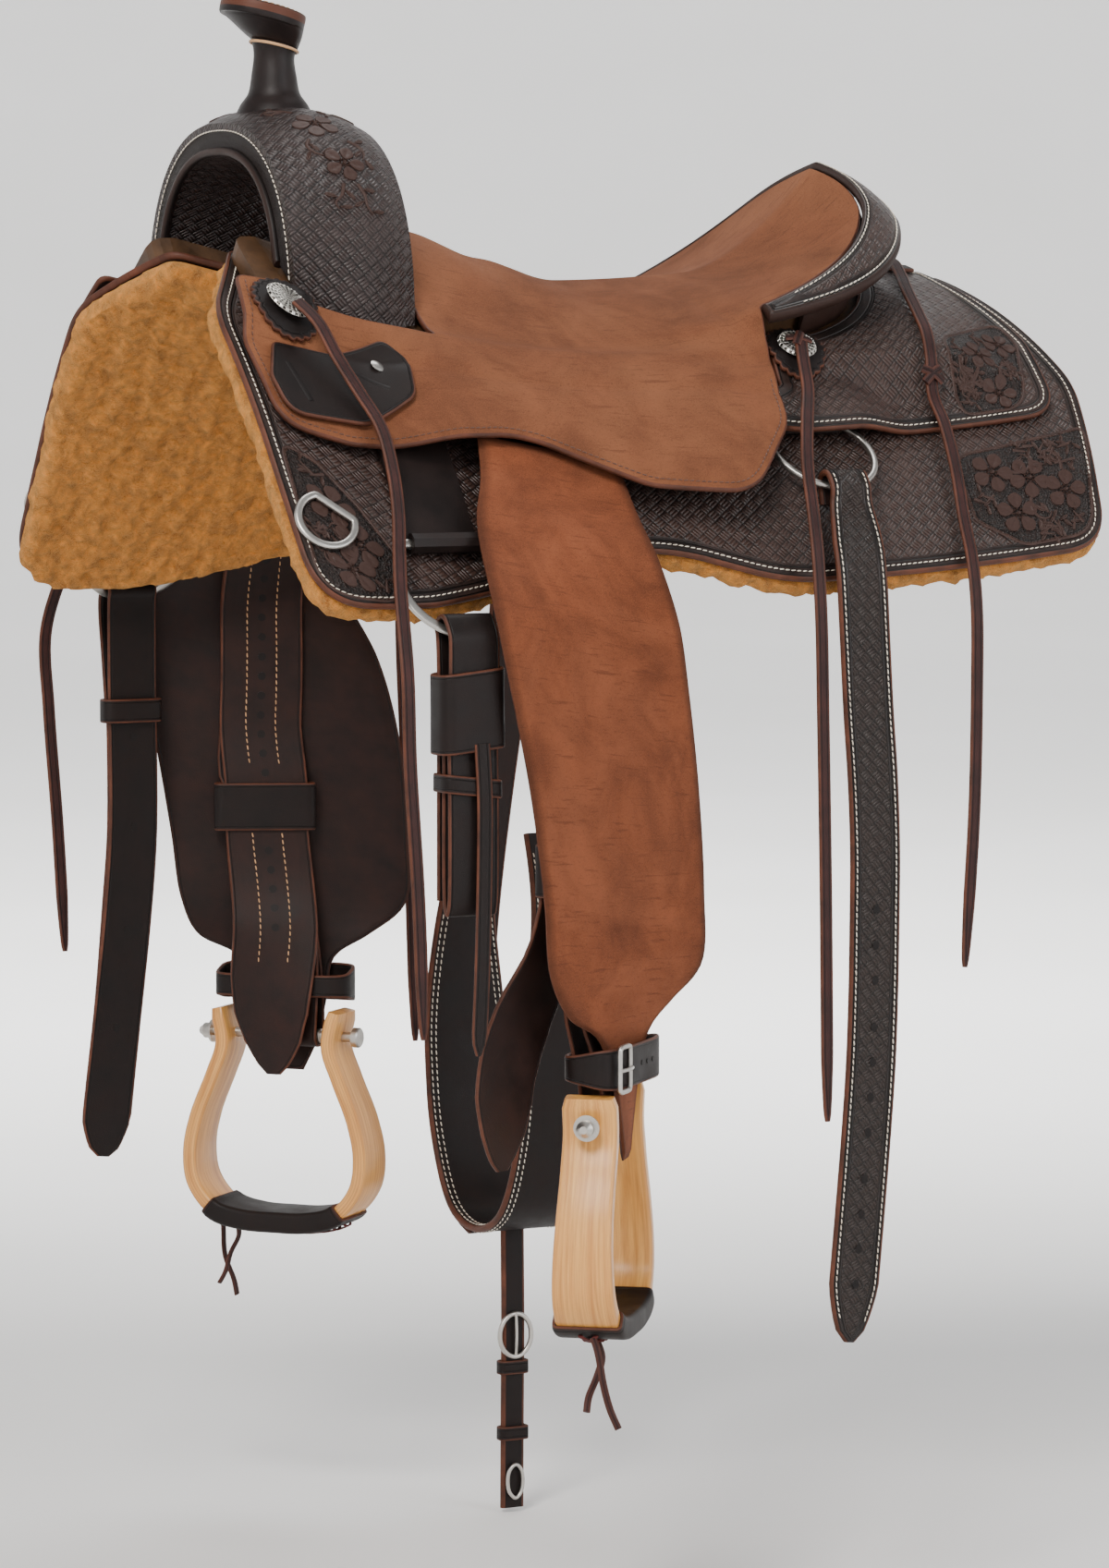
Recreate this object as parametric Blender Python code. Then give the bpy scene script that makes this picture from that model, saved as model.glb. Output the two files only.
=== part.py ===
"""Cutting saddle: a western saddle with leather covers, rigging, fenders and wooden stirrups.

Frame: +X is the rider's left, -Y is towards the horse's head, +Z is up, in metres.
The origin lies under the middle of the seat, where the channel between the bars rests over the back.
Most leather pieces are flat patterns, drawn in two coordinates: y along the saddle and s, the
distance from the centre ridge measured down over the side. They are draped over the back surface.
"""
import math

import bmesh
import bpy
from mathutils import Matrix, Vector

# Back surface: the outer face of the skirts, as an arc and then a flat at each y.
RIDGE_Z = 0.025
WITHERS_RISE = 0.115
LOIN_RISE = 0.038
FRONT_REACH = 0.34
REAR_REACH = 0.38
RIDGE_ANGLE = math.radians(8)
WITHERS_ANGLE = math.radians(23)
LOIN_ANGLE = math.radians(6)
SIDE_ANGLE = math.radians(56)
ARC_LENGTH = 0.30
RIDGE_BLEND = 0.07

# Clearances and the fitting grid that all draped pieces share.
GAP = 0.0005
SEAT_GAP = 0.0003
GRID = 0.04
FINE_GRID = 0.02

# Skirts and fleece.
SKIRT_THICK = 0.006
FLEECE_THICK = 0.018
SKIRT_FRONT_Y = -0.342
SKIRT_REAR_Y = 0.402
SKIRT_FRONT_DROP = 0.435
SKIRT_MIDDLE_DROP = 0.322
SKIRT_REAR_DROP = 0.357
SKIRT_TOP = 0.04

# Tree: bars, fork and cantle.
BAR_THICK = 0.022
BAR_INNER = 0.045
BAR_OUTER = 0.16
BAR_EDGE = 0.20
BAR_FRONT_Y = -0.30
BAR_REAR_Y = 0.335
FORK_FRONT_Y = -0.272
FORK_REAR_Y = -0.178
FORK_HALF_WIDTH = 0.148
FORK_TOP_Z = 0.188
FORK_FOOT_Z = 0.012
GULLET_HALF_WIDTH = 0.114
GULLET_TOP_Z = 0.160
SWELL_CROWN = 0.012
COVER_THICK = 0.0028
COVER_GAP = 0.0009

# Seat, jockeys and cantle.
LEATHER = 0.005
SEAT_FRONT_Y = -0.171
JOCKEY_TOP = 0.159
JOCKEY_FRONT_Y = -0.332
JOCKEY_DROP = 0.283
SEAT_WAIST_DROP = 0.257
SEAT_LEG_DROP = 0.294
SEAT_LEG_Y = 0.012
CANTLE_Y = 0.10
CANTLE_DEPTH = 0.162
CANTLE_HALF = 0.131
CANTLE_POWER = 2.5
CANTLE_RISE = 0.074
CANTLE_END_RISE = 0.014
DISH_START = 0.25
SEAT_LINES = (-0.14, 0.14, 0.18, 0.22)
SEAT_ACROSS = (-0.18, -0.14, 0.14, 0.18)
CANTLE_STEP = 7
ROLL_WIDTH = 0.036
ROLL_THICK = 0.011
ROLL_DROP = 0.026
REAR_JOCKEY_DROP = 0.232
REAR_JOCKEY_Y = 0.380

# Horn.
HORN_Y = -0.228
HORN_NECK_RADIUS = 0.0160
HORN_BASE_RADIUS = 0.031
HORN_CAP_Z = 0.2405
HORN_CAP_LENGTH = 0.069
HORN_CAP_WIDTH = 0.064
HORN_CAP_THICK = 0.010
HORN_CAP_DEPTH = 0.0265
HORN_CAP_SHIFT = -0.0150
HORN_CAP_TILT = math.radians(14)

# Rosettes and conchos.
ROSETTE_RADIUS = 0.026
ROSETTE_THICK = 0.0035
ROSETTE_SCALLOPS = 13
CONCHO_RADIUS = 0.016
CONCHO_THICK = 0.004
FRONT_ROSETTE = (-0.294, 0.170)
REAR_ROSETTE = (0.152, 0.154)

# Rigging.
DEE_THICK = 0.004
DEE_BAND = 0.0075
FRONT_DEE_Y = -0.216
FRONT_DEE_S = 0.350
FRONT_DEE_RADIUS = 0.052
FRONT_DEE_HEIGHT = 0.0098
REAR_DEE_Y = 0.141
REAR_DEE_S = 0.218
REAR_DEE_RADIUS = 0.046
REAR_DEE_WIRE = 0.005
REAR_DEE_HEIGHT = 0.0068
REAR_DEE_LEAN = math.radians(6)
BREAST_DEE = (-0.298, 0.342)
BREAST_DEE_HEIGHT = 0.0041
BREAST_DEE_SPIN = math.radians(-42)
RIGGING_THICK = 0.0035

# Fenders, stirrup leathers and stirrups.
FENDER_THICK = 0.004
STRAP_THICK = 0.0030
FENDER_ROWS = 18
HOBBLE_Z = -0.5370
SLEEVE_Z = -0.386
STRAP_WIDTH = 0.072
BOLT = Vector((0.285, -0.088, -0.580))
STIRRUP_TURN = math.radians(50)
STIRRUP_WOOD = 0.012
STIRRUP_HEIGHT = 0.176
STIRRUP_HALF_WIDTH = 0.086
STIRRUP_NECK = 0.052
TREAD_DEPTH = 0.050
NECK_DEPTH = 0.042

# Flank billets, cinch and strings.
BILLET_WIDTH = 0.045
LATIGO_SHIFT = -0.005
CINCH_Y = 0.090
BILLET_THICK = 0.005
STRING_WIDTH = 0.011
STRING_THICK = 0.003

# Places on the joints' axes.
FENDER_PIVOT = (0.190, -0.095, -0.060)
BILLET_PIVOT = (0.3137, -0.218, -0.206)
FLANK_PIVOT = (0.255, 0.141, -0.105)
CONNECTOR_PIVOT = (0.2065, 0.090, -0.7500)

COLOURS = {
    "tooled": ((0.045, 0.022, 0.015), 0.45, 0.0),
    "suede": ((0.30, 0.13, 0.055), 0.95, 0.0),
    "fleece": ((0.72, 0.36, 0.10), 1.0, 0.0),
    "strap": ((0.060, 0.022, 0.016), 0.5, 0.0),
    "lining": ((0.085, 0.035, 0.022), 0.6, 0.0),
    "wood": ((0.55, 0.32, 0.14), 0.45, 0.0),
    "rawhide": ((0.62, 0.50, 0.34), 0.6, 0.0),
    "steel": ((0.75, 0.75, 0.74), 0.28, 1.0),
}


def clear_scene():
    for obj in list(bpy.data.objects):
        bpy.data.objects.remove(obj, do_unlink=True)


clear_scene()
PARTS = bpy.data.collections.new("cutting_saddle")
CUTTERS = bpy.data.collections.new("cutters")
bpy.context.scene.collection.children.link(PARTS)
bpy.context.scene.collection.children.link(CUTTERS)


# Helpers for shapes of numbers
def clamp(value, low=0.0, high=1.0):
    return max(low, min(high, value))


def smooth(value):
    value = clamp(value)
    return value * value * (3 - 2 * value)


def through(x, stations):
    """Smooth curve through hand-placed stations (x, value)."""
    if x <= stations[0][0]:
        return stations[0][1]
    for (x0, v0), (x1, v1) in zip(stations, stations[1:]):
        if x <= x1:
            return v0 + (v1 - v0) * smooth((x - x0) / (x1 - x0))
    return stations[-1][1]


def spline(points, count):
    """Even samples along a curve through all the points."""
    pts = [Vector(p) for p in points]
    pts = [pts[0] * 2 - pts[1]] + pts + [pts[-1] * 2 - pts[-2]]
    fine = []
    for i in range(1, len(pts) - 2):
        p0, p1, p2, p3 = pts[i - 1:i + 3]
        for k in range(12):
            t = k / 12
            fine.append(0.5 * ((2 * p1) + (p2 - p0) * t + (2 * p0 - 5 * p1 + 4 * p2 - p3) * t * t
                               + (3 * p1 - p0 - 3 * p2 + p3) * t ** 3))
    fine.append(pts[-2])
    lengths = [0.0]
    for a, b in zip(fine, fine[1:]):
        lengths.append(lengths[-1] + (b - a).length)
    result = []
    j = 0
    for k in range(count):
        want = lengths[-1] * k / (count - 1)
        while j < len(fine) - 2 and lengths[j + 1] < want:
            j += 1
        span = lengths[j + 1] - lengths[j]
        t = (want - lengths[j]) / span if span > 0 else 0.0
        result.append(fine[j].lerp(fine[j + 1], clamp(t)))
    return result


def rounded(corners, steps=3):
    """Outline from corners (y, s, radius), with an arc at each corner that has a radius."""
    result = []
    count = len(corners)
    for i, (y, s, radius) in enumerate(corners):
        here = Vector((y, s))
        if radius <= 0:
            result.append(here)
            continue
        before = (Vector(corners[i - 1][:2]) - here)
        after = (Vector(corners[(i + 1) % count][:2]) - here)
        half = before.angle(after) / 2
        cut = min(radius / math.tan(half), 0.45 * before.length, 0.45 * after.length)
        start = here + before.normalized() * cut
        end = here + after.normalized() * cut
        for k in range(steps + 1):
            t = k / steps
            result.append(start * (1 - t) ** 2 + here * 2 * t * (1 - t) + end * t * t)
    return result


# The back surface
def ridge_z(y):
    if y < 0:
        return RIDGE_Z + WITHERS_RISE * (y / FRONT_REACH) ** 2
    return RIDGE_Z + LOIN_RISE * (y / REAR_REACH) ** 2


def ridge_angle(y):
    if y < 0:
        return RIDGE_ANGLE + WITHERS_ANGLE * (y / FRONT_REACH) ** 2
    return RIDGE_ANGLE + LOIN_ANGLE * (y / REAR_REACH) ** 2


def surface(y, s, height=0.0):
    """World point at pattern place (y, s), raised by height along the surface's normal."""
    side = -1.0 if s < 0 else 1.0
    s = abs(s)
    start = ridge_angle(y)
    bend = (SIDE_ANGLE - start) / ARC_LENGTH
    angle = start + bend * min(s, ARC_LENGTH)
    beyond = max(0.0, s - ARC_LENGTH)
    x = (math.sin(angle) - math.sin(start)) / bend + beyond * math.cos(angle)
    z = ridge_z(y) - (math.cos(start) - math.cos(angle)) / bend - beyond * math.sin(angle)
    lean = angle * smooth(s / RIDGE_BLEND)
    return Vector((side * (x + height * math.sin(lean)), y, z + height * math.cos(lean)))


def normal(y, s):
    return (surface(y, s, 0.01) - surface(y, s)).normalized()


def support(y, s):
    """Height of the bars' top above the skirts."""
    across = clamp((BAR_EDGE - abs(s)) / (BAR_EDGE - BAR_OUTER))
    rear = clamp((0.36 - y) / 0.08)
    front = clamp((y + 0.36) / 0.08)
    return BAR_THICK * min(across, rear, front)


# Objects
MATERIALS = {}


def material(kind):
    if kind not in MATERIALS:
        colour, roughness, metallic = COLOURS[kind]
        mat = bpy.data.materials.new(kind)
        mat.use_nodes = True
        shader = mat.node_tree.nodes["Principled BSDF"]
        shader.inputs["Base Color"].default_value = (*colour, 1.0)
        shader.inputs["Roughness"].default_value = roughness
        shader.inputs["Metallic"].default_value = metallic
        MATERIALS[kind] = mat
    return MATERIALS[kind]


def finish(name, bm, kind, collection=None):
    bmesh.ops.recalc_face_normals(bm, faces=bm.faces[:])
    mesh = bpy.data.meshes.new(name)
    bm.to_mesh(mesh)
    bm.free()
    mesh.shade_smooth()
    mesh.set_sharp_from_angle(angle=math.radians(35))
    obj = bpy.data.objects.new(name, mesh)
    (collection or PARTS).objects.link(obj)
    own = material(kind).copy()
    own.name = name
    obj.data.materials.append(own)
    return obj


def combine(obj, other, operation):
    """Boolean with a helper shape, which stays hidden."""
    other.hide_render = True
    other.display_type = "WIRE"
    mod = obj.modifiers.new(operation.lower(), "BOOLEAN")
    mod.operation = operation
    mod.solver = "EXACT"
    mod.object = other


def cut_with(obj, cutter):
    combine(obj, cutter, "DIFFERENCE")


def join_with(obj, other):
    combine(obj, other, "UNION")


def mirrored(side, point):
    return Vector((side * point[0], point[1], point[2]))


# Draped leather
def scored(outline, grid, extra=((), ())):
    """One face with the outline, scored along the fitting grid and any extra lines in y and s."""
    bm = bmesh.new()
    bm.faces.new([bm.verts.new((y, s, 0.0)) for y, s in outline])
    for axis in (0, 1):
        values = [p[axis] for p in outline]
        first = math.floor(min(values) / grid) + 1
        last = math.ceil(max(values) / grid)
        direction = [0.0, 0.0, 0.0]
        direction[axis] = 1.0
        for place in [k * grid for k in range(first, last)] + list(extra[axis]):
            centre = [c * place for c in direction]
            geom = bm.verts[:] + bm.edges[:] + bm.faces[:]
            bmesh.ops.bisect_plane(bm, geom=geom, dist=1e-5, plane_co=centre, plane_no=direction)
    bmesh.ops.remove_doubles(bm, verts=bm.verts[:], dist=2e-4)
    for face in [f for f in bm.faces if len(f.verts) == 4]:
        order = sorted(face.verts, key=lambda v: v.co.x + abs(v.co.y))
        if order[0].link_edges and not any(order[3] in e.verts for e in order[0].link_edges):
            bmesh.utils.face_split(face, order[0], order[3])
    bmesh.ops.triangulate(bm, faces=bm.faces[:])
    return bm


def drape(name, outline, low, high, kind, side=1, grid=GRID, extra=((), ()), collection=None):
    """Closed sheet between two heights over the back surface."""
    bm = scored(outline, grid, extra)
    bottom = bm.verts[:]
    extruded = bmesh.ops.extrude_face_region(bm, geom=bm.faces[:], use_keep_orig=True)
    top = [item for item in extruded["geom"] if isinstance(item, bmesh.types.BMVert)]
    for verts, height in ((bottom, low), (top, high)):
        for vert in verts:
            y, s = vert.co.x, vert.co.y
            vert.co = mirrored(side, surface(y, s, height(y, s)))
    return finish(name, bm, kind, collection)


def flat(height):
    return lambda y, s: height


# Straps and bands: a rectangle swept along stations
def skin(bm, rows, closed=False, split=""):
    """Faces between rows of points; split gives each face one diagonal.

    With "nested" it is the same on two skins, one in the other, and with "strap" on a strap's two sides.
    """
    count = len(rows[0])
    pairs = list(zip(rows, rows[1:]))
    if closed:
        pairs.append((rows[-1], rows[0]))
    for a, b in pairs:
        for i in range(count):
            j = (i + 1) % count
            if split == "strap" and 2 * i >= count:
                bm.faces.new((a[i], a[j], b[i]))
                bm.faces.new((a[j], b[j], b[i]))
            elif split:
                bm.faces.new((a[i], a[j], b[j]))
                bm.faces.new((a[i], b[j], b[i]))
            else:
                bm.faces.new((a[i], a[j], b[j], b[i]))


def loft(name, rings, kind, closed=False, collection=None, split=""):
    """Skin over rings with equal counts of points."""
    bm = bmesh.new()
    rows = [[bm.verts.new(p) for p in ring] for ring in rings]
    skin(bm, rows, closed, split)
    if not closed:
        bm.faces.new(rows[0])
        bm.faces.new(rows[-1])
    return finish(name, bm, kind, collection)


def band_rings(path, across, widths, thick, side=1, shift=0.0):
    """Rectangles along a path; across gives each station's width direction."""
    rings = []
    count = len(path)
    run = [0.0]
    for a, b in zip(path, path[1:]):
        run.append(run[-1] + (b - a).length)
    for i, point in enumerate(path):
        share = run[i] / run[-1]
        before = (point - path[max(i - 1, 0)]).normalized()
        after = (path[min(i + 1, count - 1)] - point).normalized()
        ahead = (before + after).normalized()
        wide = Vector(across(share)).normalized()
        out = wide.cross(ahead).normalized()
        wide = ahead.cross(out).normalized()
        half = widths(share) / 2
        centre = point + out * shift
        ring = [centre + wide * half - out * thick / 2,
                centre + wide * half + out * thick / 2,
                centre - wide * half + out * thick / 2,
                centre - wide * half - out * thick / 2]
        rings.append([mirrored(side, p) for p in ring])
    return rings


def band(name, points, widths, thick, kind, side=1, across=(0, 1, 0), count=0):
    """Strap along points: through them as they are, or along an even curve of that many stations."""
    path = spline(points, count) if count else [Vector(p) for p in points]
    direction = across if callable(across) else (lambda t: across)
    width = widths if callable(widths) else (lambda t: widths)
    return loft(name, band_rings(path, direction, width, thick, side), kind)


def pointed(width, tip=0.12, end=0.25):
    """Width along a strap that narrows to a point over its last part."""
    return lambda t: width * (end + (1 - end) * math.sqrt(clamp((1 - t) / tip)))


# Skirts and fleece
def skirt_outline():
    return rounded([
        (SKIRT_FRONT_Y + 0.100, SKIRT_TOP, 0.0),
        (SKIRT_FRONT_Y + 0.050, SKIRT_TOP + 0.020, 0.03),
        (SKIRT_FRONT_Y, SKIRT_TOP + 0.130, 0.10),
        (SKIRT_FRONT_Y + 0.010, SKIRT_FRONT_DROP + 0.002, 0.045),
        (SKIRT_FRONT_Y + 0.110, SKIRT_FRONT_DROP - 0.032, 0.10),
        (-0.040, SKIRT_MIDDLE_DROP - 0.006, 0.20),
        (0.080, SKIRT_REAR_DROP, 0.20),
        (SKIRT_REAR_Y - 0.026, SKIRT_REAR_DROP, 0.045),
        (SKIRT_REAR_Y + 0.004, 0.200, 0.12),
        (SKIRT_REAR_Y - 0.020, 0.050, 0.04),
        (SKIRT_REAR_Y - 0.026, 0.008, 0.0),
        (0.300, 0.008, 0.0),
        (0.240, SKIRT_TOP, 0.0),
    ])


def build_skirts():
    outline = skirt_outline()
    for side, word in ((1, "left"), (-1, "right")):
        drape(f"skirt_{word}", outline, flat(-SKIRT_THICK), flat(0.0), "tooled", side)
        drape(f"fleece_{word}", outline, flat(-SKIRT_THICK - GAP - FLEECE_THICK),
              flat(-SKIRT_THICK - GAP), "fleece", side)


# Tree
def fork_point(turn, depth, inset):
    """Point of the fork's section at an angle from the top; depth runs 0 to 1 round the section."""
    sine = abs(math.sin(turn)) ** 0.85
    sign = 1.0 if turn >= 0 else -1.0
    cosine = max(0.0, math.cos(turn))
    outer = Vector((sign * FORK_HALF_WIDTH * sine,
                    FORK_FOOT_Z + (FORK_TOP_Z - FORK_FOOT_Z) * cosine ** 0.8))
    inner = Vector((sign * GULLET_HALF_WIDTH * sine,
                    FORK_FOOT_Z + (GULLET_TOP_Z - FORK_FOOT_Z) * cosine ** 0.7))
    outward = (outer - inner).normalized()
    length = (outer - inner).length
    front, rear = FORK_FRONT_Y, FORK_REAR_Y
    crown = SWELL_CROWN
    profile = [(0.0, front), (0.0, rear), (length * 0.45, rear), (length - crown, rear),
               (length - crown * 0.35, rear - 0.018), (length, (front + rear) / 2),
               (length - crown * 0.35, front + 0.018), (length - crown, front),
               (length * 0.45, front)]
    count = len(profile)
    before = Vector(profile[depth - 1])
    here = Vector(profile[depth])
    after = Vector(profile[(depth + 1) % count])
    one = (here - before).normalized()
    two = (after - here).normalized()
    mitre = Vector((one.y + two.y, -(one.x + two.x)))
    mitre = mitre.normalized() / max(0.5, math.cos(one.angle(two, 0.0) / 2)) if mitre.length else mitre
    here = here + mitre * inset
    place = inner + outward * here.x
    return Vector((place.x, here.y, place.y))


FORK_POINTS = 9
FORK_STEPS = 7


def fork_rings(inset):
    rings = []
    for k in range(-FORK_STEPS, FORK_STEPS + 1):
        turn = math.radians(90) * k / FORK_STEPS
        rings.append([fork_point(turn, i, inset) for i in range(FORK_POINTS)])
    for index in (0, -1):
        low = [p - Vector((0, 0, 0.06)) for p in rings[index]]
        if index == 0:
            rings.insert(0, low)
        else:
            rings.append(low)
    return rings


def below_bars(name, clearance):
    """Cutter that fills the space under the bars' top."""
    outline = [(-0.32, -0.26), (-0.12, -0.26), (-0.12, 0.26), (-0.32, 0.26)]
    return drape(name, outline, flat(-0.10), lambda y, s: support(y, s) + clearance,
                 "rawhide", grid=GRID, collection=CUTTERS)


def build_tree():
    bar = rounded([
        (BAR_FRONT_Y, 0.075, 0.02), (BAR_FRONT_Y, 0.165, 0.03), (-0.20, 0.185, 0.05),
        (0.25, 0.185, 0.05), (BAR_REAR_Y, 0.150, 0.03), (BAR_REAR_Y, 0.070, 0.02),
        (0.24, BAR_INNER, 0.05), (-0.18, BAR_INNER, 0.05)])
    tree = loft("tree", fork_rings(0.0), "rawhide", split="nested")
    cut_with(tree, below_bars("below_fork", -0.005))
    for side, word in ((1, "left"), (-1, "right")):
        join_with(tree, drape(f"bar_{word}", bar, flat(GAP), lambda y, s: max(0.003, support(y, s)),
                              "rawhide", side, collection=CUTTERS))
    join_with(tree, drape("cantle", cantle_crescent(0.78, 0.972),
                          lambda y, s: support(y, s) - 0.0065,
                          lambda y, s: max(support(y, s) + 0.003, seat_height(y, s) - LEATHER - 0.001),
                          "rawhide", extra=(SEAT_LINES, ()), collection=CUTTERS))


def build_swell_cover():
    """Leather shell over the fork, with a rolled front lip."""
    bm = bmesh.new()
    inner = fork_rings(-COVER_GAP)
    outer = fork_rings(-COVER_GAP - COVER_THICK)
    skins = []
    for rings in (inner, outer):
        rows = [[bm.verts.new(p) for p in ring] for ring in rings]
        skin(bm, rows, split="nested")
        skins.append(rows)
    for end in (0, -1):
        a, b = skins[0][end], skins[1][end]
        for i in range(FORK_POINTS):
            j = (i + 1) % FORK_POINTS
            bm.faces.new((a[i], a[j], b[j], b[i]))
    cover = finish("swell_cover", bm, "tooled")
    cut_with(cover, below_bars("below_cover", 0.0024))


def build_horn():
    base = FORK_TOP_Z - 0.012
    profile = [(HORN_BASE_RADIUS, base), (HORN_BASE_RADIUS * 0.86, FORK_TOP_Z + 0.005),
               (HORN_NECK_RADIUS + 0.0045, FORK_TOP_Z + 0.014),
               (HORN_NECK_RADIUS + 0.0018, FORK_TOP_Z + 0.028),
               (HORN_NECK_RADIUS, HORN_CAP_Z - 0.010), (HORN_NECK_RADIUS + 0.0015, HORN_CAP_Z)]
    sides = 20
    rings = []
    for radius, z in profile:
        ring = []
        for k in range(sides):
            angle = 2 * math.pi * k / sides
            y = radius * math.sin(angle)
            lean = (z - base) / (HORN_CAP_Z - base)
            ring.append(Vector((radius * math.cos(angle), HORN_Y + y,
                                z - y * math.tan(HORN_CAP_TILT) * lean ** 3)))
        rings.append(ring)
    neck = loft("horn_neck", rings, "tooled")
    cutter = loft("swell_top", fork_rings(-COVER_GAP - COVER_THICK - SEAT_GAP), "tooled",
                  collection=CUTTERS, split="nested")
    cut_with(neck, cutter)
    bm = bmesh.new()
    rim = HORN_CAP_DEPTH - HORN_CAP_THICK
    levels = [(0.56, 0.0, 0.0), (0.68, 0.25, 0.24 * rim), (0.82, 0.55, 0.55 * rim), (0.94, 0.85, 0.84 * rim),
              (1.0, 1.0, rim + 0.2 * HORN_CAP_THICK), (1.0, 1.0, rim + 0.6 * HORN_CAP_THICK),
              (0.93, 1.0, rim + 0.86 * HORN_CAP_THICK), (0.70, 1.0, HORN_CAP_DEPTH)]
    rows = []
    for share, shift, z in levels:
        row = []
        for k in range(24):
            angle = 2 * math.pi * k / 24
            row.append(bm.verts.new((share * HORN_CAP_WIDTH / 2 * math.cos(angle),
                                     share * HORN_CAP_LENGTH / 2 * math.sin(angle) + shift * HORN_CAP_SHIFT, z)))
        rows.append(row)
    for a, b in zip(rows, rows[1:]):
        for i in range(24):
            bm.faces.new((a[i], a[(i + 1) % 24], b[(i + 1) % 24], b[i]))
    bm.faces.new(rows[0])
    bm.faces.new(rows[-1])
    place = Matrix.Translation((0, HORN_Y, HORN_CAP_Z + SEAT_GAP))
    bmesh.ops.transform(bm, matrix=place @ Matrix.Rotation(-HORN_CAP_TILT, 4, "X"), verts=bm.verts[:])
    finish("horn_cap", bm, "tooled")


# Seat and cantle
def cantle_place(turn, reach):
    """Pattern place on the cantle arc: turn 0 at the centre, reach 1 at the rim."""
    power = 2 / CANTLE_POWER
    s = CANTLE_HALF * reach * abs(math.sin(turn)) ** power
    y = CANTLE_Y + CANTLE_DEPTH * reach * abs(math.cos(turn)) ** power
    return y, (s if turn >= 0 else -s)


def cantle_reach(y, s):
    ahead = max(0.0, (y - CANTLE_Y) / CANTLE_DEPTH)
    across = abs(s) / CANTLE_HALF
    return (ahead ** CANTLE_POWER + across ** CANTLE_POWER) ** (1 / CANTLE_POWER)


def cantle_rise(y, s):
    """Extra height of the rim at the direction of (y, s)."""
    ahead = max(0.0, (y - CANTLE_Y) / CANTLE_DEPTH)
    across = abs(s) / CANTLE_HALF
    length = math.hypot(ahead, across)
    share = (ahead / length) if length > 1e-6 else 1.0
    fade = 1.0 if y > CANTLE_Y else smooth(1 - (CANTLE_Y - y) / 0.10)
    return (CANTLE_END_RISE + (CANTLE_RISE - CANTLE_END_RISE) * share ** 0.9) * fade


def saddle_height(y, s):
    """Top of the seat and jockeys before the cantle's rise."""
    centre = through(y, [(-0.17, 0.043), (-0.11, 0.036), (-0.05, 0.025), (0.02, 0.010), (0.27, 0.013)])
    edge = through(y, [(-0.33, 0.0085), (-0.25, 0.015), (-0.18, 0.034), (0.05, 0.036), (0.13, 0.028)])
    middle = 0.0085
    s = abs(s)
    if s < 0.14:
        extra = centre + (middle - centre) * smooth(s / 0.14)
    else:
        extra = middle + (edge - middle) * smooth((s - 0.14) / 0.07)
    return support(y, s) + extra


def seat_height(y, s):
    reach = cantle_reach(y, s)
    if reach <= 1:
        dish = clamp((reach - DISH_START) / (1 - DISH_START)) ** 1.7
    else:
        dish = smooth(1 - (reach - 1) / 0.3)
    return saddle_height(y, s) + cantle_rise(y, s) * dish


def rim_height(y, s):
    """Seat height carried outward from the rim, for the pieces behind it."""
    reach = max(1.0, cantle_reach(y, s))
    return seat_height(CANTLE_Y + (y - CANTLE_Y) / reach, s / reach)


def cantle_turns(end):
    """Angles round the cantle, the same for every piece that meets there."""
    count = int(end / CANTLE_STEP)
    return [math.radians(CANTLE_STEP * k) for k in range(-count, count + 1)]


def cantle_crescent(inner, outer, end=84):
    turns = cantle_turns(end)
    outside = [cantle_place(t, outer) for t in turns]
    inside = [cantle_place(t, inner) for t in reversed(turns)]
    return outside + inside


def seat_half_outline():
    """Left half of the seat's outline, from the fork's rear, round the jockey, to the cantle's rim."""
    jockey = rounded([
        (SEAT_FRONT_Y, 0.10, 0.0),
        (SEAT_FRONT_Y, JOCKEY_TOP, 0.0),
        (FORK_FRONT_Y - 0.006, JOCKEY_TOP, 0.0),
        (FORK_FRONT_Y - 0.010, JOCKEY_TOP - 0.020, 0.0),
        (JOCKEY_FRONT_Y + 0.010, JOCKEY_TOP - 0.020, 0.012),
        (JOCKEY_FRONT_Y, JOCKEY_TOP + 0.050, 0.03),
        (JOCKEY_FRONT_Y + 0.008, JOCKEY_DROP - 0.004, 0.025),
        (JOCKEY_FRONT_Y + 0.060, JOCKEY_DROP, 0.04),
        (SEAT_LEG_Y - 0.146, SEAT_WAIST_DROP - 0.004, 0.08),
        (SEAT_LEG_Y - 0.050, SEAT_LEG_DROP - 0.004, 0.06),
        (SEAT_LEG_Y + 0.040, SEAT_LEG_DROP + 0.003, 0.05),
        (SEAT_LEG_Y + 0.098, 0.232, 0.05),
        (SEAT_LEG_Y + 0.1085, 0.180, 0.0),
    ])
    rim = [Vector(cantle_place(turn, 0.995)) for turn in reversed(cantle_turns(84)) if turn > -0.001]
    return jockey, rim


def build_seat():
    jockey, rim = seat_half_outline()
    half = jockey + rim
    other = [Vector((p.x, -p.y)) for p in reversed(half)]
    drape("seat", half + other[1:], lambda y, s: seat_height(y, s) - LEATHER, seat_height,
          "suede", extra=(SEAT_LINES, SEAT_ACROSS))
    ground = [(SEAT_FRONT_Y + 0.004, 0.090), (0.09, 0.090)]
    ground += [cantle_place(math.radians(56 * (1 - k / 8)), 0.72) for k in range(9)]
    ground += [(y, -s) for y, s in reversed(ground[:-1])]
    drape("ground_seat", ground, lambda y, s: support(y, s) + 0.0013,
          lambda y, s: max(support(y, s) + 0.002, seat_height(y, s) - LEATHER - 0.0015),
          "lining", extra=(SEAT_LINES, ()))


def roll_share(y, s):
    """0 at the rim, 1 at the roll's outer edge."""
    return clamp((cantle_reach(y, s) - 1) * CANTLE_DEPTH / ROLL_WIDTH)


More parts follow.
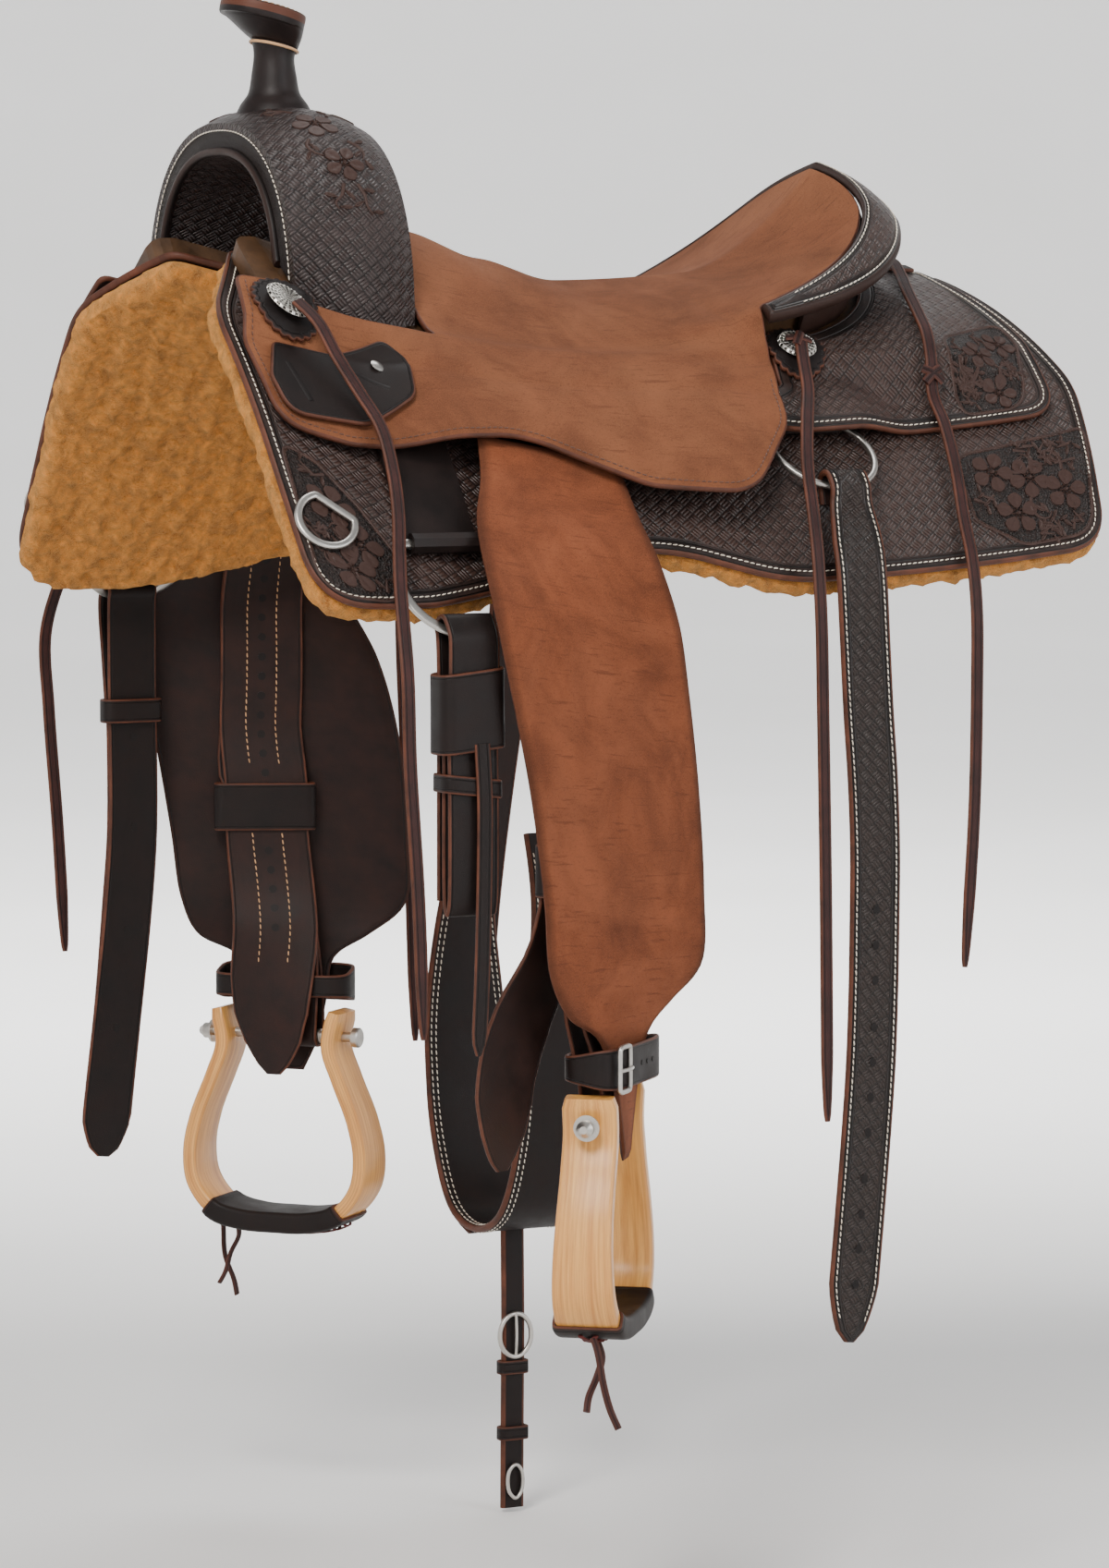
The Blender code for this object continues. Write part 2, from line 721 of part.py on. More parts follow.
def roll_top(y, s):
    share = roll_share(y, s)
    rise = cantle_rise(y, s) / CANTLE_RISE
    return rim_height(y, s) + 0.002 - ROLL_DROP * share ** 1.6 * rise


def roll_low(y, s):
    share = roll_share(y, s)
    thick = ROLL_THICK * (0.55 + 0.45 * math.sin(math.pi * clamp(share * 0.8 + 0.1)))
    return max(support(y, s) + LEATHER + 4 * GAP, roll_top(y, s) - thick)


def build_cantle_covers():
    outline = []
    turns = cantle_turns(84)
    for turn in turns:
        width = ROLL_WIDTH * (0.12 + 0.88 * max(0.0, math.cos(turn)) ** 0.5)
        outline.append(cantle_place(turn, 1 + width / CANTLE_DEPTH))
    outline += [cantle_place(turn, 1.0) for turn in reversed(turns)]
    drape("cantle_roll", outline, roll_low, roll_top, "tooled")
    drape("cantle_back", cantle_crescent(1.0, 1.03, end=70), lambda y, s: support(y, s) + 0.0012,
          lambda y, s: max(support(y, s) + 0.003, roll_low(y, s) - 0.0062), "tooled")


def rear_jockey_height(y, s):
    """Rear jockeys lie on the bars and lift over the rear dee."""
    lift = 0.0135 * smooth((abs(s) - 0.13) / 0.06) * smooth(1.6 - abs(y - REAR_DEE_Y) / 0.06)
    return max(support(y, s), lift) + 0.0012


def build_rear_jockeys():
    arc = [cantle_place(math.radians(4 + 70 * k / 7), 1.06) for k in range(8)]
    outline = [Vector((y, max(s, 0.003))) for y, s in arc]
    outline += [Vector(p) for p in rounded([
        (0.129, 0.150, 0.0), (0.129, 0.180, 0.0), (0.098, 0.196, 0.0), (0.098, REAR_JOCKEY_DROP - 0.006, 0.01),
        (0.130, REAR_JOCKEY_DROP, 0.02), (REAR_JOCKEY_Y - 0.006, REAR_JOCKEY_DROP, 0.035),
        (REAR_JOCKEY_Y + 0.002, 0.150, 0.06), (REAR_JOCKEY_Y - 0.014, 0.040, 0.03),
        (REAR_JOCKEY_Y - 0.018, 0.003, 0.0)])]
    for side, word in ((1, "left"), (-1, "right")):
        drape(f"rear_jockey_{word}", outline, rear_jockey_height,
              lambda y, s: rear_jockey_height(y, s) + LEATHER, "tooled", side,
              extra=((0.10, 0.18), (0.14, 0.18, 0.22)))
    tab = rounded([(0.312, -0.022, 0.008), (0.352, -0.016, 0.006),
                   (0.352, 0.016, 0.006), (0.312, 0.022, 0.008)], steps=2)
    drape("jockey_connector", tab, lambda y, s: rear_jockey_height(y, s) + LEATHER + 0.0008,
          lambda y, s: rear_jockey_height(y, s) + LEATHER + 0.0038, "strap", grid=FINE_GRID)


# Trim on the jockeys
def disc(place, radius, scallops=0, depth=0.09):
    count = 3 * scallops if scallops else 16
    result = []
    for k in range(count):
        angle = 2 * math.pi * k / count
        r = radius * (1 - depth * (k % 3 == 0)) if scallops else radius
        result.append((place[0] + r * math.cos(angle), place[1] + r * math.sin(angle)))
    return result


def front_trim_base(y, s):
    return seat_height(y, s) + 0.0016


def rear_trim_base(y, s):
    return rear_jockey_height(y, s) + LEATHER + 0.0018


def build_rosettes():
    places = (("front", FRONT_ROSETTE, front_trim_base), ("rear", REAR_ROSETTE, rear_trim_base))
    for where, place, base in places:
        for side, word in ((1, "left"), (-1, "right")):
            outline = disc(place, ROSETTE_RADIUS, ROSETTE_SCALLOPS)
            drape(f"rosette_{where}_{word}", outline, base,
                  lambda y, s, b=base: b(y, s) + ROSETTE_THICK, "tooled", side,
                  extra=((), SEAT_ACROSS))

            def dome(y, s, b=base, p=place):
                away = math.hypot(y - p[0], s - p[1]) / CONCHO_RADIUS
                return b(y, s) + ROSETTE_THICK + 0.0013 + CONCHO_THICK * (1 - 0.6 * away ** 2)
            drape(f"concho_{where}_{word}", disc(place, CONCHO_RADIUS),
                  lambda y, s, b=base: b(y, s) + ROSETTE_THICK + 0.0013, dome, "steel", side,
                  grid=FINE_GRID)
    keeper = rounded([(-0.312, 0.202, 0.010), (-0.324, 0.240, 0.02), (-0.318, 0.272, 0.02),
                      (-0.258, 0.266, 0.03), (-0.212, 0.232, 0.02), (-0.206, 0.198, 0.015),
                      (-0.222, 0.180, 0.010), (-0.266, 0.200, 0.02)])
    drape("latigo_keeper", keeper, lambda y, s: front_trim_base(y, s) + 0.0009,
          lambda y, s: front_trim_base(y, s) + 0.0049, "strap", extra=((), SEAT_ACROSS))


# Rigging
def dee_outline(radius, band_width, bar_share=0.72):
    """Outer and inner outlines of a dee in its plane: x along the bar, y down from the bar."""
    outer = []
    inner = []
    steps = 18
    start = math.asin(bar_share)
    for k in range(steps + 1):
        angle = start + (2 * math.pi - 2 * start) * k / steps
        outer.append((radius * math.sin(angle), radius * (math.cos(start) - math.cos(angle))))
        r = radius - band_width
        inner.append((r * math.sin(angle), radius * math.cos(start) - r * math.cos(angle)))
    floor = band_width * 0.8
    inner = [(x, max(y, floor)) for x, y in inner]
    return outer, inner


def dee_frame(place, height, lean, spin=0.0):
    """Centre of a dee's bar, and its directions: along the bar, down the dee, out of it."""
    y0, s0 = place
    centre = surface(y0, s0, height)
    down = (surface(y0, s0 + 0.02, height) - centre).normalized()
    along = Vector((0.0, 1.0, 0.0))
    down = Matrix.Rotation(-lean, 3, along) @ down
    out = down.cross(along).normalized()
    if out.x < 0:
        out = -out
    turned_down = down * math.cos(spin) + along * math.sin(spin)
    return centre, along * math.cos(spin) - down * math.sin(spin), turned_down, out


def dee_rim(place, height, lean, radius, band_width):
    """Centre of the dee's wire at its lowest point."""
    centre, along, down, out = dee_frame(place, height, lean)
    drop = radius * (1 + math.sqrt(1 - 0.72 ** 2)) - band_width
    return centre + down * drop


def dee(name, place, radius, band_width, thick, height, side, lean=0.0, spin=0.0):
    """Flat stainless dee that hangs from a bar along y."""
    outer, inner = dee_outline(radius, band_width)
    centre, along, down, out = dee_frame(place, height, lean, spin)
    rings = []
    for o, i in zip(outer, inner):
        ring = []
        for (x, v), h in ((o, -1), (o, 1), (i, 1), (i, -1)):
            ring.append(mirrored(side, centre + along * x + down * (v - band_width / 2)
                                 + out * h * thick / 2))
        rings.append(ring)
    return loft(name, rings, "steel", closed=True)


def hook(name, place, half_length, start, thick, room, height, side):
    """Leather laid on the skirt that turns back round a dee's bar, with room for it to turn."""
    y0, bar = place
    radius = room + thick / 2
    count = int((bar - 0.012 - start) / 0.018) + 1
    laid = [start + (bar - 0.012 - start) * k / count for k in range(count + 1)]
    turn = []
    for k in range(7):
        angle = math.radians(-90 + 262 * k / 6)
        turn.append((bar + radius * math.cos(angle), height + radius * math.sin(angle)))
    slope = (surface(y0 + 0.02, bar).z - surface(y0 - 0.02, bar).z) / 0.04 / math.sin(SIDE_ANGLE)
    rings = []
    for dy in (-half_length, 0.0, half_length):
        over = []
        under = []
        for s in laid:
            low = height - room - thick
            shifted = s + slope * dy * smooth((s - start) / (bar - start))
            under.append(surface(y0 + dy, shifted, low))
            over.append(surface(y0 + dy, shifted, low + thick))
        for i, (s, h) in enumerate(turn):
            s0, h0 = turn[max(0, i - 1)]
            s1, h1 = turn[min(len(turn) - 1, i + 1)]
            length = math.hypot(s1 - s0, h1 - h0)
            n = Vector((-(h1 - h0), s1 - s0)) * thick / 2 / length
            shift = Vector((0, dy, 0))
            over.append(surface(y0, s + n.x, h + n.y) + shift)
            under.append(surface(y0, s - n.x, h - n.y) + shift)
        rings.append([mirrored(side, p) for p in over + under[::-1]])
    return loft(name, rings, "strap")


FRONT_DEE = (FRONT_DEE_Y, FRONT_DEE_S)
REAR_DEE = (REAR_DEE_Y, REAR_DEE_S)


def front_rim():
    return dee_rim(FRONT_DEE, FRONT_DEE_HEIGHT, 0.0, FRONT_DEE_RADIUS, DEE_BAND)


def rear_rim():
    return dee_rim(REAR_DEE, REAR_DEE_HEIGHT, REAR_DEE_LEAN, REAR_DEE_RADIUS, REAR_DEE_WIRE)


def build_rigging():
    for side, word in ((1, "left"), (-1, "right")):
        hook(f"rigging_{word}", FRONT_DEE, 0.030, 0.195, RIGGING_THICK, 0.0047,
             FRONT_DEE_HEIGHT, side)
        dee(f"front_dee_{word}", FRONT_DEE, FRONT_DEE_RADIUS, DEE_BAND, DEE_THICK,
            FRONT_DEE_HEIGHT, side)
        hook(f"rear_rigging_{word}", REAR_DEE, 0.026, 0.2035, 0.002, 0.0039, REAR_DEE_HEIGHT, side)
        dee(f"rear_dee_{word}", REAR_DEE, REAR_DEE_RADIUS, REAR_DEE_WIRE, REAR_DEE_WIRE,
            REAR_DEE_HEIGHT, side, lean=REAR_DEE_LEAN)
        dee(f"breast_dee_{word}", BREAST_DEE, 0.0255, 0.006, 0.0045, BREAST_DEE_HEIGHT, side,
            spin=BREAST_DEE_SPIN)


# Fenders, leathers and stirrups
FENDER_TOP_FRONT = (-0.166, 0.250)
FENDER_TOP_REAR = (-0.052, 0.260)
FENDER_HEIGHT = 0.019

TURN_START = -0.47
FENDER_FRONT = [
    (0.3345, -0.207, -0.195), (0.343, -0.200, -0.245), (0.341, -0.182, -0.325),
    (0.337, -0.168, -0.410), (0.333, -0.161, -0.465), (0.333, -0.146, -0.496),
]
FENDER_REAR = [
    (0.292, -0.028, -0.205), (0.268, -0.006, -0.262), (0.256, 0.009, -0.335),
    (0.254, 0.015, -0.415), (0.254, 0.013, -0.470), (0.262, -0.018, -0.496),
]
TONGUE = [(-0.516, 0.041), (-0.545, 0.034), (-0.585, 0.024), (-0.612, 0.011)]
INSIDE_FENDER = [(-0.30, 0.0038), (-0.19, 0.0052), (-0.13, 0.0046)]
LEATHER_SHIFT = {
    1: [(-0.58, 0.0), (-0.50, 0.010), (-0.385, 0.036), (-0.28, 0.026)],
    -1: [(-0.58, 0.0), (-0.385, 0.014), (-0.28, 0.012)],
}
TONGUE_SHIFT = {
    1: [(-0.600, 0.100), (-0.545, 0.094), (-0.50, 0.072), (-0.45, 0.052), (-0.385, 0.036)],
    -1: [(-0.600, 0.000), (-0.50, 0.006), (-0.385, 0.014)],
}


def hanging_frame(z):
    """Centre and directions of the stirrup leather at a height: across it and out of it."""
    share = smooth((z - TURN_START) / (BOLT.z - TURN_START)) if z < TURN_START else 0.0
    turn = math.radians(24) + (STIRRUP_TURN - math.radians(24)) * share
    across = Vector((math.sin(turn), -math.cos(turn), 0))
    out = Vector((math.cos(turn), math.sin(turn), 0))
    return Vector((BOLT.x, BOLT.y, z)), across, out


def fender_edges():
    front = [surface(*FENDER_TOP_FRONT, FENDER_HEIGHT), surface(-0.176, 0.290, FENDER_HEIGHT),
             surface(-0.193, 0.335, 0.0225)] + [Vector(p) for p in FENDER_FRONT]
    rear = [surface(*FENDER_TOP_REAR, FENDER_HEIGHT), surface(-0.050, 0.308, FENDER_HEIGHT),
            surface(-0.046, 0.352, 0.0225)] + [Vector(p) for p in FENDER_REAR]
    for z, half in TONGUE:
        centre, across, out = hanging_frame(z)
        front.append(centre + across * half + out * 0.0150)
        rear.append(centre - across * half + out * 0.0150)
    return front, rear


def ruled(front, rear, across):
    """Grid of points over the surface between two edges."""
    rows = []
    for a, b in zip(front, rear):
        rows.append([a.lerp(b, k / across) for k in range(across + 1)])
    return rows


def sheet(name, rows, thick, kind, side):
    """Closed sheet over a grid of points, its thickness on the outer side."""
    count = len(rows)
    width = len(rows[0])
    outer = []
    for i, row in enumerate(rows):
        line = []
        for k, point in enumerate(row):
            run = rows[min(i + 1, count - 1)][k] - rows[max(i - 1, 0)][k]
            over = row[min(k + 1, width - 1)] - row[max(k - 1, 0)]
            out = over.cross(run).normalized()
            if out.x < 0:
                out = -out
            line.append(point + out * thick)
        outer.append(line)
    rings = []
    for inner_row, outer_row in zip(rows, outer):
        rings.append([mirrored(side, p) for p in inner_row + outer_row[::-1]])
    return loft(name, rings, kind)


def build_fenders():
    front, rear = fender_edges()
    front = spline(front, FENDER_ROWS)
    rear = spline(rear, FENDER_ROWS)
    for side, word in ((1, "left"), (-1, "right")):
        sheet(f"fender_{word}", ruled(front, rear, 3), FENDER_THICK, "suede", side)


def fender_lines(side):
    """Places for the leather inside the fender: centre on its inner face, width direction, normal."""
    front, rear = fender_edges()
    front = spline(front, FENDER_ROWS)
    rear = spline(rear, FENDER_ROWS)
    lines = []
    for i in range(1, FENDER_ROWS - 1):
        across = (front[i] - rear[i]).normalized()
        share = 0.5
        for k in range(3):
            point = front[i].lerp(rear[i], share)
            shift = through(point.z, LEATHER_SHIFT[side])
            want = BOLT.y - 0.914 * shift
            share += (want - point.y) / (rear[i].y - front[i].y)
        point = front[i].lerp(rear[i], share)
        if point.z < -0.475:
            break
        run = front[i + 1].lerp(rear[i + 1], share) - front[i - 1].lerp(rear[i - 1], share)
        out = run.cross(across).normalized()
        if out.x < 0:
            out = -out
        lines.append((point, across, out))
    return lines


def leather_path(side):
    """Stations of the stirrup leather: point, width direction, width.

    It runs from its free tongue up the inner ply to the bar, folds, comes down the outer ply,
    turns round the stirrup's bolt and goes up to the buckle under the sleeve.
    """
    stops = []
    ply = STRAP_THICK + 0.0012

    def hang(z, away, shifts, turn_at, width):
        centre, across, out = hanging_frame(turn_at)
        stops.append((Vector((centre.x, centre.y, z)) + across * through(z, shifts) + out * away,
                      across, width))

    wide = STRAP_WIDTH
    tongue = TONGUE_SHIFT[side]
    main = LEATHER_SHIFT[side]
    lines = fender_lines(side)
    first = lines[0][0]
    upper = [line for line in lines if line[0].z > SLEEVE_Z + 0.022]
    for z, away, width in ((-0.612, -0.0200, 0.18), (-0.603, -0.0200, 0.42), (-0.585, -0.0200, 0.72),
                           (-0.560, -0.0222, 0.94), (-0.530, -0.0222, 1.0), (-0.490, -0.0188, 1.0),
                           (-0.450, -0.0070, 0.98), (-0.410, -0.0020, 0.97), (-0.366, -0.0020, 0.97)):
        hang(z, away, tongue, TURN_START if side > 0 else z, wide * width)
    for point, across, out in reversed(upper[:-1]):
        stops.append((point - out * (through(point.z, INSIDE_FENDER) + ply), across, wide * 0.96))
    flat_across = Vector((0, -1, 0))
    for s, height in ((0.235, FENDER_HEIGHT - 0.0035 - ply), (0.212, 0.0118), (0.199, 0.0128)):
        stops.append((surface(first.y, s, height), flat_across, wide * 0.96))
    for s, height in ((0.1950, 0.0152), (0.199, 0.0174), (0.212, 0.0170),
                      (0.235, FENDER_HEIGHT - 0.0035)):
        stops.append((surface(first.y, s, height), flat_across, wide * 0.96))
    for point, across, out in upper:
        stops.append((point - out * through(point.z, INSIDE_FENDER), across, wide * 0.96))
    radius = 0.0066 + STRAP_THICK / 2
    for z, away in ((-0.366, 0.0060), (-0.410, 0.0060), (-0.450, 0.0070), (-0.500, 0.0086),
                    (-0.545, 0.0086)):
        hang(z, away, main, z, wide * 0.96)
    for k in range(9):
        angle = math.pi * k / 8
        hang(BOLT.z - radius * math.sin(angle), radius * math.cos(angle), main, BOLT.z, wide * 0.95)
    for z, away in ((-0.545, -0.0080), (-0.500, -0.0058), (-0.450, -0.0015), (-0.410, 0.0020),
                    (-0.374, 0.0020)):
        hang(z, away, main, z, wide * 0.96)
    return stops


def build_stirrup_leathers():
    for side, word in ((1, "left"), (-1, "right")):
        stops = leather_path(side)
        rings = []
        face = None
        for i, (point, across, width) in enumerate(stops):
            before = stops[max(i - 1, 0)][0]
            after = stops[min(i + 1, len(stops) - 1)][0]
            ahead = ((after - point).normalized() + (point - before).normalized()).normalized()
            normal_out = across.cross(ahead).normalized()
            if face is not None and normal_out.dot(face) < 0:
                normal_out = -normal_out
            face = normal_out
            wide = across.normalized() * width / 2
            deep = normal_out * STRAP_THICK / 2
            rings.append([mirrored(side, p) for p in (point + wide - deep, point + wide + deep,
                                                      point - wide + deep, point - wide - deep)])
        loft(f"stirrup_leather_{word}", rings, "lining", split="strap")


def build_sleeves():
    """Leather sleeve that slides over the leathers and locks the buckle."""
    for side, word in ((1, "left"), (-1, "right")):
        rings_out = []
        for z in (SLEEVE_Z + 0.020, SLEEVE_Z - 0.020):
            centre, across, out = hanging_frame(TURN_START)
            centre = Vector((centre.x, centre.y, z)) + out * 0.0020
            centre += across * (through(SLEEVE_Z, LEATHER_SHIFT[side]) + 0.001)
            half, deep, wall = STRAP_WIDTH / 2 + 0.0048, 0.0066, 0.0020
            ring = []
            for grow in (0.0, wall):
                a, b = half + grow, deep + grow
                for sx, sy in ((1, 1), (-1, 1), (-1, -1), (1, -1)):
                    ring.append(mirrored(side, centre + across * a * sx + out * b * sy))
            rings_out.append(ring)
        bm = bmesh.new()
        low, high = [[bm.verts.new(p) for p in ring] for ring in rings_out]
        for base in (0, 4):
            for i in range(4):
                j = (i + 1) % 4
                bm.faces.new((low[base + i], low[base + j], high[base + j], high[base + i]))
        for row in (low, high):
            for i in range(4):
                j = (i + 1) % 4
                bm.faces.new((row[i], row[j], row[4 + j], row[4 + i]))
        finish(f"leather_sleeve_{word}", bm, "strap")


def build_hobble_straps():
    """Strap buckled round the fender and leathers above the stirrup."""
    for side, word in ((1, "left"), (-1, "right")):
        rows = []
        steps = 20
        for k in range(steps):
            angle = 2 * math.pi * k / steps
            centre, across, out = hanging_frame(HOBBLE_Z)
            middle = centre + out * 0.0068
            face = smooth(0.5 + 0.5 * math.sin(angle))
            half = 0.0095 + 0.0065 * face
            power = 0.5
            a = abs(math.cos(angle)) ** power * (1 if math.cos(angle) >= 0 else -1)
            b = abs(math.sin(angle)) ** power * (1 if math.sin(angle) >= 0 else -1)
            row = []
            for grow in (0.0, 0.003):
                ring = middle + across * (0.056 + grow) * a + out * (0.0211 + grow) * b
                for z in (HOBBLE_Z + half, HOBBLE_Z - half):
                    row.append(mirrored(side, Vector((ring.x, ring.y, z))))
            rows.append([row[0], row[1], row[3], row[2]])
        loft(f"hobble_strap_{word}", rows, "strap", closed=True)


def stirrup_path():
    """Half of the bent wood's centre line: (across, height) from the bottom centre to the top."""
    h = STIRRUP_HEIGHT
    return [(0.0, -h + 0.018), (0.030, -h + 0.019), (0.056, -h + 0.026), (0.075, -h + 0.048),
            (STIRRUP_HALF_WIDTH - 0.007, -h + 0.075), (0.073, -h + 0.105), (0.058, -h + 0.142),
            (STIRRUP_NECK - 0.003, -0.008), (STIRRUP_NECK + 0.002, 0.022)]


def stirrup_frame():
    across = Vector((math.sin(STIRRUP_TURN), -math.cos(STIRRUP_TURN), 0))
    deep = Vector((math.cos(STIRRUP_TURN), math.sin(STIRRUP_TURN), 0))
    return across, deep


def build_stirrups():
    across, deep = stirrup_frame()
    half = stirrup_path()
    points = [Vector((-a, 0, z)) for a, z in reversed(half)] + [Vector((a, 0, z)) for a, z in half[1:]]
    path = spline(points, 29)
    tread = []
    for side, word in ((1, "left"), (-1, "right")):
        rings = []
        cover = []
        for i, p in enumerate(path):
            ahead = (path[min(i + 1, 28)] - path[max(i - 1, 0)]).normalized()
            out = Vector((ahead.z, 0, -ahead.x))
            depth = TREAD_DEPTH + (NECK_DEPTH - TREAD_DEPTH) * smooth((p.z + STIRRUP_HEIGHT) / 0.14)
            ring = []
            skin = []
            for wall, deepness, target in ((STIRRUP_WOOD / 2, depth / 2, ring),
                                           (STIRRUP_WOOD / 2 + GAP, depth / 2 + GAP, skin),
                                           (STIRRUP_WOOD / 2 + GAP + 0.0025, depth / 2 + GAP + 0.0025,
                                            skin)):
                for u, v in ((1, 1), (-1, 1), (-1, -1), (1, -1)):
                    local = p + out * wall * u
                    target.append(mirrored(side, BOLT + across * local.x + deep * deepness * v
                                           + Vector((0, 0, local.z))))
            rings.append(ring)
            if abs(p.x) < 0.061 and p.z < -STIRRUP_HEIGHT + 0.05:
                cover.append(skin)
        wood = loft(f"stirrup_{word}", rings, "wood")
        hole = turned(f"bolt_hole_{word}", [(0.0046, -0.09), (0.0046, 0.09)], side, CUTTERS)
        cut_with(wood, hole)
        build_tread(f"tread_cover_{word}", cover)
        inner = STIRRUP_NECK - 0.0125
        turned(f"stirrup_bolt_{word}", [
            (0.0085, -0.071), (0.0085, -0.0655), (0.0042, -0.0655), (0.0042, -inner + 0.004),
            (0.0060, -inner + 0.004), (0.0060, inner - 0.004), (0.0042, inner - 0.004),
            (0.0042, 0.0645), (0.0100, 0.0645), (0.0100, 0.0665), (0.0065, 0.0670),
            (0.0065, 0.0740), (0.0030, 0.0775)], side, PARTS)


def turned(name, profile, side, collection):
    """Turned piece on the bolt's axis: (radius, place along the axis)."""
    across, deep = stirrup_frame()
    rings = []
    for radius, along in profile:
        ring = []
        for k in range(10):
            angle = 2 * math.pi * k / 10
            ring.append(mirrored(side, BOLT + across * along + deep * radius * math.cos(angle)
                                 + Vector((0, 0, radius * math.sin(angle)))))
        rings.append(ring)
    return loft(name, rings, "steel", collection=collection)


def build_tread(name, rows):
    """Leather wrapped round the wood's tread, open at both ends."""
    bm = bmesh.new()
    grid = [[bm.verts.new(p) for p in row] for row in rows]
    for base in (0, 4):
        for a, b in zip(grid, grid[1:]):
            for i in range(4):
                j = (i + 1) % 4
                bm.faces.new((a[base + i], a[base + j], b[base + j], b[base + i]))
    for row in (grid[0], grid[-1]):
        for i in range(4):
            j = (i + 1) % 4
            bm.faces.new((row[i], row[j], row[4 + j], row[4 + i]))
    finish(name, bm, "strap")


# Hanging straps
def strap_over(rim, radius, rise):
    """Stations of a strap over a dee's wire, from its inner side to its outer side.

    The wire curves up towards the strap's edges, so the fold stands above the wire's lowest point.
    """
    top = Vector((rim.x - rise * math.cos(SIDE_ANGLE), rim.y, rim.z + rise * math.sin(SIDE_ANGLE)))
    result = []
    for k in range(7):
        angle = math.radians(215 - 180 * k / 6)
        result.append(top + Vector((radius * math.cos(angle), 0, radius * math.sin(angle))))
    result.append(rim + Vector((radius + 0.0012, 0, 0.0005)))
    result.append(rim + Vector((radius + 0.0022, 0, -0.012)))
    return result


def build_latigo():
    rim = front_rim() + Vector((0, LATIGO_SHIFT, 0))
    points = [(rim.x - 0.0095, rim.y, -0.405), (rim.x - 0.0090, rim.y, -0.28),
              (rim.x - 0.0085, rim.y, rim.z - 0.04)]
    points += strap_over(rim, 0.0088, 0.0066)
    points += [(rim.x + 0.0082, rim.y, rim.z - 0.09), (rim.x + 0.0085, rim.y, -0.30),
               (rim.x + 0.0085, rim.y, -0.400), (rim.x + 0.0065, rim.y, -0.411),
               (rim.x + 0.0040, rim.y, -0.4145), (rim.x + 0.0015, rim.y, -0.411),
               (rim.x - 0.0003, rim.y, -0.400), (rim.x - 0.0003, rim.y, -0.30),
               (rim.x - 0.0003, rim.y, rim.z - 0.03)]
    band("latigo", points, 0.042, 0.0035, "strap", 1)


def build_off_billet():
    rim = front_rim()
    x, y = rim.x, rim.y
    points = [(x - 0.015, y - 0.032, -0.676), (x - 0.0145, y - 0.028, -0.64), (x - 0.013, y - 0.016, -0.55),
              (x - 0.0115, y - 0.006, -0.47), (x - 0.010, y, -0.40), (x - 0.0085, y, -0.28),
              (x - 0.0085, y, rim.z - 0.04)]
    points += strap_over(rim, 0.0082, 0.0050)
    points += [(x + 0.0045, y, rim.z - 0.05), (x - 0.0035, y, rim.z - 0.10), (x - 0.0042, y, -0.30),
               (x - 0.0052, y, -0.40), (x - 0.0066, y - 0.006, -0.47), (x - 0.0082, y - 0.014, -0.55),
               (x - 0.0098, y - 0.025, -0.64), (x - 0.0102, y - 0.028, -0.672)]

    def ends(t):
        return (BILLET_WIDTH - 0.001) * (0.25 + 0.75 * math.sqrt(clamp(min(t, 1 - t) / 0.03)))
    band("off_billet", points, ends, 0.0035, "strap", -1)


def build_flank_billets():
    """Long billets on the rear dees, folded over the wire and hanging outside the skirt."""
    rim = rear_rim()
    y = rim.y
    over = [(rim.x - 0.0060, y, rim.z - 0.014)] + strap_over(rim, 0.0084, 0.0038)
    over += [surface(y - 0.002, 0.330, 0.0175), surface(y - 0.005, 0.357, 0.0135)]
    hanging = {
        1: [(0.2915, 0.138, -0.215), (0.2915, 0.142, -0.28), (0.291, 0.148, -0.36),
            (0.290, 0.149, -0.44), (0.289, 0.147, -0.55), (0.288, 0.139, -0.66),
            (0.287, 0.129, -0.772)],
        -1: [(0.2920, 0.136, -0.215), (0.2945, 0.130, -0.28), (0.298, 0.118, -0.37),
             (0.301, 0.106, -0.47), (0.302, 0.098, -0.57), (0.299, 0.094, -0.67),
             (0.288, 0.094, -0.765)],
    }
    point = pointed(BILLET_WIDTH, 0.06, 0.2)

    def widths(t):
        return point(t) * (0.8 + 0.2 * smooth((t - 0.06) / 0.08))
    for side, word in ((1, "left"), (-1, "right")):
        path = [Vector(p) for p in over] + spline([over[-1]] + hanging[side], 12)[1:]
        band(f"flank_billet_{word}", path, widths, BILLET_THICK, "tooled", side)


def build_flank_cinch():
    """Rear cinch, buckled to the right billet and folded up in a loop."""
    x = 0.2932
    y = CINCH_Y
    points = [(x, y + 0.008, -0.415), (x + 0.001, y, -0.50), (x, y, -0.60), (x - 0.012, y, -0.675),
              (x - 0.045, y, -0.733), (x - 0.090, y, -0.746), (x - 0.135, y, -0.728),
              (x - 0.168, y, -0.665), (x - 0.180, y, -0.58), (x - 0.176, y, -0.48),
              (x - 0.150, y, -0.405)]

    def width(t):
        return 0.045 + 0.035 * smooth(min(t, 1 - t) / 0.25)
    band("flank_cinch", points, width, 0.006, "tooled", -1, count=28)
    strap = [(x - 0.086, y, -0.7496), (x - 0.087, y, -0.83), (x - 0.086, y, -0.90),
             (x - 0.085, y, -0.99)]
    band("cinch_connector", strap, 0.022, 0.008, "strap", -1, count=8)


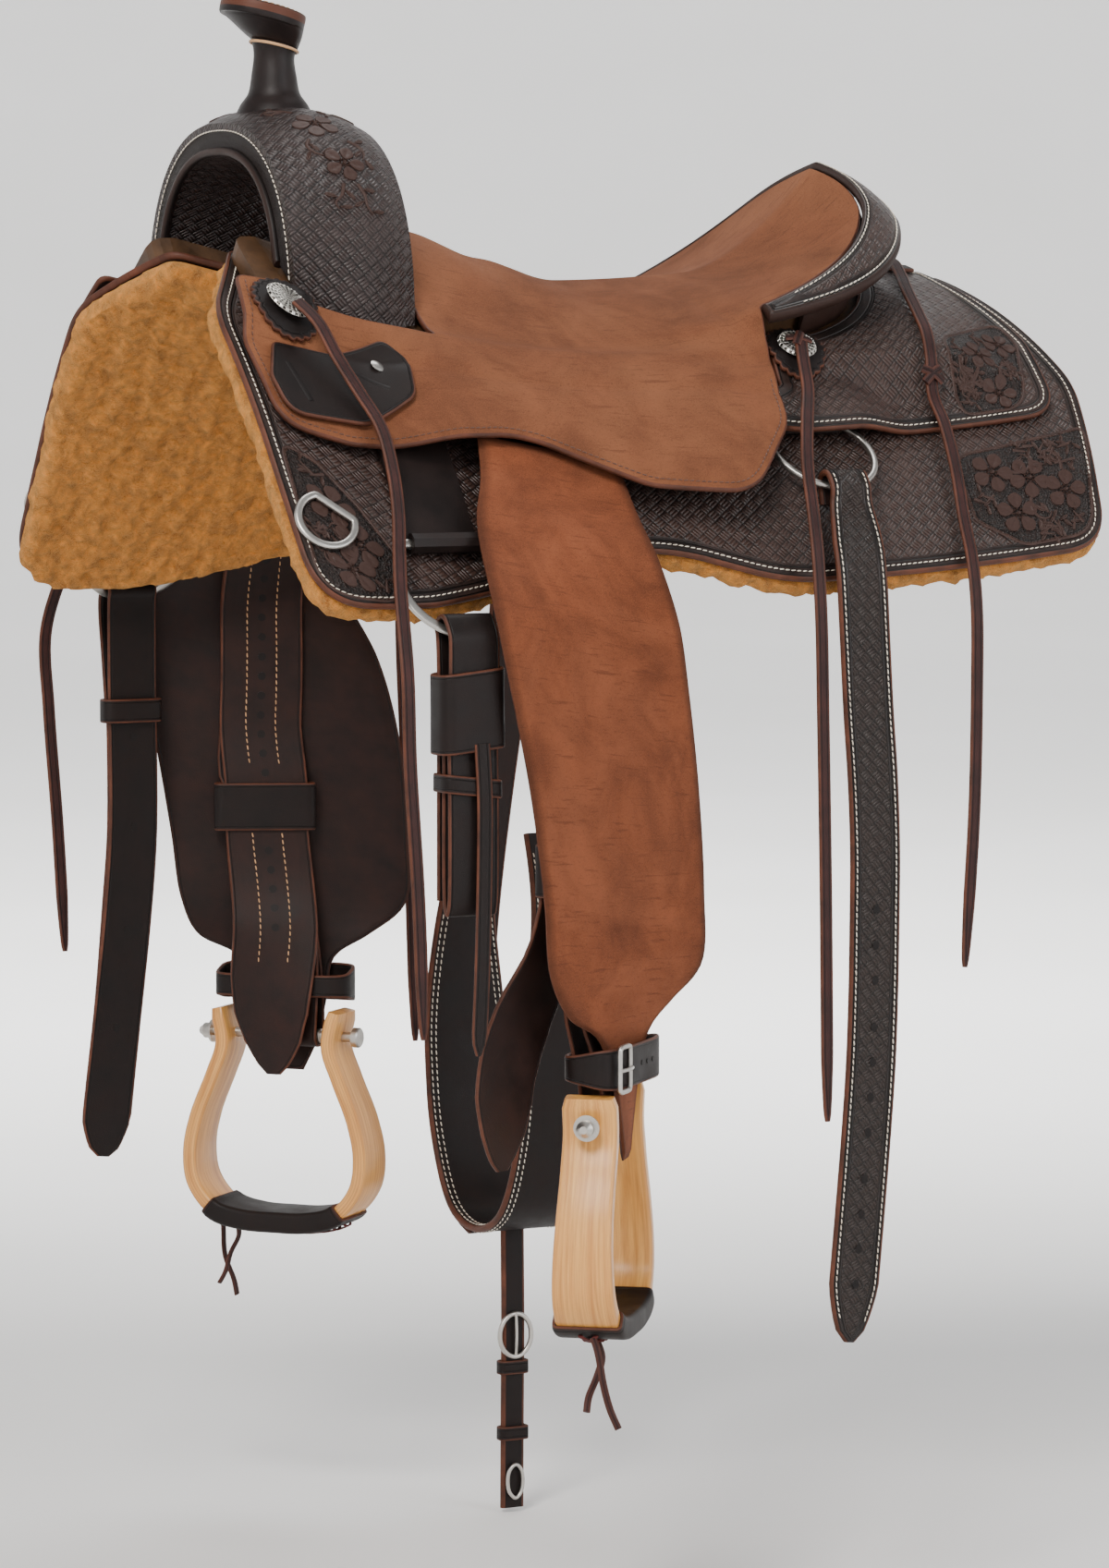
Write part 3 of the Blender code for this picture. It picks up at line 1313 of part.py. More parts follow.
def build_strings():
    front = FRONT_ROSETTE
    rear = REAR_ROSETTE
    top = front_trim_base(*front) + ROSETTE_THICK + GAP + CONCHO_THICK + GAP + STRING_THICK / 2
    rear_top = rear_trim_base(*rear) + ROSETTE_THICK + GAP + CONCHO_THICK + GAP + STRING_THICK / 2
    for side, word in ((1, "left"), (-1, "right")):
        points = [surface(front[0] + 0.004, front[1] + 0.004, top + 0.0008)]
        for y, s, h in ((-0.280, 0.192, 0.0395), (-0.272, 0.217, 0.0340), (-0.261, 0.243, 0.0290),
                        (-0.252, 0.270, 0.0275), (-0.251, 0.300, 0.0240), (-0.255, 0.340, 0.0205),
                        (-0.264, 0.380, 0.0190), (-0.272, 0.415, 0.0190)):
            points.append(surface(y, s, h))
        points += [(0.338, -0.281, -0.235), (0.338, -0.279, -0.30), (0.337, -0.272, -0.40),
                   (0.335, -0.267, -0.505)]
        band(f"string_front_{word}", points, pointed(STRING_WIDTH, 0.08, 0.4), STRING_THICK,
             "strap", side, count=22)
        points = [surface(rear[0], rear[1] + 0.004, rear_top + 0.0008)]
        for y, s, h in ((0.146, 0.176, 0.0370), (0.138, 0.203, 0.0330), (0.122, 0.235, 0.0340),
                        (0.106, 0.275, 0.0330), (0.099, 0.315, 0.0290), (0.094, 0.350, 0.0240)):
            ahead = 0.0 if side > 0 else 0.066 * smooth((s - 0.176) / 0.174)
            points.append(surface(y - ahead, s, h + ahead * 0.24))
        ahead = 0.0 if side > 0 else 0.060
        points += [(0.3035, 0.092 - ahead, -0.205), (0.303, 0.094 - ahead, -0.27),
                   (0.300, 0.099 - ahead, -0.42), (0.297, 0.103 - ahead, -0.595)]
        band(f"string_middle_{word}", points, pointed(STRING_WIDTH, 0.08, 0.4), STRING_THICK,
             "strap", side, count=20)
        over = LEATHER + 0.0032 + STRING_THICK / 2
        points = []
        for y, s in ((0.330, 0.008), (0.326, 0.022), (0.316, 0.045), (0.292, 0.095), (0.280, 0.130),
                     (0.273, 0.154), (0.268, 0.176), (0.264, 0.200), (0.260, 0.232)):
            lift = 0.0012 + 0.003 * smooth(1 - abs(s - 0.172) / 0.03) + 0.0025 * (s < 0.03)
            points.append(surface(y, s, rear_jockey_height(y, s) + over + lift))
        points += [surface(0.253, 0.275, 0.0115), surface(0.246, 0.320, 0.0088),
                   surface(0.241, 0.357, 0.0085), (0.295, 0.238, -0.20), (0.296, 0.238, -0.26),
                   (0.293, 0.238, -0.36), (0.290, 0.232, -0.482)]
        band(f"string_rear_{word}", points, pointed(STRING_WIDTH, 0.08, 0.4), STRING_THICK,
             "strap", side, count=24)


# Joint axes
def put_origin(place, side, *names):
    """Moves the pieces' origin to a point on their joint's axis; nothing moves in the world."""
    point = mirrored(side, Vector(place))
    for name in names:
        obj = bpy.data.objects[name]
        obj.data.transform(Matrix.Translation(-point))
        obj.location = point


def put_origins():
    rear_bar = dee_frame(REAR_DEE, REAR_DEE_HEIGHT, REAR_DEE_LEAN)[0]
    breast_bar = dee_frame(BREAST_DEE, BREAST_DEE_HEIGHT, 0.0, BREAST_DEE_SPIN)[0]
    for side, word in ((1, "left"), (-1, "right")):
        put_origin(FENDER_PIVOT, side, f"fender_{word}", f"stirrup_leather_{word}",
                   f"leather_sleeve_{word}", f"hobble_strap_{word}", f"stirrup_bolt_{word}")
        put_origin(BOLT, side, f"stirrup_{word}", f"tread_cover_{word}")
        put_origin(rear_bar, side, f"rear_dee_{word}")
        put_origin(breast_bar, side, f"breast_dee_{word}")
        put_origin(FLANK_PIVOT, side, f"flank_billet_{word}")
    put_origin(BILLET_PIVOT, 1, "latigo")
    put_origin(BILLET_PIVOT, -1, "off_billet")
    put_origin(FLANK_PIVOT, -1, "flank_cinch")
    put_origin(CONNECTOR_PIVOT, -1, "cinch_connector")


build_skirts()
build_tree()
build_swell_cover()
build_horn()
build_seat()
build_cantle_covers()
build_rear_jockeys()
build_rosettes()
build_rigging()
build_fenders()
build_stirrup_leathers()
build_sleeves()
build_hobble_straps()
build_stirrups()
build_latigo()
build_off_billet()
build_flank_billets()
build_flank_cinch()
build_strings()
put_origins()
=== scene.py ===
"""Looks of a western cutting saddle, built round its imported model.

Metres, +Z up, front at -Y, rider's left at +X.
"""

import math

import bmesh
import bpy
import numpy as np
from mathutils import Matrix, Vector
from mathutils.geometry import delaunay_2d_cdt

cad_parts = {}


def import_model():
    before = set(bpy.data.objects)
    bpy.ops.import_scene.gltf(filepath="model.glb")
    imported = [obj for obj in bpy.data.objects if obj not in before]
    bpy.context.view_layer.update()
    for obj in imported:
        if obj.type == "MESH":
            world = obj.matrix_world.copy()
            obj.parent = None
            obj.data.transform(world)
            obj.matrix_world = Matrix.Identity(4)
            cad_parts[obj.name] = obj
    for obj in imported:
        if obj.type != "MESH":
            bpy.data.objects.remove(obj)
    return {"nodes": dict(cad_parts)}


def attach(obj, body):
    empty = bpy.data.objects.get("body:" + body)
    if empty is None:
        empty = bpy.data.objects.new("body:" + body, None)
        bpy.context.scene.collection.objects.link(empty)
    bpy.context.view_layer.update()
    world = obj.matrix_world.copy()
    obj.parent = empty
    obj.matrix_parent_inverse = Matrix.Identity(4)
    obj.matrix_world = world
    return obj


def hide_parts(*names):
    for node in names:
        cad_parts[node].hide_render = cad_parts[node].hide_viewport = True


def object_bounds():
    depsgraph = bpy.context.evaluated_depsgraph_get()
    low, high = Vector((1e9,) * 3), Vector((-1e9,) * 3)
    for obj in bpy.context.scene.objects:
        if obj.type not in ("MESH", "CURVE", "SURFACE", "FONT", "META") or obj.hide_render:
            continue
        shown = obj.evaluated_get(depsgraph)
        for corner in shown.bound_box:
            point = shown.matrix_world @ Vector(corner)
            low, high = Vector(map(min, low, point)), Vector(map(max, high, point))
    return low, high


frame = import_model()
CAD_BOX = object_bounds()

# Sizes shared with the model
RIDGE_Z = 0.025
WITHERS_RISE = 0.115
LOIN_RISE = 0.038
FRONT_REACH = 0.34
REAR_REACH = 0.38
RIDGE_ANGLE = math.radians(8)
WITHERS_ANGLE = math.radians(23)
LOIN_ANGLE = math.radians(6)
SIDE_ANGLE = math.radians(56)
ARC_LENGTH = 0.30
RIDGE_BLEND = 0.07
SKIRT_THICK = 0.006
FLEECE_THICK = 0.018
SKIRT_FRONT_Y = -0.342
SKIRT_REAR_Y = 0.402
SKIRT_FRONT_DROP = 0.435
SKIRT_MIDDLE_DROP = 0.322
SKIRT_REAR_DROP = 0.357
SKIRT_TOP = 0.04
BAR_THICK = 0.022
BAR_OUTER = 0.16
BAR_EDGE = 0.20
FORK_FRONT_Y = -0.272
FORK_REAR_Y = -0.178
FORK_HALF_WIDTH = 0.148
FORK_TOP_Z = 0.188
FORK_FOOT_Z = 0.012
GULLET_HALF_WIDTH = 0.114
GULLET_TOP_Z = 0.160
SWELL_CROWN = 0.012
COVER = 0.0037
LEATHER = 0.005
SEAT_FRONT_Y = -0.171
JOCKEY_TOP = 0.159
JOCKEY_FRONT_Y = -0.332
JOCKEY_DROP = 0.283
SEAT_WAIST_DROP = 0.257
SEAT_LEG_DROP = 0.294
SEAT_LEG_Y = 0.012
CANTLE_Y = 0.10
CANTLE_DEPTH = 0.162
CANTLE_HALF = 0.131
CANTLE_POWER = 2.5
CANTLE_RISE = 0.074
CANTLE_END_RISE = 0.014
DISH_START = 0.25
ROLL_WIDTH = 0.036
ROLL_THICK = 0.011
ROLL_DROP = 0.026
ROLL_END = math.radians(84)
REAR_JOCKEY_DROP = 0.232
REAR_JOCKEY_Y = 0.380
HORN_Y = -0.228
HORN_NECK_RADIUS = 0.0160
HORN_BASE_RADIUS = 0.031
HORN_CAP_Z = 0.2405
HORN_CAP_LENGTH = 0.069
HORN_CAP_WIDTH = 0.064
HORN_CAP_THICK = 0.010
HORN_CAP_DEPTH = 0.0265
HORN_CAP_SHIFT = -0.0150
HORN_CAP_TILT = math.radians(14)
ROSETTE_RADIUS = 0.026
ROSETTE_THICK = 0.0035
SCALLOPS = 22
CONCHO_RADIUS = 0.016
CONCHO_THICK = 0.004
FRONT_ROSETTE = (-0.294, 0.170)
REAR_ROSETTE = (0.152, 0.154)
DEE_BAND = 0.0075
FRONT_DEE = (-0.216, 0.350)
FRONT_DEE_RADIUS = 0.052
FRONT_DEE_HEIGHT = 0.0098
REAR_DEE = (0.141, 0.218)
REAR_DEE_RADIUS = 0.046
REAR_DEE_WIRE = 0.005
REAR_DEE_HEIGHT = 0.0068
REAR_DEE_LEAN = math.radians(6)
BREAST_DEE = (-0.298, 0.342)
BREAST_DEE_HEIGHT = 0.0041
BREAST_DEE_SPIN = math.radians(-42)
FENDER_THICK = 0.004
STRAP_THICK = 0.0030
HOBBLE_Z = -0.5370
SLEEVE_Z = -0.386
STRAP_WIDTH = 0.072
BOLT = np.array((0.285, -0.088, -0.580))
STIRRUP_TURN = math.radians(50)
STIRRUP_WOOD = 0.012
STIRRUP_HEIGHT = 0.176
STIRRUP_HALF_WIDTH = 0.086
STIRRUP_NECK = 0.052
TREAD_DEPTH = 0.050
NECK_DEPTH = 0.042
BILLET_WIDTH = 0.045
LATIGO_SHIFT = -0.005
CINCH_Y = 0.090
BILLET_THICK = 0.005
STRING_WIDTH = 0.011
STRING_THICK = 0.003
HOLE_RADIUS = 0.0030
HOLE_SINK = 0.0006
HOLE_PROUD = 0.00025
STITCH_PITCH = 0.0050
STITCH_LENGTH = 0.0041
STITCH_WIDTH = 0.0011
STITCH_SLANT = 0.12
CREASE = 0.0030
CARVING_SINK = 0.0004
HOBBLE_HALF_WIDTH = 0.0575
HOBBLE_DEPTH = 0.0226
HOBBLE_OUT = 0.0068
DEE_CHORD = 0.72
CONCHO_GAP = 0.0013
SKIRT_SEAM = 0.0075
JOCKEY_SEAM = 0.0070
SEAT_SEAM = 0.0065
BASKET_TURN = math.radians(38)
SIDES = ((1, "left", "near"), (-1, "right", "off"))


# Numbers
def smooth(v):
    v = np.clip(v, 0.0, 1.0)
    return v * v * (3 - 2 * v)


def through(x, stations):
    """Smooth curve through given stations (x, value)."""
    xs = np.array([a for a, b in stations], float)
    vs = np.array([b for a, b in stations], float)
    k = np.clip(np.searchsorted(xs, x) - 1, 0, len(xs) - 2)
    return vs[k] + (vs[k + 1] - vs[k]) * smooth((x - xs[k]) / (xs[k + 1] - xs[k]))


def unit(v):
    v = np.asarray(v, float)
    return v / np.maximum(np.linalg.norm(v, axis=-1, keepdims=True), 1e-12)


def run_along(path):
    """Distance from the start at each point of a path."""
    return np.concatenate([[0], np.cumsum(np.linalg.norm(np.diff(path, axis=0), axis=1))])


def at_height(path, z):
    """Index of the path's point nearest a height."""
    return int(np.argmin(abs(path[:, 2] - z)))


def looked_up(want, places, values):
    """Every column of values at the wanted places."""
    return np.stack([np.interp(want, places, column) for column in np.asarray(values, float).T], -1)


def even(points, step=None, count=None, closed=False):
    """Even samples along a polyline."""
    p = np.asarray(points, float)
    if closed:
        p = np.vstack([p, p[:1]])
    run = run_along(p)
    count = count or max(2, int(round(run[-1] / step)) + (0 if closed else 1))
    want = np.linspace(0, run[-1], count + 1)[:-1] if closed else np.linspace(0, run[-1], count)
    return looked_up(want, run, p)


def refine(points, k):
    """Centripetal curve through the points with k pieces to a span, and each sample's place among them."""
    p = np.asarray(points, float)
    p = np.vstack([2 * p[0] - p[1], p, 2 * p[-1] - p[-2]])
    gap = np.maximum(np.linalg.norm(np.diff(p, axis=0), axis=1), 1e-6) ** 0.5
    t = np.concatenate([[0], np.cumsum(gap)])
    out = []
    for i in range(1, len(p) - 2):
        for u in np.linspace(t[i], t[i + 1], k, endpoint=False):
            level = [p[i - 1], p[i], p[i + 1], p[i + 2]]
            knots = t[i - 1:i + 3]
            a = [((knots[j + 1] - u) * level[j] + (u - knots[j]) * level[j + 1])
                 / (knots[j + 1] - knots[j]) for j in range(3)]
            b = [((knots[j + 2] - u) * a[j] + (u - knots[j]) * a[j + 1])
                 / (knots[j + 2] - knots[j]) for j in range(2)]
            out.append(((knots[2] - u) * b[0] + (u - knots[1]) * b[1]) / (knots[2] - knots[1]))
    out.append(p[-2])
    return np.array(out), np.arange(len(out)) / k


def spline(points, count):
    """Even samples along a curve through all the points."""
    return even(refine(points, 16)[0], count=count)


def circle(count, across=1.0, up=None):
    """Points of a circle, or of an ellipse with two half sizes."""
    a = np.linspace(0, 2 * math.pi, count, endpoint=False)
    return np.stack([across * np.cos(a), (across if up is None else up) * np.sin(a)], -1)


def rounded(corners, steps=5):
    """Outline from corners (y, s, radius), with an arc at each corner that has a radius."""
    result = []
    for i, (y, s, radius) in enumerate(corners):
        here = np.array((y, s))
        if radius <= 0:
            result.append(here)
            continue
        before = np.array(corners[i - 1][:2]) - here
        after = np.array(corners[(i + 1) % len(corners)][:2]) - here
        lb, la = np.linalg.norm(before), np.linalg.norm(after)
        half = math.acos(float(np.clip(before @ after / (lb * la), -1, 1))) / 2
        cut = min(radius / math.tan(half), 0.45 * lb, 0.45 * la)
        start, end = here + before / lb * cut, here + after / la * cut
        for k in range(steps + 1):
            t = k / steps
            result.append(start * (1 - t) ** 2 + here * 2 * t * (1 - t) + end * t * t)
    return np.array(result)


def mirrored(side, points):
    return np.asarray(points, float) * (side, 1, 1)


# The back's surface and the heights above it
def surface(y, s, h=0.0):
    y, s, h = np.broadcast_arrays(np.asarray(y, float), np.asarray(s, float), np.asarray(h, float))
    side = np.where(s < 0, -1.0, 1.0)
    s = abs(s)
    lift = np.where(y < 0, WITHERS_RISE * (y / FRONT_REACH) ** 2, LOIN_RISE * (y / REAR_REACH) ** 2)
    start = RIDGE_ANGLE + np.where(y < 0, WITHERS_ANGLE * (y / FRONT_REACH) ** 2,
                                   LOIN_ANGLE * (y / REAR_REACH) ** 2)
    bend = (SIDE_ANGLE - start) / ARC_LENGTH
    angle = start + bend * np.minimum(s, ARC_LENGTH)
    beyond = np.maximum(0.0, s - ARC_LENGTH)
    x = (np.sin(angle) - np.sin(start)) / bend + beyond * np.cos(angle)
    z = RIDGE_Z + lift - (np.cos(start) - np.cos(angle)) / bend - beyond * np.sin(angle)
    lean = angle * smooth(s / RIDGE_BLEND)
    return np.stack([side * (x + h * np.sin(lean)), y, z + h * np.cos(lean)], -1)


def support(y, s):
    across = np.clip((BAR_EDGE - abs(s)) / (BAR_EDGE - BAR_OUTER), 0, 1)
    rear = np.clip((0.36 - y) / 0.08, 0, 1)
    front = np.clip((y + 0.36) / 0.08, 0, 1)
    return BAR_THICK * np.minimum(across, np.minimum(rear, front))


def cantle_place(turn, reach):
    power = 2 / CANTLE_POWER
    s = CANTLE_HALF * reach * abs(math.sin(turn)) ** power
    return CANTLE_Y + CANTLE_DEPTH * reach * abs(math.cos(turn)) ** power, (s if turn >= 0 else -s)


def cantle_reach(y, s):
    ahead = np.maximum(0.0, (y - CANTLE_Y) / CANTLE_DEPTH)
    return (ahead ** CANTLE_POWER + (abs(s) / CANTLE_HALF) ** CANTLE_POWER) ** (1 / CANTLE_POWER)


def cantle_rise(y, s):
    ahead = np.maximum(0.0, (y - CANTLE_Y) / CANTLE_DEPTH)
    length = np.hypot(ahead, abs(s) / CANTLE_HALF)
    share = np.where(length > 1e-6, ahead / np.maximum(length, 1e-6), 1.0)
    fade = np.where(y > CANTLE_Y, 1.0, smooth(1 - (CANTLE_Y - y) / 0.10))
    return (CANTLE_END_RISE + (CANTLE_RISE - CANTLE_END_RISE) * share ** 0.9) * fade


def saddle_height(y, s):
    centre = through(y, [(-0.17, 0.043), (-0.11, 0.036), (-0.05, 0.025), (0.02, 0.010), (0.27, 0.013)])
    edge = through(y, [(-0.33, 0.0085), (-0.25, 0.015), (-0.18, 0.034), (0.05, 0.036), (0.13, 0.028)])
    s = abs(s)
    extra = np.where(s < 0.14, centre + (0.0085 - centre) * smooth(s / 0.14),
                     0.0085 + (edge - 0.0085) * smooth((s - 0.14) / 0.07))
    return support(y, s) + extra


def seat_height(y, s):
    reach = cantle_reach(y, s)
    dish = np.where(reach <= 1, np.clip((reach - DISH_START) / (1 - DISH_START), 0, 1) ** 1.7,
                    smooth(1 - (reach - 1) / 0.3))
    return saddle_height(y, s) + cantle_rise(y, s) * dish


def rim_height(y, s):
    reach = np.maximum(1.0, cantle_reach(y, s))
    return seat_height(CANTLE_Y + (y - CANTLE_Y) / reach, s / reach)


def roll_share(y, s):
    return np.clip((cantle_reach(y, s) - 1) * CANTLE_DEPTH / ROLL_WIDTH, 0, 1)


def roll_top(y, s):
    rise = cantle_rise(y, s) / CANTLE_RISE
    return rim_height(y, s) + 0.002 - ROLL_DROP * roll_share(y, s) ** 1.6 * rise


def roll_low(y, s):
    share = roll_share(y, s)
    thick = ROLL_THICK * (0.55 + 0.45 * np.sin(math.pi * np.clip(share * 0.8 + 0.1, 0, 1)))
    return np.maximum(support(y, s) + LEATHER + 0.002, roll_top(y, s) - thick)


def rear_jockey_height(y, s):
    lift = 0.0135 * smooth((abs(s) - 0.13) / 0.06) * smooth(1.6 - abs(y - REAR_DEE[0]) / 0.06)
    return np.maximum(support(y, s), lift) + 0.0012


def flat(height):
    return lambda y, s: height + 0.0 * y


def raised(base, lift):
    return lambda y, s: base(y, s) + lift


jockey_top = raised(rear_jockey_height, LEATHER)
front_trim_base = raised(seat_height, 0.0016)
rear_trim_base = raised(jockey_top, 0.0018)


# Meshes
def put(name, data):
    obj = bpy.data.objects.new(name, data)
    bpy.context.scene.collection.objects.link(obj)
    return obj


def make(name, verts, faces, mats, slots=None, uv=None, edge=None, body="saddle", slot="", stands_for=(),
         sharp=50):
    """Object from arrays, with its pattern coordinates, distance to the edge, body and finish."""
    mesh = bpy.data.meshes.new(name)
    mesh.from_pydata(np.asarray(verts, float).tolist(), [], faces)
    for mat in mats:
        mesh.materials.append(mat)
    if slots is not None:
        mesh.polygons.foreach_set("material_index", np.asarray(slots, np.int32))
    bm = bmesh.new()
    bm.from_mesh(mesh)
    bmesh.ops.recalc_face_normals(bm, faces=bm.faces[:])
    bm.to_mesh(mesh)
    bm.free()
    if uv is not None:
        at = np.zeros(len(mesh.loops), np.int32)
        mesh.loops.foreach_get("vertex_index", at)
        layer = mesh.uv_layers.new(name="UVMap")
        layer.data.foreach_set("uv", np.asarray(uv, np.float32)[at].ravel())
    if edge is not None:
        mesh.attributes.new("edge", "FLOAT", "POINT").data.foreach_set("value", np.asarray(edge, np.float32))
    mesh.shade_smooth()
    mesh.set_sharp_from_angle(angle=math.radians(sharp))
    obj = put(name, mesh)
    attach(obj, body)
    if stands_for:
        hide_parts(*([stands_for] if isinstance(stands_for, str) else stands_for))
    return obj


def tangents(p, closed=False):
    if closed:
        return unit(np.roll(p, -1, 0) - np.roll(p, 1, 0))
    return unit(np.vstack([p[1] - p[0], p[2:] - p[:-2], p[-1] - p[-2]]))


def grid(n, m, closed=False, caps=True):
    """Faces between n rings of m points, with a flat face at each end."""
    faces = [(i * m + k, i * m + (k + 1) % m, (i + 1) % n * m + (k + 1) % m, (i + 1) % n * m + k)
             for i in range(n if closed else n - 1) for k in range(m)]
    if caps and not closed:
        faces += [tuple(range(m)), tuple((n - 1) * m + k for k in reversed(range(m)))]
    return faces


def inside(points, loop):
    x, y = points[:, 0:1], points[:, 1:2]
    (ax, ay), (bx, by) = loop.T, np.roll(loop, -1, 0).T
    over = (ay > y) != (by > y)
    cross = x < (bx - ax) * (y - ay) / np.where(by == ay, 1e-12, by - ay) + ax
    return (over & cross).sum(1) % 2 == 1


def distance(points, loop):
    """Distance of each point from a closed outline."""
    a = loop
    d = np.roll(loop, -1, 0) - a
    out = np.empty(len(points))
    for k in range(0, len(points), 2000):
        p = points[k:k + 2000, None, :]
        t = np.clip(((p - a) * d).sum(-1) / np.maximum((d * d).sum(-1), 1e-14), 0, 1)
        out[k:k + 2000] = np.sqrt((((p - a) - t[..., None] * d) ** 2).sum(-1).min(1))
    return out


def outward(loop):
    d = tangents(loop, True)
    area = (loop[:, 0] * np.roll(loop[:, 1], -1) - loop[:, 1] * np.roll(loop[:, 0], -1)).sum()
    n = np.stack([d[:, 1], -d[:, 0]], -1)
    return n if area > 0 else -n


def fill(loop, step):
    """Triangles inside an outline: points, triangles, and where the outline's points are."""
    lo, hi = loop.min(0), loop.max(0)
    points = []
    for i, v in enumerate(np.arange(lo[1], hi[1], step * 0.866)):
        u = np.arange(lo[0] + (i % 2) * step / 2, hi[0], step)
        points.append(np.stack([u, np.full_like(u, v)], -1))
    points = np.vstack(points)
    points = points[inside(points, loop)]
    points = points[distance(points, loop) > 0.6 * step]
    count = len(loop)
    everything = [Vector(p) for p in np.vstack([loop, points])]
    edges = [(i, (i + 1) % count) for i in range(count)]
    verts, _, faces, origin, _, _ = delaunay_2d_cdt(everything, edges, [], 1, 1e-8)
    where = np.zeros(count, int)
    for i, sources in enumerate(origin):
        for source in sources:
            if source < count:
                where[source] = i
    return np.array([tuple(v) for v in verts]), [tuple(f) for f in faces], where


def drape(name, outline, low, high, mats, side=1, step=0.005, lip=0.0018, after=None, **told):
    """Leather laid over the back between two heights, with rounded edges."""
    loop = even(outline, step * 0.8, closed=True)
    out = outward(loop)
    inner = loop - out * lip
    flat_points, tris, where = fill(inner, step)
    count, around = len(flat_points), len(loop)
    y, s = flat_points.T
    rim_top, rim_low = high(*inner.T), low(*inner.T)
    verts, uv = [surface(y, s, high(y, s))], [flat_points]
    for angle in (50, 5, -45):
        a = math.radians(angle)
        ring = inner + out * lip * math.cos(a)
        verts.append(surface(*ring.T, (rim_top + rim_low) / 2 + (rim_top - rim_low) / 2 * math.sin(a)))
        uv.append(ring)
    verts = mirrored(side, np.vstack(verts + [surface(y, s, low(y, s))]))
    uv = np.vstack(uv + [flat_points])
    far = distance(flat_points, loop)
    edge = np.concatenate([far, np.zeros(3 * around), far])
    base = count + 3 * around
    rings = [where] + [np.arange(around) + count + k * around for k in range(3)] + [where + base]
    faces = list(tris)
    for a, b in zip(rings, rings[1:]):
        faces += [tuple(int(v) for v in face) for face in zip(a, np.roll(a, -1), np.roll(b, -1), b)]
    faces += [tuple(base + k for k in reversed(t)) for t in tris]
    slots = [0] * len(tris) + [1] * 4 * around + [2] * len(tris)
    if after:
        verts = after(verts, uv, count, base)
    return make(name, verts, faces, mats, slots, uv, edge, **told)


def sweep(name, path, wide, section, mats, closed=False, slots=None, side=1, **told):
    """Skin along a path. section gives each station's ring as (across, out) pairs."""
    path = np.asarray(path, float)
    ahead = tangents(path, closed)
    out = unit(np.cross(np.broadcast_to(np.asarray(wide, float), path.shape), ahead))
    wide = unit(np.cross(ahead, out))
    section = np.asarray(section, float)
    if section.ndim == 2:
        section = np.tile(section, (len(path), 1, 1))
    n, m = section.shape[:2]
    verts = path[:, None] + section[..., :1] * wide[:, None] + section[..., 1:] * out[:, None]
    uv = np.stack([np.tile(run_along(path)[:, None], (1, m)), section[..., 0]], -1)
    edge = abs(section[..., 0]).max(1, keepdims=True) - abs(section[..., 0])
    faces = grid(n, m, closed)
    kinds = list(slots or [0] * m) * (n if closed else n - 1)
    kinds += [max(kinds)] * (len(faces) - len(kinds))
    return make(name, mirrored(side, verts.reshape(-1, 3)), faces, mats, kinds, uv.reshape(-1, 2),
                edge.ravel(), **told)


def strap_ring(width, thick, arc=5):
    """Section of a strap with rounded edges and a few lines along each face."""
    r = min(thick / 2, width / 3)
    half = width / 2
    inner = [half - max(r, min(0.0026, width * 0.22)) * 1.02, half - min(0.0062, width * 0.38), 0.0]
    inner += [-inner[1], -inner[0]]
    ring = []
    for sign in (1, -1):
        for k in range(arc):
            a = math.radians(90 - 180 * k / (arc - 1)) * sign
            ring.append((sign * (half - r + r * math.cos(a)), thick / 2 * math.sin(a)))
        ring += [(u * sign, -sign * thick / 2) for u in inner]
    return ring


STRAP_SLOTS = [1] * 4 + [2] * 6 + [1] * 4 + [0] * 6


def band(name, path, wide, widths, thick, mats, **told):
    """Flat strap with its width at each point: slot 0 on the outer face, 1 on the edges, 2 behind."""
    rings = np.array([strap_ring(max(w, thick * 1.02), thick) for w in widths])
    return sweep(name, path, wide, rings, mats, slots=STRAP_SLOTS, **told)


def strap(name, points, wide, widths, thick, mats, k=6, **told):
    """Flat strap through stations. Returns its path, across directions and widths."""
    path, place = refine(points, k)
    stations = range(len(points))
    if np.ndim(wide) == 2:
        wide = looked_up(place, stations, wide)
    if callable(widths):
        run = run_along(path)
        widths = widths(run / run[-1])
    else:
        widths = np.interp(place, stations, np.broadcast_to(widths, len(points)))
    band(name, path, wide, widths, thick, mats, **told)
    return path, wide, widths


def pointed(width, tip=0.12, end=0.25):
    return lambda t: width * (end + (1 - end) * np.sqrt(np.clip((1 - t) / tip, 0, 1)))


def cord(name, points, radius, mats, k=5, sides=8, closed=False, flatten=1.0, wide=(0.31, 0.2, 0.93), **told):
    """Round or flattened thong or wire through points."""
    if closed:
        points = list(points)
        path = refine(points[-2:] + points + points[:3], k)[0][2 * k:(2 + len(points)) * k]
    else:
        path = refine(points, k)[0]
    return sweep(name, path, wide, circle(sides, radius, radius * flatten), mats, closed=closed, **told)


def joined(name, chunks, mats, **told):
    """One object from many small closed pieces (verts, faces)."""
    verts, faces, start = [], [], 0
    for v, f in chunks:
        verts.append(np.asarray(v, float))
        faces += [tuple(start + i for i in face) for face in f]
        start += len(v)
    return make(name, np.vstack(verts), faces, mats, **told)


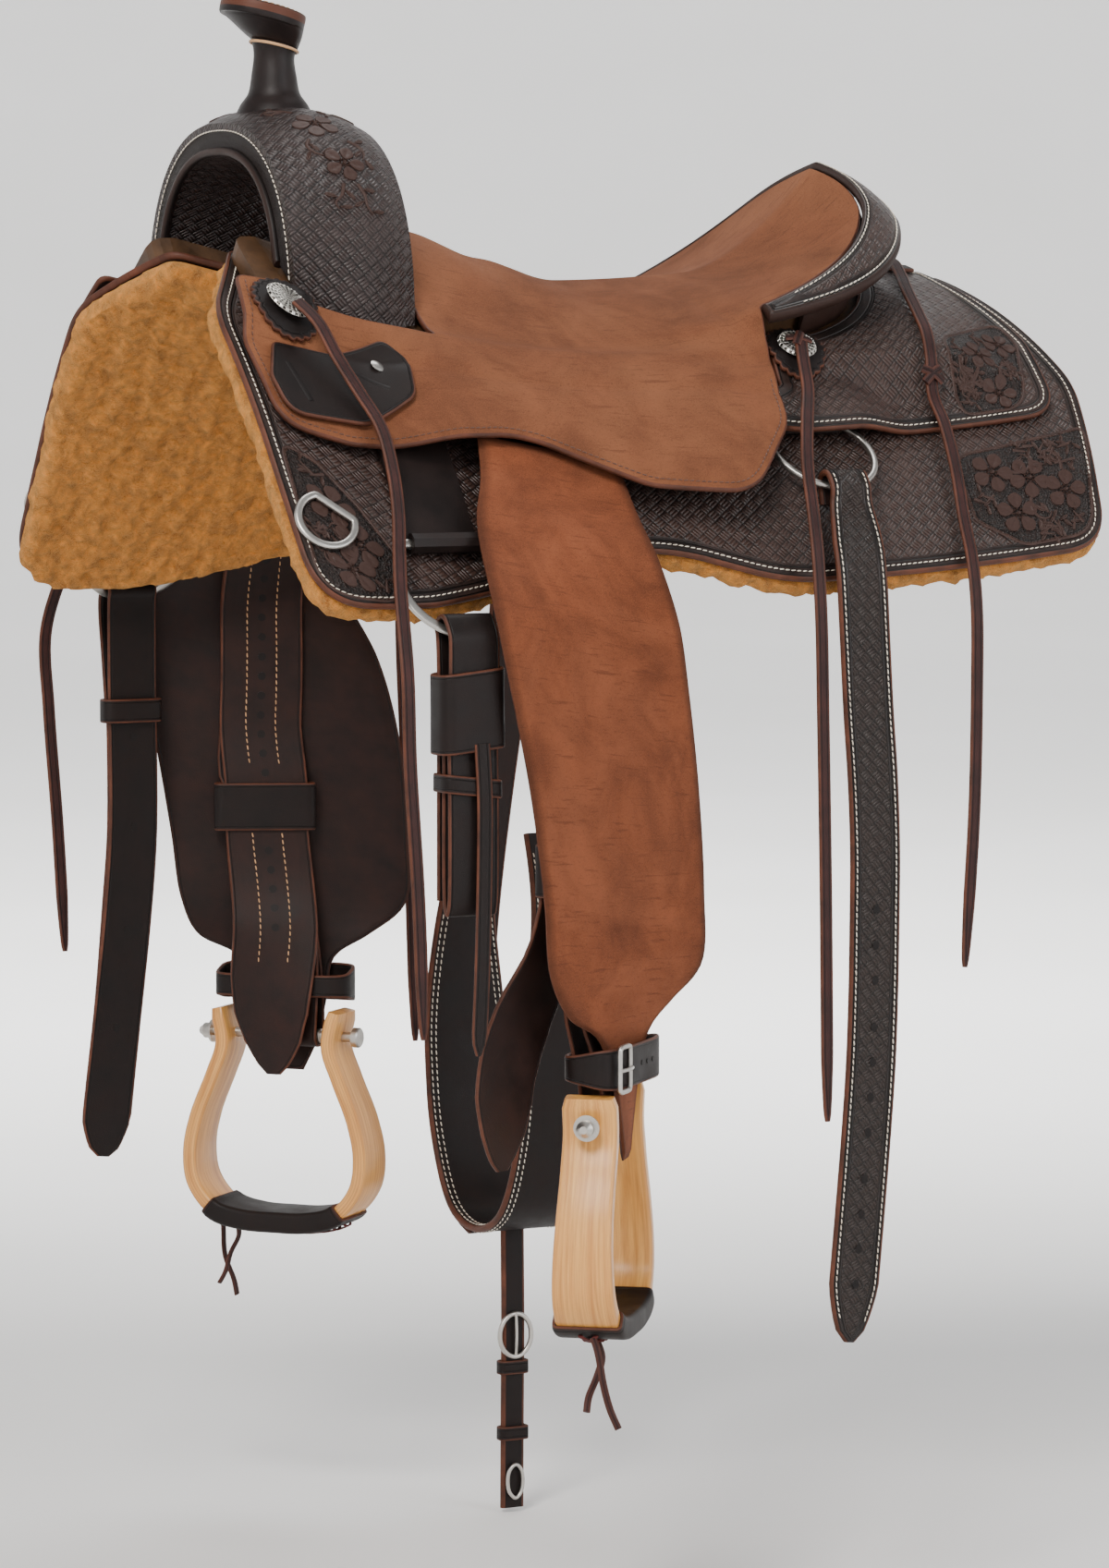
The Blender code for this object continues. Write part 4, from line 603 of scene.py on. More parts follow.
def stitch(centre, ahead, up, length, width):
    """One stitch: a short thread that dips at both ends."""
    across = np.cross(up, ahead)
    tips = [centre + ahead * length / 2 * sign - up * width * 0.3 for sign in (-1, 1)]
    verts = [tips[0]]
    for t, r in ((-0.36, 0.8), (0.0, 1.0), (0.36, 0.8)):
        verts += [centre + ahead * length * t + across * u + up * v for u, v in circle(6, width / 2 * r)]
    faces = [(0, 1 + (k + 1) % 6, 1 + k) for k in range(6)]
    faces += [(13 + k, 13 + (k + 1) % 6, 19) for k in range(6)]
    faces += [tuple(1 + i for i in face) for face in grid(3, 6, caps=False)]
    return verts + tips[1:], faces


def stitches(name, path, ups, mats, pitch=STITCH_PITCH, gap=0.02, **told):
    """Row of stitches along a path that has its outward directions, broken where the path jumps."""
    path, ups = np.asarray(path, float), np.asarray(ups, float)
    jumps = np.nonzero(np.linalg.norm(np.diff(path, axis=0), axis=1) > gap)[0] + 1
    chunks = []
    for line, up_line in zip(np.split(path, jumps), np.split(ups, jumps)):
        if len(line) < 3:
            continue
        run = run_along(line)
        want = np.arange(pitch / 2, run[-1], pitch)
        at, up, along = (looked_up(want, run, v) for v in (line, up_line, tangents(line)))
        for c, d, u in zip(at, unit(along), unit(up)):
            ahead = unit(d + np.cross(u, d) * STITCH_SLANT)
            chunks.append(stitch(c + u * STITCH_WIDTH * 0.30, ahead, u, STITCH_LENGTH, STITCH_WIDTH))
    return joined(name, chunks, mats, **told)


def inside_line(outline, away):
    """The outline moved inward, without the loops that tight corners would make."""
    loop = even(outline, 0.004, closed=True)
    line = loop - outward(loop) * away
    return line[distance(line, loop) > away * 0.97]


def opened(line):
    """A line that starts after its widest gap."""
    gaps = np.linalg.norm(np.diff(line, axis=0), axis=1)
    return np.roll(line, -(int(np.argmax(gaps)) + 1), 0)


def on_leather(line, high, side):
    """World points and outward directions on a draped piece's top."""
    y, s = line.T
    d = 0.002
    p = surface(y, s, high(y, s))
    dy = surface(y + d, s, high(y + d, s)) - surface(y - d, s, high(y - d, s))
    ds = surface(y, s + d, high(y, s + d)) - surface(y, s - d, high(y, s - d))
    n = unit(np.cross(dy, ds))
    return mirrored(side, p), mirrored(side, np.where(n[:, 2:] < 0, -n, n))


def disc(centre, wide, other, out, radius, stretch=1.0, count=12, side=1):
    """Disc of painted shade set in a face, standing in for a punched hole."""
    ring = [centre + wide * u + other * v for u, v in circle(count, radius, radius * stretch)]
    verts = [p - out * HOLE_SINK for p in ring] + [p + out * HOLE_PROUD for p in ring]
    return mirrored(side, np.array(verts)), grid(2, count)


# Finishes
def srgb(r, g, b, share=1.0):
    """Linear colour from screen values, each first times a share."""
    shown = [min(255, c * share) for c in (r, g, b)]
    return tuple(((c / 255 + 0.055) / 1.055) ** 2.4 if c > 10 else c / 255 / 12.92 for c in shown) + (1,)


class Finish:
    """One procedural material, its nodes made by short calls."""

    def __init__(self, name, source="UV"):
        self.mat = bpy.data.materials.new(name)
        self.mat.use_nodes = True
        self.tree = self.mat.node_tree
        self.shader = self.tree.nodes["Principled BSDF"]
        self.coord = self.tree.nodes.new("ShaderNodeTexCoord").outputs[source]

    def link(self, value, socket):
        if isinstance(value, bpy.types.NodeSocket):
            self.tree.links.new(value, socket)
        else:
            socket.default_value = value

    def node(self, kind, inputs=(), **settings):
        node = self.tree.nodes.new("ShaderNode" + kind)
        for key, value in settings.items():
            setattr(node, key, value)
        for key, value in dict(inputs).items():
            self.link(value, node.inputs[key])
        return node

    def calc(self, operation, *values):
        return self.node("Math", {i: v for i, v in enumerate(values)}, operation=operation).outputs[0]

    def add(self, a, b):
        return self.calc("ADD", a, b)

    def times(self, a, b):
        return self.calc("MULTIPLY", a, b)

    def near(self, value, place, reach):
        """0 where the value is at the place, 1 a reach away from it."""
        return self.span(self.calc("ABSOLUTE", self.calc("SUBTRACT", value, place)), 0.0, reach)

    def stretched(self, x, y, z=1.0, turn=0.0):
        return self.node("Mapping", {"Vector": self.coord, "Scale": (x, y, z),
                                     "Rotation": (0, 0, turn)}).outputs[0]

    def noise(self, scale, detail=4.0, rough=0.6, vector=None, warp=0.0):
        return self.node("TexNoise", {"Vector": vector or self.coord, "Scale": scale, "Detail": detail,
                                      "Roughness": rough, "Distortion": warp}).outputs["Fac"]

    def cells(self, scale, vector=None, feature="F1"):
        return self.node("TexVoronoi", {"Vector": vector or self.coord, "Scale": scale},
                         feature=feature).outputs["Distance"]

    def span(self, value, low, high, to_low=0.0, to_high=1.0):
        return self.node("MapRange", {"Value": value, "From Min": low, "From Max": high,
                                      "To Min": to_low, "To Max": to_high}).outputs[0]

    def mix(self, share, a, b):
        return self.node("Mix", {0: share, 6: a, 7: b}, data_type="RGBA").outputs[2]

    def attribute(self, name):
        return self.node("Attribute", (), attribute_name=name).outputs["Fac"]

    def bump(self, height, distance, strength=1.0, normal=None):
        inputs = {"Height": height, "Distance": distance, "Strength": strength}
        if normal:
            inputs["Normal"] = normal
        return self.node("Bump", inputs).outputs[0]

    def done(self, colour, roughness, normal, **values):
        for key, value in {"Base_Color": colour, "Roughness": roughness, "Normal": normal, **values}.items():
            self.link(value, self.shader.inputs[key.replace("_", " ")])
        return self.mat


def basket_height(f, cell):
    """Height of a basket stamp: short bars that change direction from cell to cell."""
    turned_uv = f.node("Mapping", {"Vector": f.coord, "Scale": (1 / cell, 1 / cell, 1),
                                   "Rotation": (0, 0, BASKET_TURN)}).outputs[0]
    u, v = f.node("SeparateXYZ", {0: turned_uv}).outputs[:2]
    fu, fv = f.calc("FRACT", u), f.calc("FRACT", v)
    parity = f.calc("PINGPONG", f.add(f.calc("FLOOR", u), f.calc("FLOOR", v)), 1.0)

    def bar(along, across):
        hump = f.calc("POWER", f.calc("SINE", f.times(along, math.pi)), 0.45)
        ribs = f.calc("ABSOLUTE", f.calc("SINE", f.times(across, 3 * math.pi)))
        return f.times(hump, f.calc("MULTIPLY_ADD", ribs, 0.45, 0.55))
    return f.add(f.times(bar(fu, fv), f.calc("SUBTRACT", 1.0, parity)), f.times(bar(fv, fu), parity))


def tooled(name, cell=0.0085, border=0.013, dark=(26, 18, 16), light=(56, 40, 35), stipple=False):
    """Dark oiled leather with a basket stamp inside a plain border and two creased lines; painted shade in
    the hollows, bars lighter from wear and painted highlight.
    """
    f = Finish(name)
    edge = f.attribute("edge")
    pattern = f.span(f.cells(520.0), 0.1, 0.7) if stipple else basket_height(f, cell)
    inner = f.span(edge, border, border + 0.0012)
    line = f.calc("MINIMUM", f.near(edge, border - 0.002, 0.0009), f.near(edge, 0.0032, 0.0007))
    height = f.add(f.times(pattern, inner), f.times(line, 0.75))
    worn = f.noise(26.0, 6.0, 0.65)
    # Painted shade in the stamp's recesses; the raised bars lighter, partly wear and partly painted
    # highlight.
    shade = f.mix(f.span(pattern, 0.15, 0.85), srgb(*dark, 0.55), srgb(*light))
    shade = f.mix(inner, srgb(*dark), shade)
    shade = f.mix(f.span(worn, 0.42, 0.74, 0.0, 0.5), shade, srgb(*light, 1.25))
    # Painted shade in the two creased lines.
    shade = f.mix(line, srgb(12, 8, 7), shade)
    shade = f.mix(f.span(edge, 0.0, 0.0028, 0.6, 0.0), shade, srgb(88, 52, 37))
    rough = f.span(f.add(worn, f.times(pattern, -0.25)), 0.2, 0.8, 0.36, 0.62)
    normal = f.bump(height, 0.0017, 1.0, f.bump(f.cells(1400.0), 0.00012, 0.5))
    return f.done(shade, rough, normal, Specular_IOR_Level=0.36, Coat_Weight=0.03, Coat_Roughness=0.3)


def plain_leather(name, face, edge_colour=(128, 78, 54), source="UV", gloss=0.42, crease=True, streak=0.35):
    """Strap leather: fine grain, creased edge lines, rubbed borders and darker handling marks."""
    f = Finish(name, source)
    cloud = f.noise(34.0, 6.0, 0.62)
    long_marks = f.noise(60.0, 5.0, 0.7, f.stretched(0.35, 2.2))
    shade = f.mix(f.span(cloud, 0.3, 0.72), srgb(*face, 0.68), srgb(*face, 1.22))
    shade = f.mix(f.span(long_marks, 0.52, 0.75, 0.0, streak), shade, srgb(*face, 0.5))
    height = f.add(f.times(f.cells(1700.0), 0.6), f.times(f.noise(900.0, 3.0, 0.7), 0.5))
    normal = f.bump(height, 0.00018, 0.65)
    if crease:
        edge = f.attribute("edge")
        line = f.near(edge, CREASE, 0.0006)
        shade = f.mix(line, srgb(*face, 0.4), shade)
        shade = f.mix(f.span(edge, 0.0, 0.0024, 0.65, 0.0), shade, srgb(*edge_colour))
        normal = f.bump(line, 0.0006, 0.8, normal)
    rough = f.span(cloud, 0.25, 0.75, gloss, gloss + 0.22)
    return f.done(shade, rough, normal, Specular_IOR_Level=0.22, Coat_Weight=0.02, Coat_Roughness=0.4)


def suede(name, base, dark, light, border=0.0):
    """Napped leather: short fibres, brushed clouds, darker rubs and a worn, pressed border."""
    f = Finish(name)
    edge = f.attribute("edge")
    cloud = f.noise(15.0, 7.0, 0.68, warp=0.6)
    blot = f.noise(6.0, 4.0, 0.6, warp=0.8)
    fibre = f.noise(1500.0, 2.0, 0.8, f.stretched(1.0, 0.55))
    speck = f.noise(420.0, 3.0, 0.75)
    scratch = f.noise(120.0, 3.0, 0.6, f.stretched(0.25, 2.6, turn=0.5), 0.4)
    shade = f.mix(f.span(cloud, 0.32, 0.70), srgb(*dark), srgb(*base))
    shade = f.mix(f.span(blot, 0.45, 0.70, 0.0, 0.55), shade, srgb(*light))
    shade = f.mix(f.span(scratch, 0.58, 0.68, 0.0, 0.62), shade, srgb(*dark))
    shade = f.mix(f.span(speck, 0.54, 0.72, 0.0, 0.50), shade, srgb(*dark, 0.55))
    shade = f.mix(f.span(fibre, 0.3, 0.7, 0.0, 0.22), shade, srgb(*light, 1.25))
    if border:
        shade = f.mix(f.span(edge, border, border * 0.25, 0.0, 0.55), shade, srgb(*dark, 0.62))
    height = f.add(f.times(fibre, 0.7), f.times(speck, 0.5))
    wrinkle = f.noise(44.0, 4.0, 0.55, f.stretched(1.0, 0.4), 0.5)
    normal = f.bump(height, 0.0005, 0.8, f.bump(wrinkle, 0.0018, 0.35))
    return f.done(shade, f.span(cloud, 0.2, 0.8, 0.96, 0.80), normal, Specular_IOR_Level=0.2,
                  Sheen_Weight=0.12, Sheen_Roughness=0.6, Sheen_Tint=srgb(*light))


def wool(name):
    """Shearling: tight locks, with painted shade in their depths and painted highlight on their tips."""
    f = Finish(name, "Object")
    drift = f.node("TexNoise", {"Vector": f.coord, "Scale": 95.0, "Detail": 3.0}).outputs["Color"]
    drift = f.node("VectorMath", {0: drift, 1: (0.010,) * 3}, operation="MULTIPLY").outputs[0]
    swirl = f.node("VectorMath", {0: f.coord, 1: drift}, operation="ADD").outputs[0]
    curl = f.calc("SUBTRACT", 1.0, f.cells(150.0, swirl, "SMOOTH_F1"))
    lock = f.add(f.times(f.noise(62.0, 5.0, 0.62, warp=1.3), 0.62), f.times(curl, 0.36))
    fine = f.noise(520.0, 4.0, 0.75, warp=1.8)
    # Painted shade where the locks are low, and painted highlight on their tops and fine fibres.
    shade = f.mix(f.span(lock, 0.36, 0.70), srgb(122, 56, 14), srgb(232, 142, 52))
    shade = f.mix(f.span(fine, 0.38, 0.72, 0.0, 0.6), shade, srgb(250, 188, 104))
    normal = f.bump(f.add(f.times(lock, 0.8), f.times(fine, 0.35)), 0.008, 1.0)
    return f.done(shade, f.span(lock, 0.2, 0.8, 0.9, 1.0), normal, Specular_IOR_Level=0.15,
                  Sheen_Weight=0.6, Sheen_Roughness=0.4, Sheen_Tint=srgb(250, 205, 140),
                  Subsurface_Weight=0.08, Subsurface_Radius=(0.006, 0.003, 0.0015))


def metal(name, shade=(196, 192, 186), rough=0.26, engraved=False):
    """Brushed steel, with rays and rings cut in it where it is engraved."""
    f = Finish(name, "Object")
    haze = f.noise(90.0, 5.0, 0.6)
    scuff = f.noise(900.0, 3.0, 0.75, f.stretched(1.0, 0.15))
    tone = f.mix(f.span(haze, 0.4, 0.72, 0.0, 0.4), srgb(*shade), srgb(*shade, 0.72))
    normal = f.bump(f.add(scuff, haze), 0.00012, 0.5)
    if engraved:
        f.coord = f.node("TexCoord").outputs["UV"]
        u, v = f.node("SeparateXYZ", {0: f.coord}).outputs[:2]
        ray = f.calc("SINE", f.times(f.calc("ARCTAN2", v, u), 20.0))
        length = f.node("VectorMath", {0: f.coord}, operation="LENGTH").outputs["Value"]
        rings = f.calc("SINE", f.times(length, 2400.0))
        cut = f.add(f.span(ray, -0.4, 0.4), f.times(f.span(rings, -0.5, 0.5), 0.5))
        tone = f.mix(f.span(cut, 0.0, 0.7), srgb(46, 42, 40), tone)
        normal = f.bump(cut, 0.0005, 0.9, normal)
    return f.done(tone, f.span(f.add(haze, scuff), 0.6, 1.4, rough, rough + 0.2), normal, Metallic=1.0)


def ash_wood(name):
    """Bent wood in laminations, varnished, with grain along each layer."""
    f = Finish(name)
    wall = f.add(f.attribute("edge"), STIRRUP_WOOD / 2)
    long_grain = f.noise(70.0, 6.0, 0.65, f.stretched(0.10, 2.6), 0.6)
    fine = f.noise(800.0, 3.0, 0.7, f.stretched(0.035, 1.0))
    layer = f.calc("FRACT", f.calc("MULTIPLY_ADD", wall, 420.0, 0.5))
    glue = f.span(f.calc("ABSOLUTE", f.calc("SUBTRACT", layer, 0.5)), 0.40, 0.5)
    shade = f.mix(f.span(long_grain, 0.3, 0.7), srgb(186, 118, 50), srgb(234, 174, 92))
    shade = f.mix(f.span(fine, 0.5, 0.75, 0.0, 0.35), shade, srgb(126, 78, 40))
    shade = f.mix(f.times(glue, 0.7), shade, srgb(110, 66, 32))
    normal = f.bump(f.add(long_grain, fine), 0.0003, 0.4)
    return f.done(shade, f.span(fine, 0.3, 0.7, 0.30, 0.48), normal, Coat_Weight=0.25, Coat_Roughness=0.25)


def thread(name, light, dark):
    f = Finish(name, "Object")
    twist = f.noise(2600.0, 2.0, 0.6)
    shade = f.mix(f.span(f.noise(40.0, 4.0, 0.7), 0.45, 0.75, 0.0, 0.6), srgb(*light), srgb(*dark))
    return f.done(shade, f.span(twist, 0.2, 0.8, 0.6, 0.85), f.bump(twist, 0.0002, 0.7), Sheen_Weight=0.2)


def floor_finish():
    """Pale floor that glows a little far out, so that it fades into its wall."""
    f = Finish("floor", "Object")
    haze = f.noise(1.3, 3.0, 0.5)
    shade = f.mix(f.span(haze, 0.3, 0.7), srgb(240, 239, 237), srgb(246, 245, 244))
    x, y = f.node("SeparateXYZ", {0: f.coord}).outputs[:2]
    reach = f.calc("POWER", f.add(f.times(x, x), f.times(y, y)), 0.5)
    return f.done(shade, f.span(haze, 0.2, 0.8, 0.85, 0.95), f.bump(f.noise(900.0, 2.0, 0.6), 0.0004, 0.15),
                  Emission_Color=srgb(250, 249, 248), Emission_Strength=f.span(reach, 2.0, 13.0, 0.0, 0.62))


BASKET = tooled("basket_leather")
BASKET_SMALL = tooled("basket_leather_small", 0.0065, 0.007)
SWELL = tooled("swell_leather", 0.0085, 0.010, (20, 15, 15), (48, 37, 35))
GROUND = tooled("stamped_ground", border=0.0, dark=(16, 11, 10), light=(34, 24, 21), stipple=True)
CARVED = plain_leather("carved_leather", (58, 41, 36), (88, 58, 45), crease=False, streak=0.2)
EDGE = plain_leather("edge_leather", (82, 47, 34), crease=False)
STRAP = plain_leather("strap_leather", (21, 12, 10), (72, 41, 30))
DARK_STRAP = plain_leather("dark_strap_leather", (20, 13, 12), (54, 34, 27))
FRAME_LEATHER = plain_leather("frame_leather", (24, 15, 13), source="Object", crease=False)
LINING = plain_leather("lining_leather", (34, 18, 14), (66, 38, 28))
GROUND_SEAT = plain_leather("ground_seat_leather", (40, 24, 18), source="Object", crease=False)
BILLET = tooled("billet_leather", 0.0075, 0.0085, (17, 11, 10), (37, 26, 22))
BURGUNDY = plain_leather("burgundy_lace", (70, 22, 22), (96, 40, 34), gloss=0.5)
LACE = plain_leather("saddle_string", (52, 29, 27), (88, 50, 38), gloss=0.5)
HORN = plain_leather("horn_leather", (27, 19, 18), (60, 36, 27), source="Object", crease=False, gloss=0.34)
SEAT = suede("seat_suede", (112, 66, 42), (72, 40, 25), (134, 87, 59))
FENDER = suede("fender_suede", (116, 62, 36), (66, 33, 19), (142, 84, 56), 0.010)
WOOL = wool("shearling")
RAWHIDE = plain_leather("rawhide", (74, 52, 34), (96, 70, 46), source="Object", crease=False, gloss=0.4)
STEEL = metal("stainless")
ENGRAVED = metal("engraved_concho", (206, 202, 194), 0.24, engraved=True)
WOOD = ash_wood("bent_ash")
WHITE_THREAD = thread("white_thread", (226, 216, 198), (150, 118, 92))
BROWN_THREAD = thread("brown_thread", (84, 50, 32), (56, 32, 20))
TAN_THREAD = thread("tan_thread", (196, 150, 104), (120, 80, 54))
# Painted shade: dark leather colour standing in for the inside of punched holes and slots.
HOLE_SHADE = plain_leather("punched_hole_shade", (18, 12, 11), source="Object", crease=False)
LEATHER_SLOTS = [BASKET, EDGE, LINING]
STRAP_MATS = [STRAP, EDGE, STRAP]


# Camera, light and floor
CAMERA_PLACE = (4.188, -2.206, 0.0436)
CAMERA_AZIMUTH = math.radians(62)
CAMERA_DOWN = math.radians(4.75)
CAMERA_LENS = 134.7
CAMERA_SENSOR = 36
# Name, place, target, size, power, tint
LAMPS = (("key", (2.6, -2.6, 2.9), (0, 0, -0.2), 1.7, 205, (1.0, 0.97, 0.93)),
         ("fill", (3.6, 1.6, 1.0), (0, 0, -0.3), 2.4, 52, (0.93, 0.96, 1.0)),
         ("top", (-0.8, 0.6, 3.0), (0, 0, 0), 2.0, 48, (1.0, 1.0, 1.0)),
         ("backdrop", (-2.4, 1.3, 2.8), (-7.4, 3.9, 0.2), 3.0, 620, (1.0, 1.0, 1.0)))
WORLD_COLOUR = (0.93, 0.94, 0.96, 1)
WORLD_STRENGTH = 0.36
FLOOR_GAP = 0.004
FLOOR_AROUND = 96
# Radius of the floor and its rise there
FLOOR = ((6.0, 0.0), (12.0, 0.0), (17.0, 0.0), (20.5, 0.6), (23.5, 2.4), (25.5, 5.5), (26.5, 9.5),
         (27.0, 14.0))


def turned_to(obj, direction):
    obj.rotation_euler = Vector(direction).to_track_quat("-Z", "Y").to_euler()


def stage():
    camera = put("camera", bpy.data.cameras.new("camera"))
    camera.location = CAMERA_PLACE
    turned_to(camera, (-math.sin(CAMERA_AZIMUTH) * math.cos(CAMERA_DOWN),
                       math.cos(CAMERA_AZIMUTH) * math.cos(CAMERA_DOWN), -math.sin(CAMERA_DOWN)))
    camera.data.lens = CAMERA_LENS
    camera.data.sensor_width = CAMERA_SENSOR
    bpy.context.scene.camera = camera
    for name, spot, target, size, power, tint in LAMPS:
        lamp = bpy.data.lights.new(name, "AREA")
        lamp.shape = "DISK"
        lamp.size = size
        lamp.energy = power
        lamp.color = tint
        obj = put(name, lamp)
        obj.location = spot
        turned_to(obj, Vector(target) - Vector(spot))
        obj.visible_camera = False
    world = bpy.data.worlds.new("studio")
    world.use_nodes = True
    background = world.node_tree.nodes["Background"].inputs
    background[0].default_value = WORLD_COLOUR
    background[1].default_value = WORLD_STRENGTH
    bpy.context.scene.world = world
    mesh = bpy.data.meshes.new("floor")
    low = CAD_BOX[0][2] - FLOOR_GAP
    verts = [(x, y, low + rise) for radius, rise in FLOOR for x, y in circle(FLOOR_AROUND, radius).tolist()]
    faces = [face[::-1] for face in grid(len(FLOOR), FLOOR_AROUND, caps=False)]
    mesh.from_pydata(verts, [], faces + [tuple(range(FLOOR_AROUND))])
    mesh.materials.append(floor_finish())
    mesh.shade_smooth()
    put("floor", mesh)


# Skirts and fleece
def skirt_outline():
    return rounded([
        (SKIRT_FRONT_Y + 0.100, SKIRT_TOP, 0.0), (SKIRT_FRONT_Y + 0.050, SKIRT_TOP + 0.020, 0.03),
        (SKIRT_FRONT_Y, SKIRT_TOP + 0.130, 0.10), (SKIRT_FRONT_Y + 0.010, SKIRT_FRONT_DROP + 0.002, 0.045),
        (SKIRT_FRONT_Y + 0.110, SKIRT_FRONT_DROP - 0.032, 0.10), (-0.040, SKIRT_MIDDLE_DROP - 0.006, 0.20),
        (0.080, SKIRT_REAR_DROP, 0.20), (SKIRT_REAR_Y - 0.026, SKIRT_REAR_DROP, 0.045),
        (SKIRT_REAR_Y + 0.004, 0.200, 0.12), (SKIRT_REAR_Y - 0.020, 0.050, 0.04),
        (SKIRT_REAR_Y - 0.026, 0.008, 0.0), (0.300, 0.008, 0.0), (0.240, SKIRT_TOP, 0.0)], 12)


def lumps(p, scale, seed):
    """Sum of a few waves that never line up: a cheap soft noise."""
    rng = np.random.default_rng(seed)
    total = np.zeros(len(p))
    for k in range(9):
        d = unit(rng.normal(size=3)) * scale * (0.6 + 1.5 * rng.random())
        total += np.sin(p @ d + rng.random() * 6.28)
    return total / 4.5


def fluff(side):
    """Wool that swells past the leather's edge, in locks."""
    def shape(verts, uv, count, base):
        under = np.arange(len(verts)) >= base
        rim = (np.arange(len(verts)) >= count) & ~under
        out = (lumps(verts, 260, 3) + 0.6 * lumps(verts, 520, 5))[:, None]
        up = unit(mirrored(side, surface(*uv.T, 0.01) - surface(*uv.T)))
        verts = verts - np.where(under[:, None], up * (0.0026 * out + 0.0010), 0.0)
        away = verts - (0.0, 0.02, 0.0)
        sideways = unit(away - up * (away * up).sum(-1, keepdims=True))
        return verts + np.where(rim[:, None], sideways * (0.0022 + 0.0024 * out), 0.0)
    return shape


def skirts():
    outline = skirt_outline()
    top = flat(0.0)
    wool_top = -SKIRT_THICK - 0.0006
    for side, word, near in SIDES:
        drape(f"skirt_{word}_leather", outline, flat(-SKIRT_THICK), top, LEATHER_SLOTS, side, lip=0.0025,
              stands_for=f"skirt_{word}", slot="tooled_leather")
        drape(f"fleece_{word}_wool", outline, flat(wool_top - FLEECE_THICK), flat(wool_top), [WOOL] * 3, side,
              lip=0.005, after=fluff(side), stands_for=f"fleece_{word}", slot="fleece")
        line = inside_line(outline, SKIRT_SEAM)
        line = opened(line[(line[:, 1] > 0.075) | (line[:, 0] > 0.30)])
        stitches(f"skirt_{word}_stitches", *on_leather(line, top, side), [WHITE_THREAD])


# Carved motifs
def petal(centre, toward, length, width, high, side, rise=0.0011, notch=0.0):
    """Raised leaf or petal, from its root towards its tip, sunk a little into the leather."""
    toward = unit(toward)
    across = np.array((-toward[1], toward[0]))
    middle = centre + toward * length * 0.5
    verts = []
    for share, h in ((1.0, -CARVING_SINK), (0.96, 0.75 * rise), (0.78, rise), (0.34, 0.45 * rise)):
        for cosine, sine in circle(12):
            along = 0.5 - 0.5 * cosine
            wide = sine * (0.42 + 0.62 * along) * (1 - 0.5 * along ** 5)
            here = middle + toward * length * (along - 0.5) * share + across * width / 2 * wide * share
            verts.append((*here, h - notch * rise * (abs(wide) < 0.2) * (share < 0.9)))
    verts.append((*middle, 0.25 * rise))
    faces = grid(4, 12, caps=False) + [(36 + k, 36 + (k + 1) % 12, 48) for k in range(12)]
    return on_pattern(verts, high, side), faces + [tuple(reversed(range(12)))]


def on_pattern(verts, high, side):
    """World points over a surface's pattern; side can also be a function that lays them itself."""
    v = np.asarray(verts, float)
    return side(v) if callable(side) else mirrored(side, surface(*v.T[:2], high(*v.T[:2]) + v[:, 2]))


def scroll(points, width, high, side, rise=0.0010, taper=True):
    """Raised stem along a curve in the pattern."""
    path = spline([(*p, 0.0) for p in points], max(8, 5 * len(points)))
    profile = ((1.0, -CARVING_SINK), (0.75, rise * 0.7), (0.0, rise), (-0.75, rise * 0.7),
               (-1.0, -CARVING_SINK))
    verts = []
    for i, (p, d) in enumerate(zip(path, tangents(path))):
        w = width / 2 * (1 - 0.75 * (i / (len(path) - 1)) ** 2 if taper else 1.0)
        verts += [(p[0] - d[1] * w * u, p[1] + d[0] * w * u, h) for u, h in profile]
    return on_pattern(verts, high, side), grid(len(path), 5)


def flower(centre, radius, high, side, turn=0.0):
    chunks = []
    for k in range(5):
        a = turn + 2 * math.pi * k / 5
        d = np.array((math.cos(a), math.sin(a)))
        chunks.append(petal(centre + d * radius * 0.22, d, radius * 0.80, radius * 0.98, high, side, 0.0013,
                            0.35))
    for d in circle(8):
        chunks.append(petal(centre + d * radius * 0.15, d, radius * 0.13, radius * 0.12, high, side, 0.0015))
    heart = radius * 0.26
    return chunks + [petal(np.subtract(centre, (heart / 2, 0)), (1, 0), heart, heart, high, side, 0.0019)]


def sprig(start, points, width, high, side, leaves=3, leaf=0.014):
    """Stem with a curled end and leaves on alternate sides."""
    path = [start] + [np.add(start, p) for p in points]
    fine = spline([(*p, 0.0) for p in path], 40)[:, :2]
    d = unit(np.gradient(fine, axis=0))
    chunks = [scroll(path, width, high, side)]
    for k in range(leaves):
        i = int(8 + 28 * k / (leaves - 1))
        across = np.array((-d[i, 1], d[i, 0])) * (1 if k % 2 else -1)
        chunks.append(petal(fine[i] + across * width * 0.4, d[i] * 0.6 + across, leaf, leaf * 0.46, high,
                            side, 0.0011, 0.5))
    return chunks


def panel(name, outline, motifs, high, side):
    """Carved field: a stamped ground a little below the motifs, with a raised line round it."""
    told = {"slot": "tooled_leather"}
    top = raised(high, 0.00018)
    drape(f"{name}_ground", outline, raised(high, -0.0006), top, [GROUND] * 3, side, step=0.004, lip=0.0006,
          **told)
    chunks = []
    for centre, radius, turn in motifs[0]:
        chunks += flower(centre, radius, high, side, turn)
    for start, points, width, leaves, leaf in motifs[1]:
        chunks += sprig(start, points, width, high, side, leaves, leaf)
    joined(f"{name}_carving", chunks, [CARVED], sharp=60, **told)
    p, n = on_leather(even(outline, 0.004, closed=True), top, side)
    sweep(f"{name}_border", p, np.cross(tangents(p, True), n), strap_ring(0.0022, 0.0014, 3), [CARVED],
          closed=True, **told)


